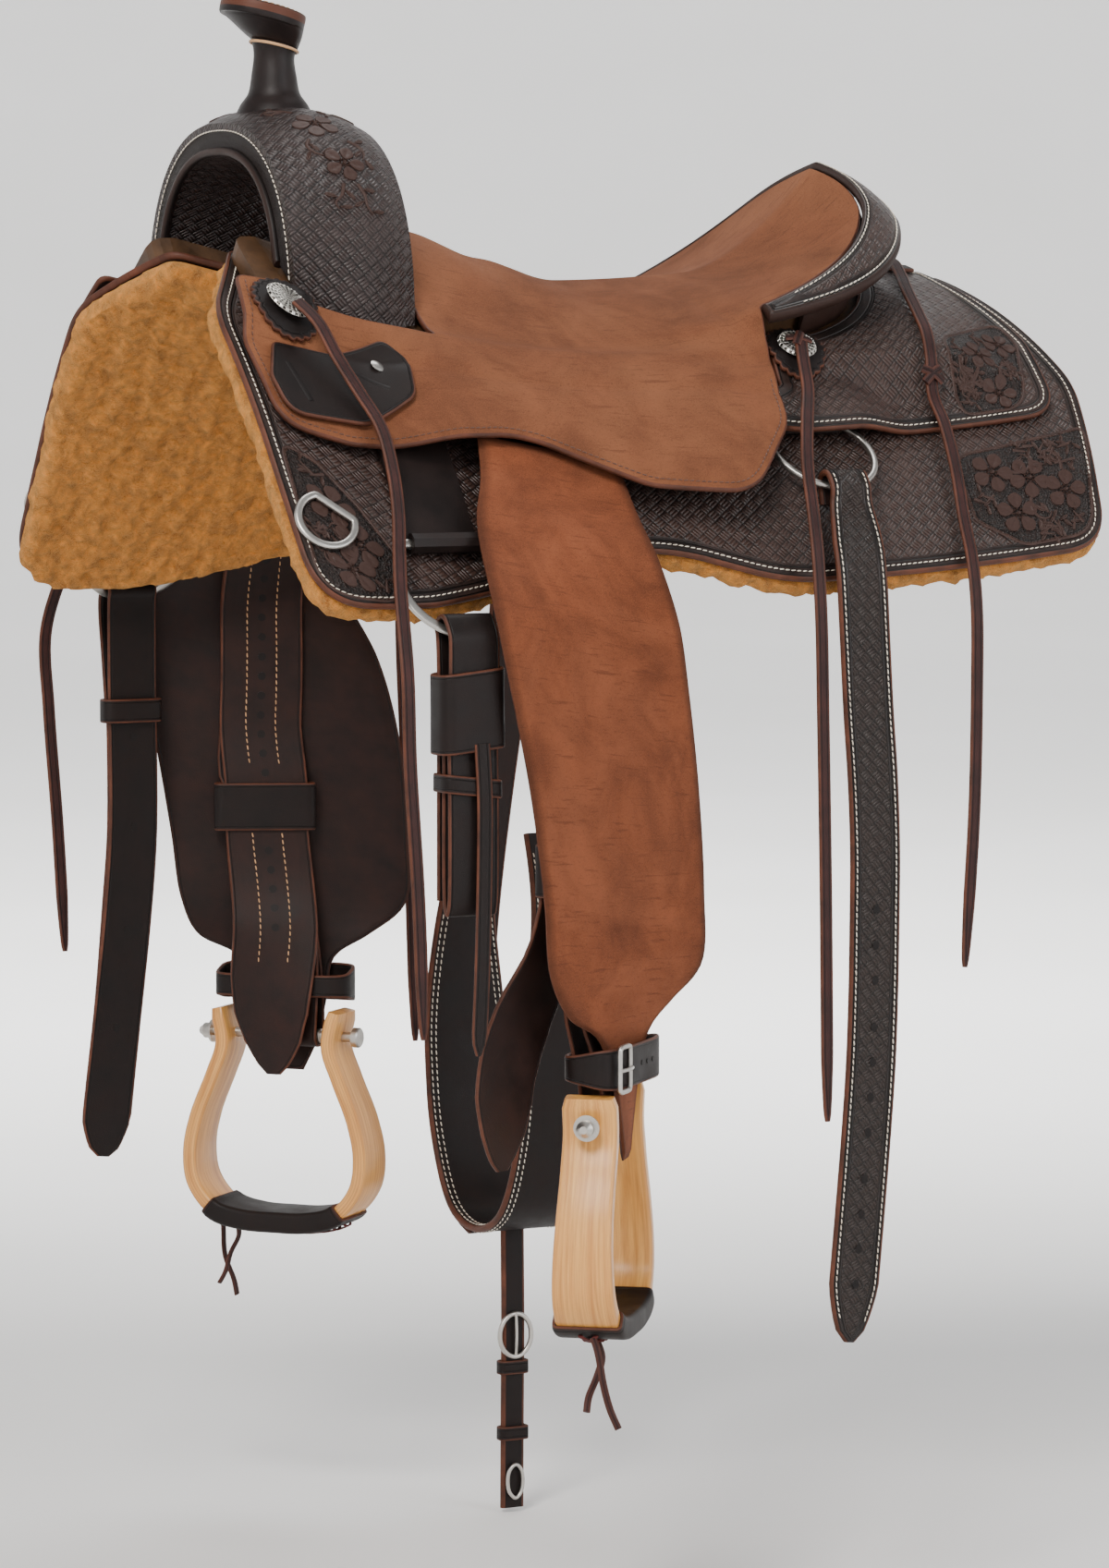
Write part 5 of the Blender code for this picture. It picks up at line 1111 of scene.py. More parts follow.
def floral(outline, count, seed, radius=0.019):
    """Flowers spread in an outline, with curled sprigs between them."""
    rng = np.random.default_rng(seed)
    loop = even(outline, 0.004, closed=True)
    lo, hi = loop.min(0), loop.max(0)
    centres = []

    def fits(points, border, spot, gap):
        return (inside(points, loop).all() and distance(points, loop).min() > border
                and all(np.linalg.norm(spot - o) > gap for o in centres))
    for tries in range(1, 4001):
        if len(centres) == count:
            break
        c = lo + (hi - lo) * rng.random(2)
        if fits(c[None], radius * 1.12, c, radius * 2.6 * (1 - tries / 6000)):
            centres.append(c)
    flowers = [(c, radius, rng.random() * 6.28) for c in centres]
    sprigs = []
    for c in centres:
        for k in range(4):
            a = 2 * math.pi * (k + rng.random() * 0.4) / 4
            bend = 1.0 if rng.random() < 0.5 else -1.0
            path, here, heading = [], np.zeros(2), a
            for step in range(5):
                here = here + radius * 1.5 / 4 * np.array((math.cos(heading), math.sin(heading)))
                path.append(here)
                heading += bend * (0.35 + 0.22 * step)
            start = c + radius * 0.98 * np.array((math.cos(a), math.sin(a)))
            every = np.vstack([[start], start + path])
            if fits(every, 0.006, every[-1], radius * 1.05):
                sprigs.append((start, path, 0.0036, 3, radius * 0.62))
    for k in range(160):
        c = lo + (hi - lo) * rng.random(2)
        a = rng.random() * 6.28
        tip = radius * 0.7 * np.array((math.cos(a), math.sin(a)))
        if fits(np.stack([c, c + tip]), 0.004, c + tip / 2, radius * 1.28):
            sprigs.append((c, [tip * 0.5, tip], 0.0030, 2, radius * 0.5))
    return flowers, sprigs


def carved_panels():
    front = rounded([(-0.326, 0.292, 0.02), (-0.326, 0.424, 0.03), (-0.268, 0.412, 0.02),
                     (-0.252, 0.372, 0.02), (-0.276, 0.330, 0.03), (-0.300, 0.300, 0.01)], 8)
    rear = rounded([(0.262, 0.256, 0.02), (0.262, 0.318, 0.01), (0.300, 0.346, 0.02), (0.366, 0.344, 0.03),
                    (0.390, 0.262, 0.05), (0.392, 0.246, 0.01)], 8)
    jockey = rounded([(0.292, 0.150, 0.02), (0.286, 0.222, 0.01), (0.345, 0.222, 0.03), (0.372, 0.150, 0.03),
                      (0.368, 0.118, 0.02)], 8)
    for side, word, near in SIDES:
        panel(f"skirt_front_panel_{word}", front, floral(front, 3, 4), flat(0.0), side)
        panel(f"skirt_rear_panel_{word}", rear, floral(rear, 4, 9), flat(0.0), side)
        panel(f"jockey_panel_{word}", jockey, floral(jockey, 3, 12, 0.016), jockey_top, side)


# Seat and cantle
def seat_outline():
    jockey = rounded([
        (SEAT_FRONT_Y, 0.10, 0.0), (SEAT_FRONT_Y, JOCKEY_TOP, 0.0), (FORK_FRONT_Y - 0.006, JOCKEY_TOP, 0.0),
        (FORK_FRONT_Y - 0.010, JOCKEY_TOP - 0.020, 0.0), (JOCKEY_FRONT_Y + 0.010, JOCKEY_TOP - 0.020, 0.012),
        (JOCKEY_FRONT_Y, JOCKEY_TOP + 0.050, 0.03), (JOCKEY_FRONT_Y + 0.008, JOCKEY_DROP - 0.004, 0.025),
        (JOCKEY_FRONT_Y + 0.060, JOCKEY_DROP, 0.04), (SEAT_LEG_Y - 0.146, SEAT_WAIST_DROP - 0.004, 0.08),
        (SEAT_LEG_Y - 0.050, SEAT_LEG_DROP - 0.004, 0.06), (SEAT_LEG_Y + 0.040, SEAT_LEG_DROP + 0.003, 0.05),
        (SEAT_LEG_Y + 0.098, 0.232, 0.05), (SEAT_LEG_Y + 0.1085, 0.180, 0.0)], 10)
    rim = np.array([cantle_place(ROLL_END * (1 - k / 36), 0.995) for k in range(37)])
    half = np.vstack([jockey, rim])
    return half, np.vstack([half, (half * (1, -1))[::-1][1:]])


def seat():
    half, outline = seat_outline()
    obj = drape("seat_padded", outline, raised(seat_height, -LEATHER), seat_height, [SEAT, EDGE, LINING],
                step=0.0055, lip=0.0020, stands_for="seat", slot="suede")
    line = inside_line(half, SEAT_SEAM)
    line = line[(line[:, 1] > 0.185) | (line[:, 0] < FORK_FRONT_Y)]
    line = opened(line[line[:, 1] > 0.146])
    for side, word, near in SIDES:
        stitches(f"seat_{word}_stitches", *on_leather(line, seat_height, side), [BROWN_THREAD])


def cantle_line(turns, inset):
    """Points round the cantle, a distance in from the roll's outer edge."""
    widths = [ROLL_WIDTH * (0.12 + 0.88 * max(0.0, math.cos(turn)) ** 0.5) for turn in turns]
    return [cantle_place(turn, 1 + (width - inset) / CANTLE_DEPTH) for turn, width in zip(turns, widths)]


def cantle():
    mats, told = [BASKET_SMALL, DARK_STRAP, LINING], {"slot": "tooled_leather"}
    turns = [ROLL_END * k / 60 for k in range(-60, 61)]
    outline = cantle_line(turns, 0.0) + [cantle_place(turn, 1.0) for turn in reversed(turns)]
    drape("cantle_roll_leather", outline, roll_low, roll_top, mats, step=0.0035, stands_for="cantle_roll",
          **told)
    inner = [cantle_place(turn, 1 + 0.0042 / CANTLE_DEPTH) for turn in turns[6:-6]]
    for name, line in (("inner", inner), ("outer", cantle_line(turns[6:-6], 0.0050))):
        stitches(f"cantle_{name}_stitches", *on_leather(np.array(line), roll_top, 1), [WHITE_THREAD])
    arc = [math.radians(70 * k / 40) for k in range(-40, 41)]
    back = [cantle_place(turn, 1.030) for turn in arc] + [cantle_place(turn, 1.001) for turn in reversed(arc)]
    drape("cantle_back_leather", back, raised(support, 0.0012),
          lambda y, s: np.maximum(support(y, s) + 0.003, roll_low(y, s) - 0.0062), mats, step=0.003,
          stands_for="cantle_back", **told)


def dress(node, mat):
    """A carried-over piece keeps its shape and gets its finish."""
    obj = frame["nodes"][node]
    for row in obj.material_slots:
        row.material = mat


def rear_jockeys():
    arc = [cantle_place(math.radians(4 + 70 * k / 28), 1.06) for k in range(29)]
    outline = np.array([(y, max(s, 0.003)) for y, s in arc] + [tuple(p) for p in rounded([
        (0.129, 0.150, 0.0), (0.129, 0.180, 0.0), (0.098, 0.196, 0.0),
        (0.098, REAR_JOCKEY_DROP - 0.006, 0.01), (0.130, REAR_JOCKEY_DROP, 0.02),
        (REAR_JOCKEY_Y - 0.006, REAR_JOCKEY_DROP, 0.035),
        (REAR_JOCKEY_Y + 0.002, 0.150, 0.06), (REAR_JOCKEY_Y - 0.014, 0.040, 0.03),
        (REAR_JOCKEY_Y - 0.018, 0.003, 0.0)], 10)])
    for side, word, near in SIDES:
        drape(f"rear_jockey_{word}_leather", outline, rear_jockey_height, jockey_top, LEATHER_SLOTS, side,
              step=0.0045, stands_for=f"rear_jockey_{word}", slot="tooled_leather")
        line = inside_line(outline, JOCKEY_SEAM)
        line = line[(line[:, 1] > 0.19) | (line[:, 0] > 0.335) & (line[:, 1] > 0.012)]
        stitches(f"rear_jockey_{word}_stitches", *on_leather(line, jockey_top, side), [WHITE_THREAD])
    tab = rounded([(0.312, -0.022, 0.008), (0.352, -0.016, 0.006), (0.352, 0.016, 0.006),
                   (0.312, 0.022, 0.008)], 6)
    drape("jockey_connector_leather", tab, raised(jockey_top, 0.0008), raised(jockey_top, 0.0038), STRAP_MATS,
          step=0.003, lip=0.001, stands_for="jockey_connector", slot="strap_leather")


# Trim
def scalloped(centre, radius, count=SCALLOPS, depth=0.10, per=8):
    a = np.linspace(0, 2 * math.pi, count * per, endpoint=False)
    r = radius * (1 - depth * (1 - abs(np.sin(a * count / 2)) ** 0.7))
    return np.stack([centre[0] + r * np.cos(a), centre[1] + r * np.sin(a)], -1)


def dots(name, centre, radius, count, size, rise, high, side, mat, slot):
    """Ring of small round marks on the pattern."""
    chunks = [petal(c + centre - (size / 2, 0), (1, 0), size, size, high, side, rise)
              for c in circle(count, radius)]
    joined(name, chunks, [mat], slot=slot)


def dome_piece(name, centre, radius, base, height, mat, side, rings=12, around=56, **told):
    """Low dome on the pattern, with a rounded rim and a flat underside, its UV centred."""
    shares = [i / rings for i in range(1, rings + 1)]
    uv = np.vstack([np.zeros((1, 2))] + [circle(around, radius * share) for share in shares + [0.97]])
    rise = np.repeat([height(share) for share in shares] + [0.0], around)
    verts = surface(*(uv + centre).T, base(*centre) + np.concatenate([[height(0.0)], rise]))
    faces = [(0, 1 + (k + 1) % around, 1 + k) for k in range(around)]
    faces += [tuple(1 + i for i in face) for face in grid(rings + 1, around)[:rings * around]]
    faces.append(tuple(1 + rings * around + k for k in range(around)))
    make(name, mirrored(side, verts), faces, [mat], uv=uv, edge=np.full(len(verts), 0.02), slot="steel",
         **told)


def concho_height(share):
    bead = 0.00055 if 0.80 < share < 0.93 else 0.0
    return CONCHO_THICK * (1 - 0.52 * share ** 2) * (1 if share < 0.97 else 0.55) + bead


def trim():
    for where, centre, base in (("front", FRONT_ROSETTE, front_trim_base),
                                ("rear", REAR_ROSETTE, rear_trim_base)):
        top, steel = raised(base, ROSETTE_THICK), raised(base, ROSETTE_THICK + CONCHO_GAP)
        for side, word, near in SIDES:
            name = f"{where}_{word}"
            drape(f"rosette_{name}_leather", scalloped(centre, ROSETTE_RADIUS), base, top,
                  [DARK_STRAP, EDGE, DARK_STRAP], side, step=0.003, lip=0.0008, stands_for=f"rosette_{name}",
                  slot="strap_leather")
            # Painted shade: dark marks standing in for the rosette's punched holes.
            dots(f"rosette_{name}_holes", centre, ROSETTE_RADIUS * 0.80, SCALLOPS, 0.0018, 0.0003, top, side,
                 HOLE_SHADE, "strap_leather")
            dome_piece(f"concho_{name}_steel", centre, CONCHO_RADIUS, steel, concho_height, ENGRAVED, side,
                       stands_for=f"concho_{name}")
            dots(f"concho_{name}_beads", centre, CONCHO_RADIUS * 0.88, 34, 0.0022, 0.0008,
                 flat(steel(*centre) + CONCHO_THICK * 0.56), side, STEEL, "steel")
            if where == "rear" or side < 0:
                knot(name, centre, top(*centre) + CONCHO_THICK + 0.0024, side)
    keeper = rounded([(-0.312, 0.202, 0.010), (-0.324, 0.240, 0.02), (-0.318, 0.272, 0.02),
                      (-0.258, 0.266, 0.03), (-0.212, 0.232, 0.02), (-0.206, 0.198, 0.015),
                      (-0.222, 0.180, 0.010), (-0.266, 0.200, 0.02)], 10)
    keeper_top = raised(front_trim_base, 0.0049)
    drape("latigo_keeper_leather", keeper, raised(front_trim_base, 0.0009), keeper_top, STRAP_MATS,
          step=0.003, lip=0.0016, stands_for="latigo_keeper", slot="strap_leather")
    # Painted shade: dark strips standing in for the keeper's slots.
    slots = []
    for ends in (((-0.306, 0.222), (-0.298, 0.256)), ((-0.258, 0.212), (-0.230, 0.226))):
        slots.append(scroll([ends[0], np.mean(ends, axis=0), ends[1]], 0.0052, keeper_top, 1, 0.00025, False))
    joined("latigo_keeper_slots", slots, [HOLE_SHADE], slot="strap_leather")
    dome_piece("latigo_keeper_screw", (-0.232, 0.204), 0.0052, keeper_top,
               lambda share: 0.0022 * (1 - 0.6 * share ** 2), STEEL, 1, 6, 24)


def knot(name, centre, top, side):
    """Saddle string knot on a concho: two short wraps."""
    out = surface(*centre, 0.01) - surface(*centre)
    for n, ends in enumerate((((-0.010, -0.003), (0.010, 0.003)), ((-0.006, 0.007), (0.005, -0.007)))):
        a, b = np.add(ends, centre)
        points = [surface(*(a + (b - a) * t), top + 0.0020 * math.sin(math.pi * t) + 0.0014 * n)
                  for t in np.linspace(0, 1, 7)]
        cord(f"knot_{name}_{n}", points, 0.0035, [LACE], side=side, flatten=0.42,
             wide=np.cross(out, points[-1] - points[0]), slot="strap_leather")


# Swell and horn
def fork_section(turn, inset, per=5):
    """Fine section of the fork at an angle from the top, offset outward by a negative inset."""
    sine = abs(math.sin(turn)) ** 0.85
    sign = 1.0 if turn >= 0 else -1.0
    cosine = max(0.0, math.cos(turn))
    outer = np.array((sign * FORK_HALF_WIDTH * sine, FORK_FOOT_Z + (FORK_TOP_Z - FORK_FOOT_Z)
                      * cosine ** 0.8))
    inner = np.array((sign * GULLET_HALF_WIDTH * sine, FORK_FOOT_Z + (GULLET_TOP_Z - FORK_FOOT_Z)
                      * cosine ** 0.7))
    way = unit(outer - inner)
    length = float(np.linalg.norm(outer - inner))
    front, rear, crown = FORK_FRONT_Y, FORK_REAR_Y, SWELL_CROWN
    corners = [(0.0, front), (0.0, rear), (length * 0.45, rear), (length - crown, rear),
               (length - crown * 0.35, rear - 0.018), (length, (front + rear) / 2),
               (length - crown * 0.35, front + 0.018), (length - crown, front), (length * 0.45, front)]
    c = np.array(corners)
    back = unit(c - np.roll(c, 1, 0))
    ahead = unit(np.roll(c, -1, 0) - c)
    mitre = np.stack([back[:, 1] + ahead[:, 1], -(back[:, 0] + ahead[:, 0])], -1)
    dots = np.clip((back * ahead).sum(-1), -1, 1)
    mitre = unit(mitre) / np.maximum(0.5, np.cos(np.arccos(dots) / 2))[:, None]
    c = c + mitre * inset
    fine = refine([c[3] * 2 - c[4], *c[3:8], c[7] * 2 - c[6]], per)[0][per:-per]
    loop = np.array([c[0], (c[0] + c[1]) / 2, c[1], c[2], *fine, c[8]])
    return np.stack([inner[0] + way[0] * loop[:, 0], loop[:, 1], inner[1] + way[1] * loop[:, 0]], -1)


def swell():
    steps = 44
    rings = np.array([fork_section(math.radians(90) * k / steps, -COVER) for k in range(-steps, steps + 1)])
    low = rings[[0, -1]] - (0, 0, 0.03)
    rings = np.concatenate([low[:1], rings, low[1:]])
    ss = np.linspace(0.03, 0.24, 400)
    for ring in rings:
        for point in ring:
            line = surface(point[1], ss, support(point[1], ss) + 0.0030)
            point[2] = max(point[2], np.interp(abs(point[0]), line[:, 0], line[:, 2]))
    n, m = rings.shape[:2]
    uv = np.stack(np.meshgrid(run_along(rings[:, m // 2]), run_along(rings[n // 2]), indexing="ij"), -1)
    make("swell_cover_leather", rings.reshape(-1, 3), grid(n, m), [SWELL, EDGE, LINING], uv=uv.reshape(-1, 2),
         edge=np.full(n * m, 0.03), stands_for="swell_cover", slot="tooled_leather", sharp=38)
    # Rolled lips and a stitched seam along the gullet and the swell's rear
    for name, y_shift, corner in (("front_lip", -0.0010, 0), ("rear_lip", 0.0010, 2)):
        path = rings[2:-2, corner] + (0, y_shift, 0)
        cord(f"swell_{name}", path[::3], 0.0036, [DARK_STRAP], k=3, sides=10, slot="tooled_leather",
             wide=(0, 1, 0.001))
    seam = rings[5:-5, -1] - (0, 0.0002, 0)
    stitches("swell_seam_stitches", seam, np.full(seam.shape, (0, -1, 0)), [WHITE_THREAD])
    swell_carving(rings)


def swell_carving(rings):
    """Flowers over the swell's crown, on each side of the horn."""
    top = rings[:, 4:-1]
    n, w = top.shape[:2]
    normal = unit(np.cross(np.gradient(top, axis=0), np.gradient(top, axis=1)))
    if normal[..., 2].sum() < 0:
        normal = -normal
    run, wide = run_along(top[:, w // 2]), run_along(top[n // 2])
    run -= run[-1] / 2
    wide -= wide[-1] / 2

    def lay(v):
        i = np.clip(np.interp(v[:, 0], run, np.arange(n)), 0, n - 1.001)
        j = np.clip(np.interp(v[:, 1], wide, np.arange(w)), 0, w - 1.001)
        a, b = i.astype(int), j.astype(int)
        fa, fb = (i - a)[:, None], (j - b)[:, None]

        def take(of):
            return ((of[a, b] * (1 - fa) + of[a + 1, b] * fa) * (1 - fb)
                    + (of[a, b + 1] * (1 - fa) + of[a + 1, b + 1] * fa) * fb)
        return take(top) + unit(take(normal)) * v[:, 2:]
    chunks = []
    for sign in (1, -1):
        for u, v, r, turn in ((0.078, 0.004, 0.019, 0.3), (0.128, -0.002, 0.017, 1.1)):
            chunks += flower((sign * u, v), r, flat(0.0), lay, turn)
        for start, path in (((0.052, 0.012), [(-0.010, 0.006), (-0.016, 0.016), (-0.010, 0.022)]),
                            ((0.100, 0.018), [(0.008, 0.004), (0.016, 0.000), (0.020, -0.006)]),
                            ((0.102, -0.014), [(0.006, -0.008), (0.014, -0.010), (0.022, -0.006)]),
                            ((0.060, -0.014), [(-0.008, -0.006), (-0.014, -0.014), (-0.006, -0.020)]),
                            ((0.148, 0.004), [(0.010, 0.004), (0.016, 0.010), (0.022, 0.008)]),
                            ((0.148, -0.008), [(0.010, -0.004), (0.018, -0.004), (0.026, -0.008)])):
            chunks += sprig((sign * start[0], start[1]), [(sign * a, b) for a, b in path], 0.0034,
                            flat(0.0), lay, 3, 0.011)
    joined("swell_carving", chunks, [CARVED], slot="tooled_leather", sharp=60)


def cap_point(x, y, z):
    """World point from one on the tilted cap."""
    c, s = math.cos(HORN_CAP_TILT), math.sin(HORN_CAP_TILT)
    return (x, HORN_Y + y * c + z * s, HORN_CAP_Z + 0.0003 - y * s + z * c)


def horn():
    base = FORK_TOP_Z - 0.004
    shape = [(HORN_BASE_RADIUS, base), (HORN_BASE_RADIUS * 0.86, FORK_TOP_Z + 0.005),
             (HORN_NECK_RADIUS + 0.0045, FORK_TOP_Z + 0.014), (HORN_NECK_RADIUS + 0.0018, FORK_TOP_Z + 0.028),
             (HORN_NECK_RADIUS, HORN_CAP_Z - 0.010), (HORN_NECK_RADIUS + 0.0015, HORN_CAP_Z)]
    fine = refine(shape, 7)[0]
    slope = math.tan(HORN_CAP_TILT) * np.clip((fine[:, 1] - base) / (HORN_CAP_Z - base), 0, 1) ** 3
    verts = [(x, HORN_Y + y, z - y * t) for (r, z), t in zip(fine, slope) for x, y in circle(48, r)]
    make("horn_neck_leather", verts, grid(len(fine), 48), [HORN], stands_for="horn_neck",
         slot="tooled_leather")
    rim, thick = HORN_CAP_DEPTH - HORN_CAP_THICK, HORN_CAP_THICK
    levels = refine([(0.56, 0.0, 0.0), (0.68, 0.25, 0.24 * rim), (0.82, 0.55, 0.55 * rim),
                     (0.94, 0.85, 0.84 * rim), (1.0, 1.0, rim + 0.2 * thick), (1.0, 1.0, rim + 0.6 * thick),
                     (0.93, 1.0, rim + 0.86 * thick), (0.70, 1.0, HORN_CAP_DEPTH)], 5)[0]
    half_wide, half_long = HORN_CAP_WIDTH / 2, HORN_CAP_LENGTH / 2
    verts, kinds = [], []
    for share, shift, z in levels:
        ring = circle(72, share * half_wide, share * half_long)
        verts += [cap_point(x, y + shift * HORN_CAP_SHIFT, z) for x, y in ring]
        kinds += [int(rim + 0.1 * thick < z < rim + 0.62 * thick)] * 72
    kinds[-72:] = [0, 0]
    make("horn_cap_leather", verts, grid(len(levels), 72), [HORN, EDGE], kinds, stands_for="horn_cap",
         slot="tooled_leather", sharp=60)
    turns = np.linspace(0, 2 * math.pi, 121)
    line = [cap_point(0.93 * half_wide * math.cos(a), 0.93 * half_long * math.sin(a) + HORN_CAP_SHIFT,
                      rim + 0.87 * thick) for a in turns]
    stitches("horn_cap_stitches", line, [(0.35 * math.cos(a), 0.35 * math.sin(a), 1.0) for a in turns],
             [TAN_THREAD])
    collar = [(x, HORN_Y + y, HORN_CAP_Z - 0.0022 - y * math.tan(HORN_CAP_TILT))
              for x, y in circle(24, HORN_NECK_RADIUS * 1.16)]
    cord("horn_collar", collar, 0.0012, [TAN_THREAD], closed=True, wide=(0.05, 0.1, 1))


# Rigging
def dee_frame(place, height, lean=0.0, spin=0.0):
    """Middle of a dee's bar, and its directions along the bar, down and outward."""
    y, s = place
    centre = surface(y, s, height)
    down = rotate(unit(surface(y, s + 0.02, height) - centre), (0.0, 1.0, 0.0), -lean)
    along = np.array((0.0, 1.0, 0.0))
    out = unit(np.cross(down, along))
    out = -out if out[0] < 0 else out
    c, s = math.cos(spin), math.sin(spin)
    return centre, along * c - down * s, down * c + along * s, out


def rotate(v, axis, angle):
    v, axis = np.asarray(v, float), unit(axis)
    return (v * math.cos(angle) + np.cross(axis, v) * math.sin(angle)
            + axis * (v @ axis) * (1 - math.cos(angle)))


def dee(name, place, radius, band, thick, height, side, body, lean=0.0, spin=0.0):
    """Dee with its straight bar and a rounded wire of the band's width."""
    start = math.asin(DEE_CHORD)
    centre, along, down, out = dee_frame(place, height, lean, spin)
    r = radius - band / 2
    line = [(r * math.sin(a), max(radius * math.cos(start) - r * math.cos(a), band / 2))
            for a in start + (2 * math.pi - 2 * start) * np.arange(61) / 60]
    first, last = line[0][0], line[-1][0]
    line += [(last + (first - last) * k / 12, band / 2) for k in range(1, 12)]
    line = even(line, count=96, closed=True)
    path = centre + along * line[:, :1] + down * (line[:, 1:] - band / 2)
    ring = [squared(a, band / 2, thick / 2, 0.7, 0.7) for a in 2 * math.pi * np.arange(14) / 14]
    sweep(f"{name}_steel", path, np.cross(out, tangents(path, True)), ring, [STEEL], closed=True, side=side,
          body=body, slot="steel", stands_for=name, sharp=70)


def squared(turn, wide, high, power, other):
    """Point of a rounded rectangle at a turn."""
    c, s = math.cos(turn), math.sin(turn)
    return (wide * math.copysign(abs(c) ** power, c), high * math.copysign(abs(s) ** other, s))


def dee_rim(place, height, lean, radius, band):
    centre, _, down, _ = dee_frame(place, height, lean)
    return centre + down * (radius * (1 + math.sqrt(1 - DEE_CHORD ** 2)) - band)


def rigging():
    for side, word, near in SIDES:
        dee(f"front_dee_{word}", FRONT_DEE, FRONT_DEE_RADIUS, DEE_BAND, 0.004, FRONT_DEE_HEIGHT, side,
            "saddle")
        dee(f"rear_dee_{word}", REAR_DEE, REAR_DEE_RADIUS, REAR_DEE_WIRE, REAR_DEE_WIRE, REAR_DEE_HEIGHT,
            side, f"{near}_rear_dee", lean=REAR_DEE_LEAN)
        dee(f"breast_dee_{word}", BREAST_DEE, 0.0255, 0.006, 0.0045, BREAST_DEE_HEIGHT, side,
            f"{near}_breast_dee", spin=BREAST_DEE_SPIN)
        dress(f"rigging_{word}", FRAME_LEATHER)
        dress(f"rear_rigging_{word}", FRAME_LEATHER)
    dress("tree", RAWHIDE)
    dress("ground_seat", GROUND_SEAT)


# Fenders and stirrup leathers
FENDER_HEIGHT = 0.019
FENDER_TURN = math.radians(24)
TURN_START = -0.47
TONGUE_OUT = 0.0150
# Share of a move across the leather that runs along Y
ACROSS_Y = 0.914
PLY_GAP = 0.0012
LINING_GAP = 0.0035
BOLT_RADIUS = 0.0066
FENDER_FRONT = [(0.3345, -0.207, -0.195), (0.343, -0.200, -0.245), (0.341, -0.182, -0.325),
                (0.337, -0.168, -0.410), (0.333, -0.161, -0.465), (0.333, -0.146, -0.496)]
FENDER_REAR = [(0.292, -0.028, -0.205), (0.268, -0.006, -0.262), (0.256, 0.009, -0.335),
               (0.254, 0.015, -0.415), (0.254, 0.013, -0.470), (0.262, -0.018, -0.496)]
TONGUE = [(-0.516, 0.041), (-0.545, 0.034), (-0.585, 0.024), (-0.612, 0.011)]
INSIDE_FENDER = [(-0.30, 0.0038), (-0.19, 0.0052), (-0.13, 0.0046)]
LEATHER_SHIFT = {1: [(-0.58, 0.0), (-0.50, 0.010), (-0.385, 0.036), (-0.28, 0.026)],
                 -1: [(-0.58, 0.0), (-0.385, 0.014), (-0.28, 0.012)]}
TONGUE_SHIFT = {1: [(-0.600, 0.100), (-0.545, 0.094), (-0.50, 0.072), (-0.45, 0.052), (-0.385, 0.036)],
                -1: [(-0.600, 0.000), (-0.50, 0.006), (-0.385, 0.014)]}


def hanging_frame(z):
    share = smooth((z - TURN_START) / (BOLT[2] - TURN_START)) if z < TURN_START else 0.0
    turn = FENDER_TURN + (STIRRUP_TURN - FENDER_TURN) * share
    return (np.array((BOLT[0], BOLT[1], z)), np.array((math.sin(turn), -math.cos(turn), 0.0)),
            np.array((math.cos(turn), math.sin(turn), 0.0)))


def fender_edges(rows):
    front = [surface(-0.166, 0.250, FENDER_HEIGHT), surface(-0.176, 0.290, FENDER_HEIGHT),
             surface(-0.193, 0.335, 0.0225), *FENDER_FRONT]
    rear = [surface(-0.052, 0.260, FENDER_HEIGHT), surface(-0.050, 0.308, FENDER_HEIGHT),
            surface(-0.046, 0.352, 0.0225), *FENDER_REAR]
    for z, half in TONGUE:
        centre, across, out = hanging_frame(z)
        front.append(centre + across * half + out * TONGUE_OUT)
        rear.append(centre - across * half + out * TONGUE_OUT)
    return spline(front, rows), spline(rear, rows)


def fenders():
    rows, wide = 96, 30
    front, rear = fender_edges(rows)
    t = np.linspace(0, 1, wide + 1)
    inner = front[:, None] * (1 - t[None, :, None]) + rear[:, None] * t[None, :, None]
    out = unit(np.cross(np.gradient(inner, axis=1), np.gradient(inner, axis=0)))
    out = np.where(out[..., :1] < 0, -out, out)
    width = np.linalg.norm(front - rear, axis=1)
    along = run_along(inner[:, wide // 2])
    from_side = np.minimum(t[None] * width[:, None], (1 - t[None]) * width[:, None])
    from_end = np.minimum(along, along[-1] - along)[:, None]
    edge = np.minimum(from_side, from_end)
    round_off = 1 - np.sqrt(1 - (1 - np.clip(edge / 0.0022, 0, 1)) ** 2)
    wave = 0.0006 * lumps(inner.reshape(-1, 3), 60, 8).reshape(edge.shape) * np.clip(edge / 0.03, 0, 1)
    thick = FENDER_THICK
    top = inner + out * (thick - thick * 0.45 * round_off + wave)[..., None]
    low = inner + out * (thick * 0.30 * round_off)[..., None]
    n, m = edge.shape
    verts = np.concatenate([top.reshape(-1, 3), low.reshape(-1, 3)])
    uv = np.stack([(t[None] - 0.5) * width[:, None], np.tile(along[:, None], (1, m))], -1).reshape(-1, 2)
    uv = np.vstack([uv, uv])
    top_faces = [(a, a + 1, a + m + 1, a + m) for a in range((n - 1) * m) if (a + 1) % m]
    faces = top_faces + [tuple(n * m + k for k in reversed(face)) for face in top_faces]
    rim = list(range(m)) + [i * m + m - 1 for i in range(1, n)]
    rim += [(n - 1) * m + k for k in range(m - 2, -1, -1)] + [i * m for i in range(n - 2, 0, -1)]
    faces += [(a, b, b + n * m, a + n * m) for a, b in zip(rim, rim[1:] + rim[:1])]
    kinds = [0] * len(top_faces) + [2] * len(top_faces) + [1] * len(rim)
    for side, word, near in SIDES:
        make(f"fender_{word}_leather", mirrored(side, verts), faces, [FENDER, EDGE, LINING], kinds, uv,
             np.tile(edge.ravel(), 2), body=f"{near}_fender", stands_for=f"fender_{word}", slot="suede")


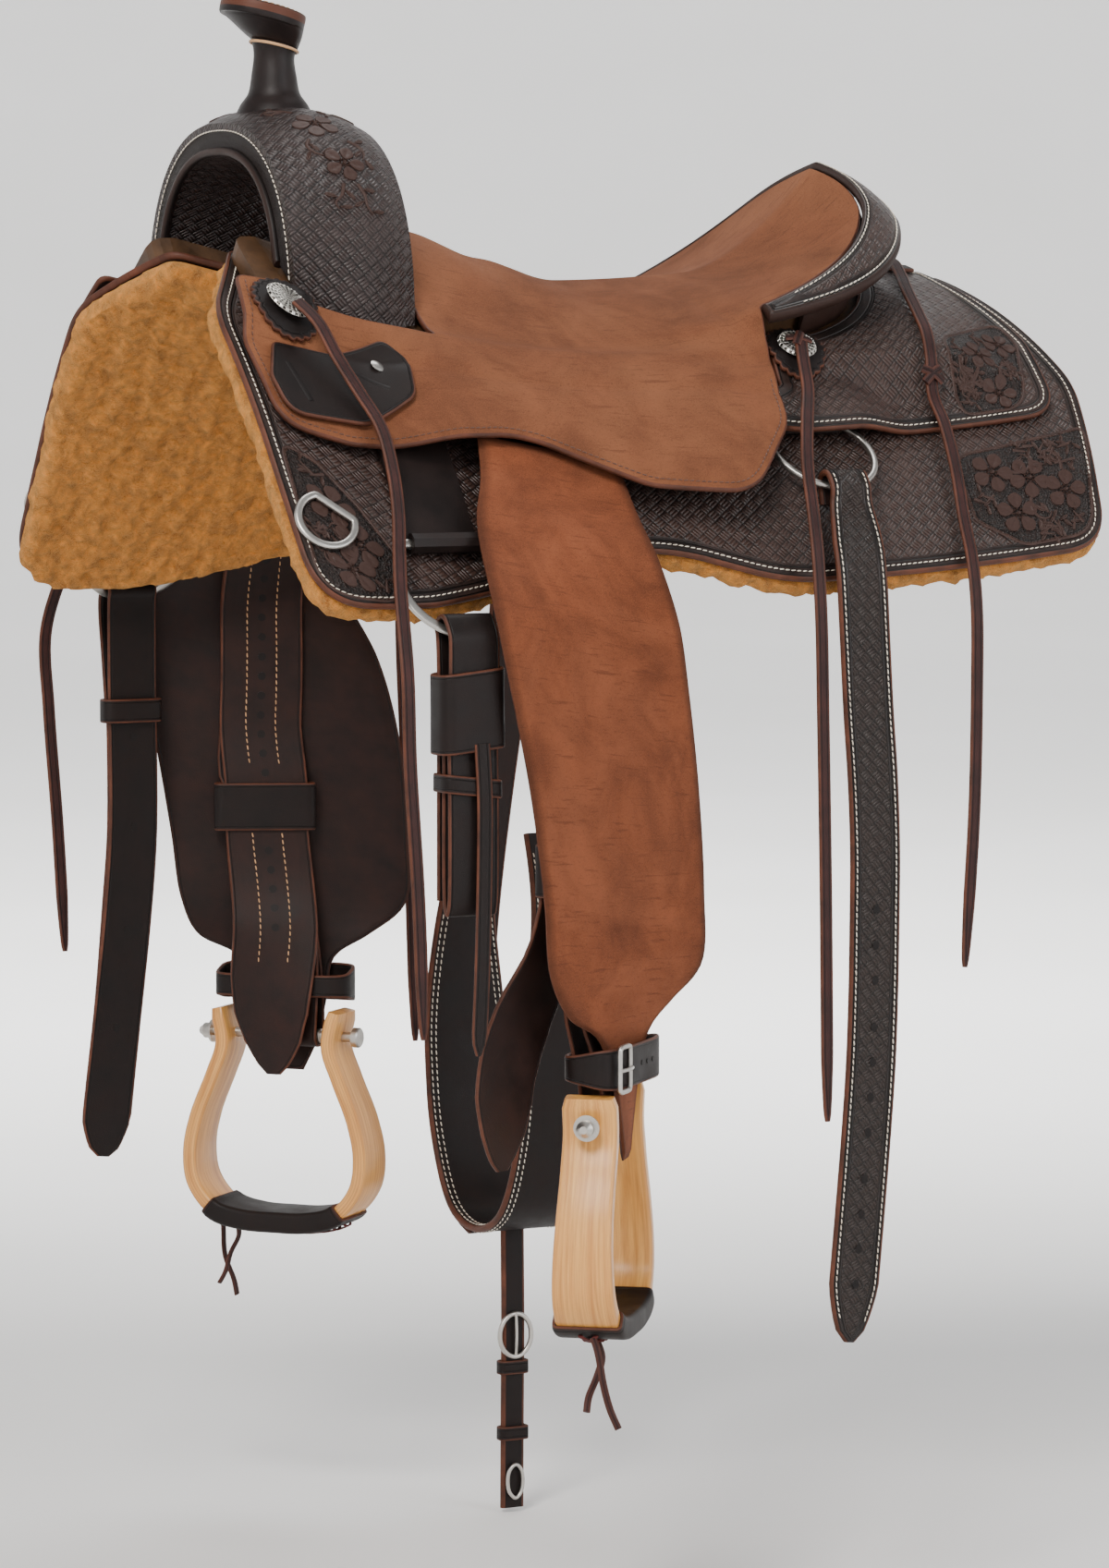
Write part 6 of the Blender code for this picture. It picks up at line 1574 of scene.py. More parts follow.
def fender_lines(side):
    front, rear = fender_edges(18)
    lines = []
    for i in range(1, 17):
        across = unit(front[i] - rear[i])
        share = 0.5
        for k in range(3):
            point = front[i] + (rear[i] - front[i]) * share
            want = BOLT[1] - ACROSS_Y * through(point[2], LEATHER_SHIFT[side])
            share += (want - point[1]) / (rear[i][1] - front[i][1])
        before, point, after = (front[j] + (rear[j] - front[j]) * share for j in (i - 1, i, i + 1))
        if point[2] < -0.475:
            break
        out = unit(np.cross(after - before, across))
        out = -out if out[0] < 0 else out
        lines.append((point, across, out))
    return lines


def leather_path(side):
    """Stations of the stirrup leather from its free tongue, over the bar, round the bolt, to the sleeve."""
    stops = []
    ply = STRAP_THICK + PLY_GAP
    narrow = STRAP_WIDTH * 0.96

    def hang(z, away, shifts, turn_at, width):
        centre, across, out = hanging_frame(turn_at)
        stops.append((np.array((centre[0], centre[1], z)) + across * float(through(z, shifts)) + out * away,
                      across, width))
    tongue, main = TONGUE_SHIFT[side], LEATHER_SHIFT[side]
    lines = fender_lines(side)
    first = lines[0][0]
    upper = [line for line in lines if line[0][2] > SLEEVE_Z + 0.022]
    for z, away, width in ((-0.612, -0.0200, 0.18), (-0.603, -0.0200, 0.42), (-0.585, -0.0200, 0.72),
                           (-0.560, -0.0222, 0.94), (-0.530, -0.0222, 1.0), (-0.490, -0.0188, 1.0),
                           (-0.450, -0.0070, 0.98), (-0.410, -0.0020, 0.97), (-0.366, -0.0020, 0.97)):
        hang(z, away, tongue, TURN_START if side > 0 else z, STRAP_WIDTH * width)
    for point, across, out in reversed(upper[:-1]):
        stops.append((point - out * (float(through(point[2], INSIDE_FENDER)) + ply), across, narrow))
    flat_across = np.array((0.0, -1.0, 0.0))
    for s, height in ((0.235, FENDER_HEIGHT - LINING_GAP - ply), (0.212, 0.0118), (0.199, 0.0128),
                      (0.1950, 0.0152), (0.199, 0.0174), (0.212, 0.0170),
                       (0.235, FENDER_HEIGHT - LINING_GAP)):
        stops.append((surface(first[1], s, height), flat_across, narrow))
    for point, across, out in upper:
        stops.append((point - out * float(through(point[2], INSIDE_FENDER)), across, narrow))
    radius = BOLT_RADIUS + STRAP_THICK / 2
    for z, away in ((-0.366, 0.0060), (-0.410, 0.0060), (-0.450, 0.0070), (-0.500, 0.0086), (-0.545, 0.0086)):
        hang(z, away, main, z, narrow)
    for k in range(9):
        angle = math.pi * k / 8
        hang(BOLT[2] - radius * math.sin(angle), radius * math.cos(angle), main, BOLT[2], STRAP_WIDTH * 0.95)
    for z, away in ((-0.545, -0.0080), (-0.500, -0.0058), (-0.450, -0.0015), (-0.410, 0.0020),
                    (-0.374, 0.0020)):
        hang(z, away, main, z, narrow)
    return stops


def leathers():
    for side, word, near in SIDES:
        stops = leather_path(side)
        points = [p for p, a, w in stops]
        across, face = [], None
        for i, (p, a, w) in enumerate(stops):
            before, after = points[max(i - 1, 0)], points[min(i + 1, len(stops) - 1)]
            ahead = after - before
            if 0 < i < len(stops) - 1:
                ahead = unit(after - p) + unit(p - before)
            normal = np.cross(a, unit(ahead))
            turn = -1 if face is not None and normal @ face < 0 else 1
            face = normal * turn
            across.append(a * turn)
        told = {"side": side, "body": f"{near}_fender"}
        path, wide, _ = strap(f"stirrup_leather_{word}_strap", points, across, [w for p, a, w in stops],
                              STRAP_THICK, [LINING, EDGE, LINING], k=3, slot="lining_leather",
                              stands_for=f"stirrup_leather_{word}", **told)
        ply_details(side, word, path, wide, told["body"])
        sleeve(side, word, told)
        hobble(side, word, told)


def ply_details(side, word, path, wide, body):
    """Adjustment holes, as discs of painted shade, and double stitching on the face of the inner ply."""
    low, high = (at_height(path[:len(path) // 3], z) for z in (-0.52, -0.14))
    path, wide, out = path[low:high], wide[low:high], unit(np.cross(wide, tangents(path)))[low:high]
    if out[:, 0].mean() > 0:
        out = -out
    run = run_along(path)
    chunks = []
    for z in np.arange(0.03, run[-1] - 0.01, 0.0165):
        i = int(np.argmin(abs(run - z)))
        here = looked_up(z, run, path)
        if abs(here[2] - SLEEVE_Z) > 0.026:
            chunks.append(disc(here + out[i] * STRAP_THICK / 2, wide[i], np.cross(out[i], wide[i]), out[i],
                               0.0034, count=14, side=side))
    joined(f"leather_holes_{word}", chunks, [HOLE_SHADE], body=body, slot="lining_leather")
    for sign, letter in ((1, "a"), (-1, "b")):
        line = path + wide * sign * 0.0125 + out * STRAP_THICK / 2
        keep = abs(line[:, 2] - SLEEVE_Z) > 0.0225
        stitches(f"leather_stitches_{word}_{letter}", mirrored(side, line[keep]), mirrored(side, out[keep]),
                 [TAN_THREAD], body=body, pitch=0.0056, gap=0.03)


def sleeve(side, word, told):
    centre, across, out = hanging_frame(TURN_START)
    centre = np.array((*centre[:2], SLEEVE_Z)) + out * 0.0020
    centre = centre + across * (float(through(SLEEVE_Z, LEATHER_SHIFT[side])) + 0.001)
    loop = even(box_ring(STRAP_WIDTH / 2 + 0.0058, 0.0076, 0.0045, 5), count=72, closed=True)
    band(f"leather_sleeve_{word}_band", [centre + across * u + out * v for u, v in loop], (0, 0, 1),
         [0.040] * 72, 0.0020, STRAP_MATS, closed=True, stands_for=f"leather_sleeve_{word}",
         slot="strap_leather", **told)


def hobble(side, word, told):
    centre, across, out = hanging_frame(HOBBLE_Z)
    loop = [squared(a, HOBBLE_HALF_WIDTH, HOBBLE_DEPTH, 0.5, 0.5) for a in 2 * math.pi * np.arange(96) / 96]
    path = even([centre + out * (HOBBLE_OUT + v) + across * u for u, v in loop], count=110, closed=True)
    far = ((path - centre) @ out - HOBBLE_OUT) / HOBBLE_DEPTH
    band(f"hobble_strap_{word}_band", path, (0, 0, 1), 0.019 + 0.013 * smooth(0.5 + 0.5 * far), 0.003,
         STRAP_MATS, closed=True, stands_for=f"hobble_strap_{word}", slot="strap_leather", **told)
    # Buckle near the strap's front end, with its tongue and holes
    face = centre + out * (HOBBLE_OUT + HOBBLE_DEPTH + 0.0024)
    middle = face + across * 0.040
    corners = ((-0.011, -0.017), (0.011, -0.017), (0.011, 0.017), (-0.011, 0.017))
    fine = even([middle + across * u + (0, 0, v) for u, v in corners], count=40, closed=True)
    for i in range(2):
        fine = (np.roll(fine, 1, 0) + fine * 2 + np.roll(fine, -1, 0)) / 4
    cord(f"hobble_buckle_{word}", fine[::2], 0.0021, [STEEL], closed=True, slot="steel", wide=out, **told)
    cord(f"hobble_tongue_{word}", [middle - across * 0.011 + out * 0.002, middle + out * 0.0036,
                                   middle + across * 0.0125 + out * 0.0022], 0.0015, [STEEL], slot="steel",
         wide=(0, 0, 1), **told)
    # Holes as dark discs of painted shade.
    chunks = []
    for k in range(3):
        spot = face - across * 0.012 * k - out * 0.0009
        ring = [spot + across * u + (0, 0, v) for u, v in circle(10, 0.0020)]
        chunks.append((mirrored(side, ring + [p + out * 0.0004 for p in ring]), grid(2, 10)))
    joined(f"hobble_holes_{word}", chunks, [HOLE_SHADE], body=told["body"], slot="strap_leather")


# Stirrups
def stirrup_frame():
    return (np.array((math.sin(STIRRUP_TURN), -math.cos(STIRRUP_TURN), 0.0)),
            np.array((math.cos(STIRRUP_TURN), math.sin(STIRRUP_TURN), 0.0)))


def stirrup_line(count):
    h = STIRRUP_HEIGHT
    half = [(0.0, -h + 0.018), (0.030, -h + 0.019), (0.056, -h + 0.026), (0.075, -h + 0.048),
            (STIRRUP_HALF_WIDTH - 0.007, -h + 0.075), (0.073, -h + 0.105), (0.058, -h + 0.142),
            (STIRRUP_NECK - 0.003, -0.008), (STIRRUP_NECK + 0.002, 0.022)]
    return spline([(-a, 0, z) for a, z in reversed(half)] + [(a, 0, z) for a, z in half[1:]], count)


def wood_depth(z):
    return TREAD_DEPTH + (NECK_DEPTH - TREAD_DEPTH) * float(smooth((z + STIRRUP_HEIGHT) / 0.14))


def box_ring(across, deep, corner, steps=4):
    """Rectangle section with rounded corners: across the wood, then along its depth."""
    ring = []
    for cx, cy, start in ((across - corner, deep - corner, 0), (-across + corner, deep - corner, 90),
                          (-across + corner, -deep + corner, 180), (across - corner, -deep + corner, 270)):
        for k in range(steps):
            a = math.radians(start + 90 * k / (steps - 1))
            ring.append((cx + corner * math.cos(a), cy + corner * math.sin(a)))
    return ring


def turned(name, profile, side, body, around=32):
    across, deep = stirrup_frame()
    verts = [BOLT + across * along + deep * u + (0, 0, v) for radius, along in profile
             for u, v in circle(around, radius)]
    make(f"{name}_steel", mirrored(side, verts), grid(len(profile), around), [STEEL], body=body,
         stands_for=name, slot="steel", sharp=35)


def stirrups():
    across, deep = stirrup_frame()
    path = stirrup_line(120)
    n = len(path)
    ahead = tangents(path)
    out = np.stack([ahead[:, 2], np.zeros(n), -ahead[:, 0]], -1)
    rings = []
    for i, p in enumerate(path):
        trim_end = 1 - 0.12 * max(0.0, 1 - min(i, n - 1 - i) / 2)
        rings.append(box_ring(STIRRUP_WOOD / 2 * trim_end, wood_depth(p[2]) / 2 * trim_end, 0.0024))
    rings = np.array(rings)
    m = rings.shape[1]
    uv = np.stack(np.meshgrid(run_along(path), run_along(rings[0]), indexing="ij"), -1).reshape(-1, 2)
    inner = STIRRUP_NECK - 0.0165
    for side, word, near in SIDES:
        def world(line, sections, normals):
            local = line[:, None] + normals[:, None] * sections[..., :1]
            p = BOLT + across * local[..., :1] + deep * sections[..., 1:] + local * (0, 0, 1)
            return mirrored(side, p.reshape(-1, 3))
        make(f"stirrup_{word}_wood", world(path, rings, out), grid(n, m), [WOOD], uv=uv,
             edge=rings[..., 0].ravel(), body=f"{near}_stirrup", stands_for=f"stirrup_{word}", slot="wood",
             sharp=40)
        tread(side, word, f"{near}_stirrup", path, out, world)
        turned(f"stirrup_bolt_{word}",
               [(0.0074, -0.0712), (0.0085, -0.0702), (0.0085, -0.0655), (0.0042, -0.0655), (0.0042, -inner),
                (0.0060, -inner), (0.0060, inner), (0.0042, inner), (0.0042, 0.0645), (0.0100, 0.0645),
                (0.0100, 0.0665), (0.0065, 0.0670), (0.0065, 0.0732), (0.0050, 0.0745), (0.0030, 0.0775)],
               side, f"{near}_fender")


def tread(side, word, body, path, out, world):
    """Leather round the tread, laced along its middle, with free thong ends."""
    keep = [i for i, p in enumerate(path) if abs(p[0]) < 0.061 and p[2] < -STIRRUP_HEIGHT + 0.05]
    line, normals = path[keep], out[keep]
    count = len(keep)

    def boxes(grow, corner):
        return np.array([box_ring(STIRRUP_WOOD / 2 + g, wood_depth(p[2]) / 2 + g, corner, 5)
                         for p, g in zip(line, grow)])
    outer = boxes([0.0024] + [0.0030] * (count - 2) + [0.0024], 0.0042)
    a, b = world(line, outer, normals), world(line, boxes([0.0005] * count, 0.0028), normals)
    m, total = outer.shape[1], len(a)
    faces = grid(count, m, caps=False)
    faces += [tuple(total + i for i in reversed(face)) for face in faces]
    kinds = [0] * len(faces) + [1] * 2 * m
    for row in (0, (count - 1) * m):
        faces += [(row + k, row + (k + 1) % m, total + row + (k + 1) % m, total + row + k) for k in range(m)]
    run = run_along(line)
    uv = np.stack([np.tile(run[:, None], (1, m)), outer[..., 1]], -1).reshape(-1, 2)
    edge = np.minimum(run, run[-1] - run)
    make(f"tread_cover_{word}_leather", np.vstack([a, b]), faces, [STRAP, EDGE], kinds, np.vstack([uv, uv]),
         np.tile(np.repeat(edge, m), 2), body=body, stands_for=f"tread_cover_{word}", slot="strap_leather")
    across, deep = stirrup_frame()

    def spot(i, u, v):
        local = line[i] + normals[i] * u
        return BOLT + across * local[0] + deep * v + np.array((0, 0, local[2]))
    # Lacing crosses the underside between two rows of holes
    low = -(STIRRUP_WOOD / 2 + 0.0042) if normals[count // 2][2] > 0 else STIRRUP_WOOD / 2 + 0.0042
    marks = np.linspace(2, count - 3, 11).astype(int)
    for n, (i, j) in enumerate(zip(marks, marks[1:])):
        for sign in (1, -1):
            points = [spot(i, low * 0.84, 0.007 * sign), spot(i, low * 1.03, 0.0045 * sign),
                      spot(j, low * 1.05, -0.0045 * sign), spot(j, low * 0.84, -0.007 * sign)]
            cord(f"tread_lace_{word}_{n}_{'a' if sign > 0 else 'b'}", points, 0.0016, [BURGUNDY], side=side,
                 body=body, flatten=0.55, slot="strap_leather", wide=tuple(deep))
    for name, i, drop, bend in (("front", marks[-1], 0.070, 0.012), ("rear", marks[-2], 0.052, -0.010)):
        start = spot(i, low * 1.02, 0.004)
        points = [start, start + (0.004, 0.002, -0.012), start + (0.007, bend * 0.4, -drop * 0.5),
                  start + (0.005, bend, -drop * 0.80), start + (0.009, bend * 1.4, -drop)]
        cord(f"tread_thong_{word}_{name}", points, 0.0028, [LACE], side=side, body=body, flatten=0.45,
             slot="strap_leather", wide=(0.3, 1, 0))


# Hanging straps
def strap_over(rim, radius, rise):
    """Stations over a dee's rim, from behind it to just below its front."""
    top = rim + (-rise * math.cos(SIDE_ANGLE), 0, rise * math.sin(SIDE_ANGLE))
    over = [top + (radius * math.cos(angle), 0, radius * math.sin(angle))
            for angle in np.radians(np.linspace(215, 35, 7))]
    return over + [rim + (radius + 0.0012, 0, 0.0005), rim + (radius + 0.0022, 0, -0.012)]


def wrap(name, centre, half_width, half_depth, height, side, body, thick=0.0026, tilt=0.0):
    """Loop of leather round a bundle of straps that hangs across the Y axis."""
    loop = []
    for a in 2 * math.pi * np.arange(60) / 60:
        u, v = squared(a, half_width, half_depth, 0.35, 0.5)
        loop.append(np.add(centre, (-v, u, tilt * u)))
    band(name, even(loop, count=64, closed=True), (0, 0, 1), [height] * 64, thick, STRAP_MATS, closed=True,
         side=side, body=body, slot="strap_leather")


def holes_on(name, points, facing, side, body):
    """Punched holes: rimmed discs of painted shade set in a strap's face."""
    wide, out = np.array((0.0, 1.0, 0.0)), np.array((facing, 0.0, 0.0))
    chunks = [disc(p, wide, np.cross(out, wide), out, HOLE_RADIUS, 1.25, side=side) for p in points]
    joined(name, chunks, [HOLE_SHADE], body=body, slot="strap_leather")


def face_row(name, path, wide, widths, inset, sign, lift, mat, side, body, skip=(0.0, 1.0),
             pitch=STITCH_PITCH):
    """Stitches along a strap's face, a set distance from one edge; a negative lift puts them behind."""
    ahead = tangents(path)
    out = unit(np.cross(np.broadcast_to(np.asarray(wide, float), path.shape), ahead))
    line = path + unit(np.cross(ahead, out)) * (sign * (widths / 2 - inset))[:, None] + out * lift
    a, b = (int(len(path) * share) for share in skip)
    stitches(name, mirrored(side, line[a:b]), mirrored(side, out[a:b] * np.sign(lift)), [mat], pitch,
             body=body)


def latigo():
    told = {"body": "latigo", "slot": "strap_leather"}
    rim = dee_rim(FRONT_DEE, FRONT_DEE_HEIGHT, 0.0, FRONT_DEE_RADIUS, DEE_BAND) + (0, LATIGO_SHIFT, 0)
    x, y, z = rim
    points = [(x - 0.0095, y, -0.405), (x - 0.0090, y, -0.28), (x - 0.0085, y, z - 0.04)]
    points += strap_over(rim, 0.0088, 0.0066)
    points += [(x + 0.0082, y, z - 0.09), (x + 0.0085, y, -0.30), (x + 0.0085, y, -0.400),
               (x + 0.0065, y, -0.411), (x + 0.0040, y, -0.4145), (x + 0.0015, y, -0.411),
               (x - 0.0003, y, -0.400), (x - 0.0003, y, -0.30), (x - 0.0003, y, z - 0.03)]
    strap("latigo_strap", points, (0, 1, 0), 0.042, 0.0035, STRAP_MATS, k=5, stands_for="latigo", **told)
    wrap("latigo_wrap", (x - 0.0002, y, z - 0.056), 0.0252, 0.0148, 0.060, 1, "latigo", 0.0030, 0.10)
    wrap("latigo_keeper_band", (x - 0.0002, y, z - 0.112), 0.0236, 0.0138, 0.014, 1, "latigo", 0.0024, -0.12)
    thin = [(x + 0.0158, y + 0.004, z - 0.080), (x + 0.0160, y + 0.006, z - 0.12),
            (x + 0.0160, y + 0.006, -0.36), (x + 0.0160, y + 0.004, -0.45), (x + 0.0155, y + 0.001, -0.52)]
    strap("latigo_tie_end", thin, (0, 1, 0), pointed(0.013, 0.06, 0.4), 0.0026, STRAP_MATS, k=8, **told)


def off_billet():
    rim = dee_rim(FRONT_DEE, FRONT_DEE_HEIGHT, 0.0, FRONT_DEE_RADIUS, DEE_BAND)
    x, y, z = rim
    points = [(x - 0.015, y - 0.032, -0.676), (x - 0.0145, y - 0.028, -0.64), (x - 0.013, y - 0.016, -0.55),
              (x - 0.0115, y - 0.006, -0.47), (x - 0.010, y, -0.40), (x - 0.0085, y, -0.28),
              (x - 0.0085, y, z - 0.04)]
    points += strap_over(rim, 0.0082, 0.0050)
    points += [(x + 0.0045, y, z - 0.05), (x - 0.0035, y, z - 0.10), (x - 0.0042, y, -0.30),
               (x - 0.0052, y, -0.40), (x - 0.0066, y - 0.006, -0.47), (x - 0.0082, y - 0.014, -0.55),
               (x - 0.0098, y - 0.025, -0.64), (x - 0.0102, y - 0.028, -0.672)]

    def ends(t):
        return (BILLET_WIDTH - 0.001) * (0.25 + 0.75 * np.sqrt(np.clip(np.minimum(t, 1 - t) / 0.03, 0, 1)))
    path, wide, widths = strap("off_billet_strap", points, (0, 1, 0), ends, 0.0035, STRAP_MATS, k=5, side=-1,
                               body="off_billet", stands_for="off_billet", slot="strap_leather")
    wrap("off_billet_keeper", (x - 0.0060, y, z - 0.095), 0.0250, 0.0090, 0.020, -1, "off_billet")
    for sign, word in ((1, "a"), (-1, "b")):
        for inset, row in ((0.0045, 1), (0.0075, 2)):
            face_row(f"off_billet_stitches_{word}{row}", path, wide, widths, inset, sign, -0.00175,
                     TAN_THREAD, -1, "off_billet", (0.55, 0.97), 0.006)
    half, third = len(path) // 2, len(path) // 3
    heights = [-0.32 - 0.027 * k for k in range(12)]
    spots = [path[half + at_height(path[half:], z)] + (0.0018, 0, 0) for z in heights]
    under = [path[at_height(path[:third], z)] - (0.0018, 0, 0) for z in heights[::3]]
    holes_on("off_billet_holes", spots, 1, -1, "off_billet")
    holes_on("off_billet_inner_holes", under, -1, -1, "off_billet")


def flank_parts():
    rim = dee_rim(REAR_DEE, REAR_DEE_HEIGHT, REAR_DEE_LEAN, REAR_DEE_RADIUS, REAR_DEE_WIRE)
    x, y, z = rim
    over = [(x - 0.0060, y, z - 0.014)] + strap_over(rim, 0.0084, 0.0038)
    over += [surface(y - 0.002, 0.330, 0.0175), surface(y - 0.005, 0.357, 0.0135)]
    hanging = {1: [(0.2915, 0.138, -0.215), (0.2915, 0.142, -0.28), (0.291, 0.148, -0.36),
                   (0.290, 0.149, -0.44), (0.289, 0.147, -0.55), (0.288, 0.139, -0.66),
                   (0.287, 0.129, -0.772)],
               -1: [(0.2920, 0.136, -0.215), (0.2945, 0.130, -0.28), (0.298, 0.118, -0.37),
                    (0.301, 0.106, -0.47), (0.302, 0.098, -0.57), (0.299, 0.094, -0.67),
                    (0.288, 0.094, -0.765)]}

    def widths(t):
        tip = BILLET_WIDTH * (0.2 + 0.8 * np.sqrt(np.clip((1 - t) / 0.06, 0, 1)))
        return tip * (0.8 + 0.2 * smooth((t - 0.06) / 0.08))
    for side, word, near in SIDES:
        body = f"{near}_flank_billet"
        points = over + list(spline([over[-1]] + hanging[side], 12)[1:])
        line, wide, across = strap(f"flank_billet_{word}_strap", points, (0, -1, 0), widths, BILLET_THICK,
                                   [BILLET, EDGE, LINING], side=side, body=body,
                                   stands_for=f"flank_billet_{word}", slot="tooled_leather")
        for sign, letter in ((1, "a"), (-1, "b")):
            face_row(f"flank_billet_{word}_stitches_{letter}", line, wide, across, 0.0048, sign,
                     BILLET_THICK / 2, WHITE_THREAD, side, body, (0.30, 0.985))
        low = line[len(line) // 3:]
        spots = [low[at_height(low, -0.43 - 0.030 * k)] + (BILLET_THICK / 2, 0, 0) for k in range(11)]
        holes_on(f"flank_billet_{word}_holes", spots, 1, side, body)
        tie(side, word, body, line)
    cinch()


def tie(side, word, body, line):
    """Thong that ties the folded billet, crossed in a V below the dee."""
    index = at_height(line[len(line) // 4:], -0.215) + len(line) // 4
    t = unit(line[index + 2] - line[index - 2])
    w = np.array((0.0, 1.0, 0.0))
    out = unit(np.cross(w, t))
    for n, sign in enumerate((1, -1)):
        stations = ((0.016, -0.020, -0.0005), (0.015, -0.018, 0.0016), (0.007, 0.004, 0.0020),
                    (-0.001, 0.022, 0.0018 + 0.0012 * n), (-0.006, 0.050 + 0.010 * n, 0.0020))
        points = [line[index] + w * sign * a + t * b + out * (BILLET_THICK / 2 + c) for a, b, c in stations]
        cord(f"flank_tie_{word}_{n}", points, 0.0034, [LACE], side=side, body=body, flatten=0.4,
             slot="strap_leather", wide=(0, 1, 0.3))


def cinch():
    x, y = 0.2932, CINCH_Y
    points = [(x, y + 0.008, -0.415), (x + 0.001, y, -0.50), (x, y, -0.60), (x - 0.012, y, -0.675),
              (x - 0.045, y, -0.733), (x - 0.090, y, -0.746), (x - 0.135, y, -0.728), (x - 0.168, y, -0.665),
              (x - 0.180, y, -0.58), (x - 0.176, y, -0.48), (x - 0.150, y, -0.405)]
    path = spline(points, 130)
    run = run_along(path)
    t = run / run[-1]
    widths = 0.045 + 0.035 * smooth(np.minimum(t, 1 - t) / 0.25)
    told = {"side": -1, "body": "off_flank_billet"}
    band("flank_cinch_leather", path, (0, 1, 0), widths, 0.006, STRAP_MATS,
         stands_for="flank_cinch", slot="tooled_leather", **told)
    for sign, letter in ((1, "a"), (-1, "b")):
        for inset, row in ((0.0050, 1), (0.0095, 2)):
            for face, word in ((1, "o"), (-1, "i")):
                face_row(f"cinch_stitches_{letter}{row}{word}", path, (0, 1, 0), widths, inset, sign,
                         0.003 * face, WHITE_THREAD, skip=(0.02, 0.98), pitch=0.0056, **told)
    connector(x - 0.0865, y)


def connector(x, y):
    """Strap below the cinch, with its buckle, keepers and snap."""
    told = {"side": -1, "body": "cinch_connector"}
    points = [(x + 0.0005, y, -0.7496), (x - 0.0005, y, -0.83), (x + 0.0005, y, -0.90),
              (x + 0.0015, y, -0.99)]
    band("cinch_connector_strap", spline(points, 60), (0, 1, 0), [0.022] * 60, 0.0062, STRAP_MATS,
         stands_for="cinch_connector", slot="strap_leather", **told)
    buckle = [(x - 0.0056, y + u, -0.840 + v) for u, v in circle(20, 0.0150, 0.0185)]
    cord("connector_buckle", buckle, 0.0022, [STEEL], closed=True, slot="steel", wide=(1, 0, 0.001), **told)
    cord("connector_tongue", [(x - 0.0062, y, -0.8585), (x - 0.0078, y, -0.840), (x - 0.0066, y, -0.8205)],
         0.0014, [STEEL], slot="steel", wide=(0, 1, 0), **told)
    for name, z in (("connector_keeper", -0.868), ("connector_keeper_low", -0.925)):
        wrap(name, (x, y, z), 0.0128, 0.0052, 0.012, -1, "cinch_connector", 0.0022)
    snap = [(-0.0052, -0.006, -0.958), (-0.0056, 0.0, -0.952), (-0.0052, 0.006, -0.958),
            (-0.0052, 0.006, -0.975), (-0.0056, 0.0, -0.981), (-0.0052, -0.006, -0.975)]
    cord("connector_snap", [np.add((x, y, 0.0), p) for p in snap], 0.0017, [STEEL], closed=True, slot="steel",
         wide=(1, 0, 0.001), **told)


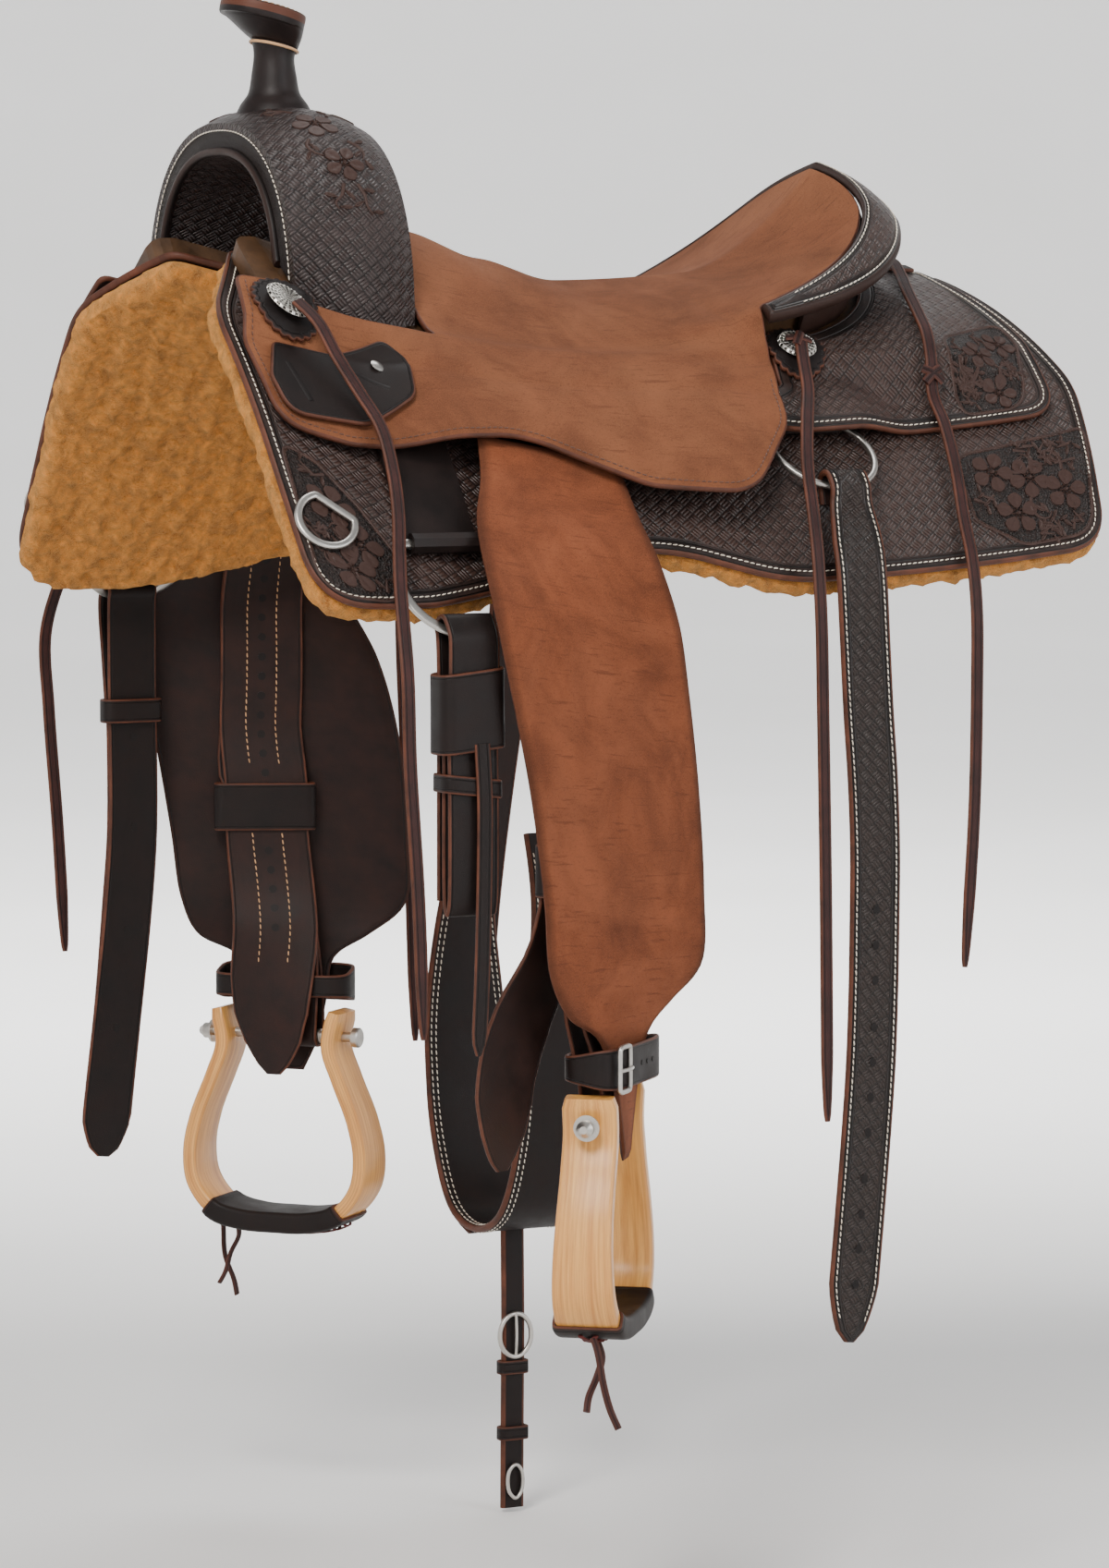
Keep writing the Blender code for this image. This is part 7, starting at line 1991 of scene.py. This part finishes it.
# Saddle strings
def strings():
    front, rear = FRONT_ROSETTE, REAR_ROSETTE
    stack = ROSETTE_THICK + 0.0005 + CONCHO_THICK + 0.0005 + STRING_THICK / 2
    over = raised(rear_jockey_height, LEATHER + 0.0032 + STRING_THICK / 2)
    for side, word, near in SIDES:
        points = [surface(front[0] + 0.004, front[1] + 0.004, front_trim_base(*front) + stack + 0.0008)]
        for y, s, h in ((-0.280, 0.192, 0.0395), (-0.272, 0.217, 0.0340), (-0.261, 0.243, 0.0290),
                        (-0.252, 0.270, 0.0275), (-0.251, 0.300, 0.0240), (-0.255, 0.340, 0.0205),
                        (-0.264, 0.380, 0.0190), (-0.272, 0.415, 0.0190)):
            points.append(surface(y, s, h))
        points += [(0.338, -0.281, -0.235), (0.338, -0.279, -0.30), (0.337, -0.272, -0.40),
                   (0.335, -0.267, -0.505)]
        thong(f"string_front_{word}", points, side)
        points = [surface(rear[0], rear[1] + 0.004, rear_trim_base(*rear) + stack + 0.0008)]
        for y, s, h in ((0.146, 0.176, 0.0370), (0.138, 0.203, 0.0330), (0.122, 0.235, 0.0340),
                        (0.106, 0.275, 0.0330), (0.099, 0.315, 0.0290), (0.094, 0.350, 0.0240)):
            ahead = 0.0 if side > 0 else 0.066 * float(smooth((s - 0.176) / 0.174))
            points.append(surface(y - ahead, s, h + ahead * 0.24))
        ahead = 0.0 if side > 0 else 0.060
        points += [(0.3035, 0.092 - ahead, -0.205), (0.303, 0.094 - ahead, -0.27),
                   (0.300, 0.099 - ahead, -0.42), (0.297, 0.103 - ahead, -0.595)]
        thong(f"string_middle_{word}", points, side)
        points = []
        for y, s in ((0.330, 0.008), (0.326, 0.022), (0.316, 0.045), (0.292, 0.095), (0.280, 0.130),
                     (0.273, 0.154), (0.268, 0.176), (0.264, 0.200), (0.260, 0.232)):
            lift = 0.0012 + 0.003 * float(smooth(1 - abs(s - 0.172) / 0.03)) + 0.0025 * (s < 0.03)
            points.append(surface(y, s, over(y, s) + lift))
        points += [surface(0.253, 0.275, 0.0115), surface(0.246, 0.320, 0.0088),
                   surface(0.241, 0.357, 0.0085), (0.295, 0.238, -0.20), (0.296, 0.238, -0.26),
                   (0.293, 0.238, -0.36), (0.290, 0.232, -0.482)]
        thong(f"string_rear_{word}", points, side)
        spot, nearby = (surface(0.266, s, over(0.266, s) + 0.0035) for s in (0.188, 0.200))
        d = unit(nearby - spot)
        for n, sign in enumerate((1, -1)):
            shift = np.array((0, 0.008 * sign, 0))
            cord(f"string_knot_{word}_{n}", [spot - shift - d * 0.006, spot + (0.0015, 0, 0.0018),
                                             spot + shift + d * 0.006], 0.0036, [LACE], side=side,
                 flatten=0.5, slot="strap_leather", wide=d)


def thong(name, points, side):
    path = spline(points, 110)
    run = run_along(path)
    band(f"{name}_thong", path, (0, 1, 0), pointed(STRING_WIDTH, 0.08, 0.4)(run / run[-1]), STRING_THICK,
         [LACE, EDGE, LACE], side=side, stands_for=name, slot="strap_leather")


stage()
skirts()
carved_panels()
seat()
cantle()
rear_jockeys()
trim()
swell()
horn()
rigging()
fenders()
leathers()
stirrups()
latigo()
off_billet()
flank_parts()
strings()
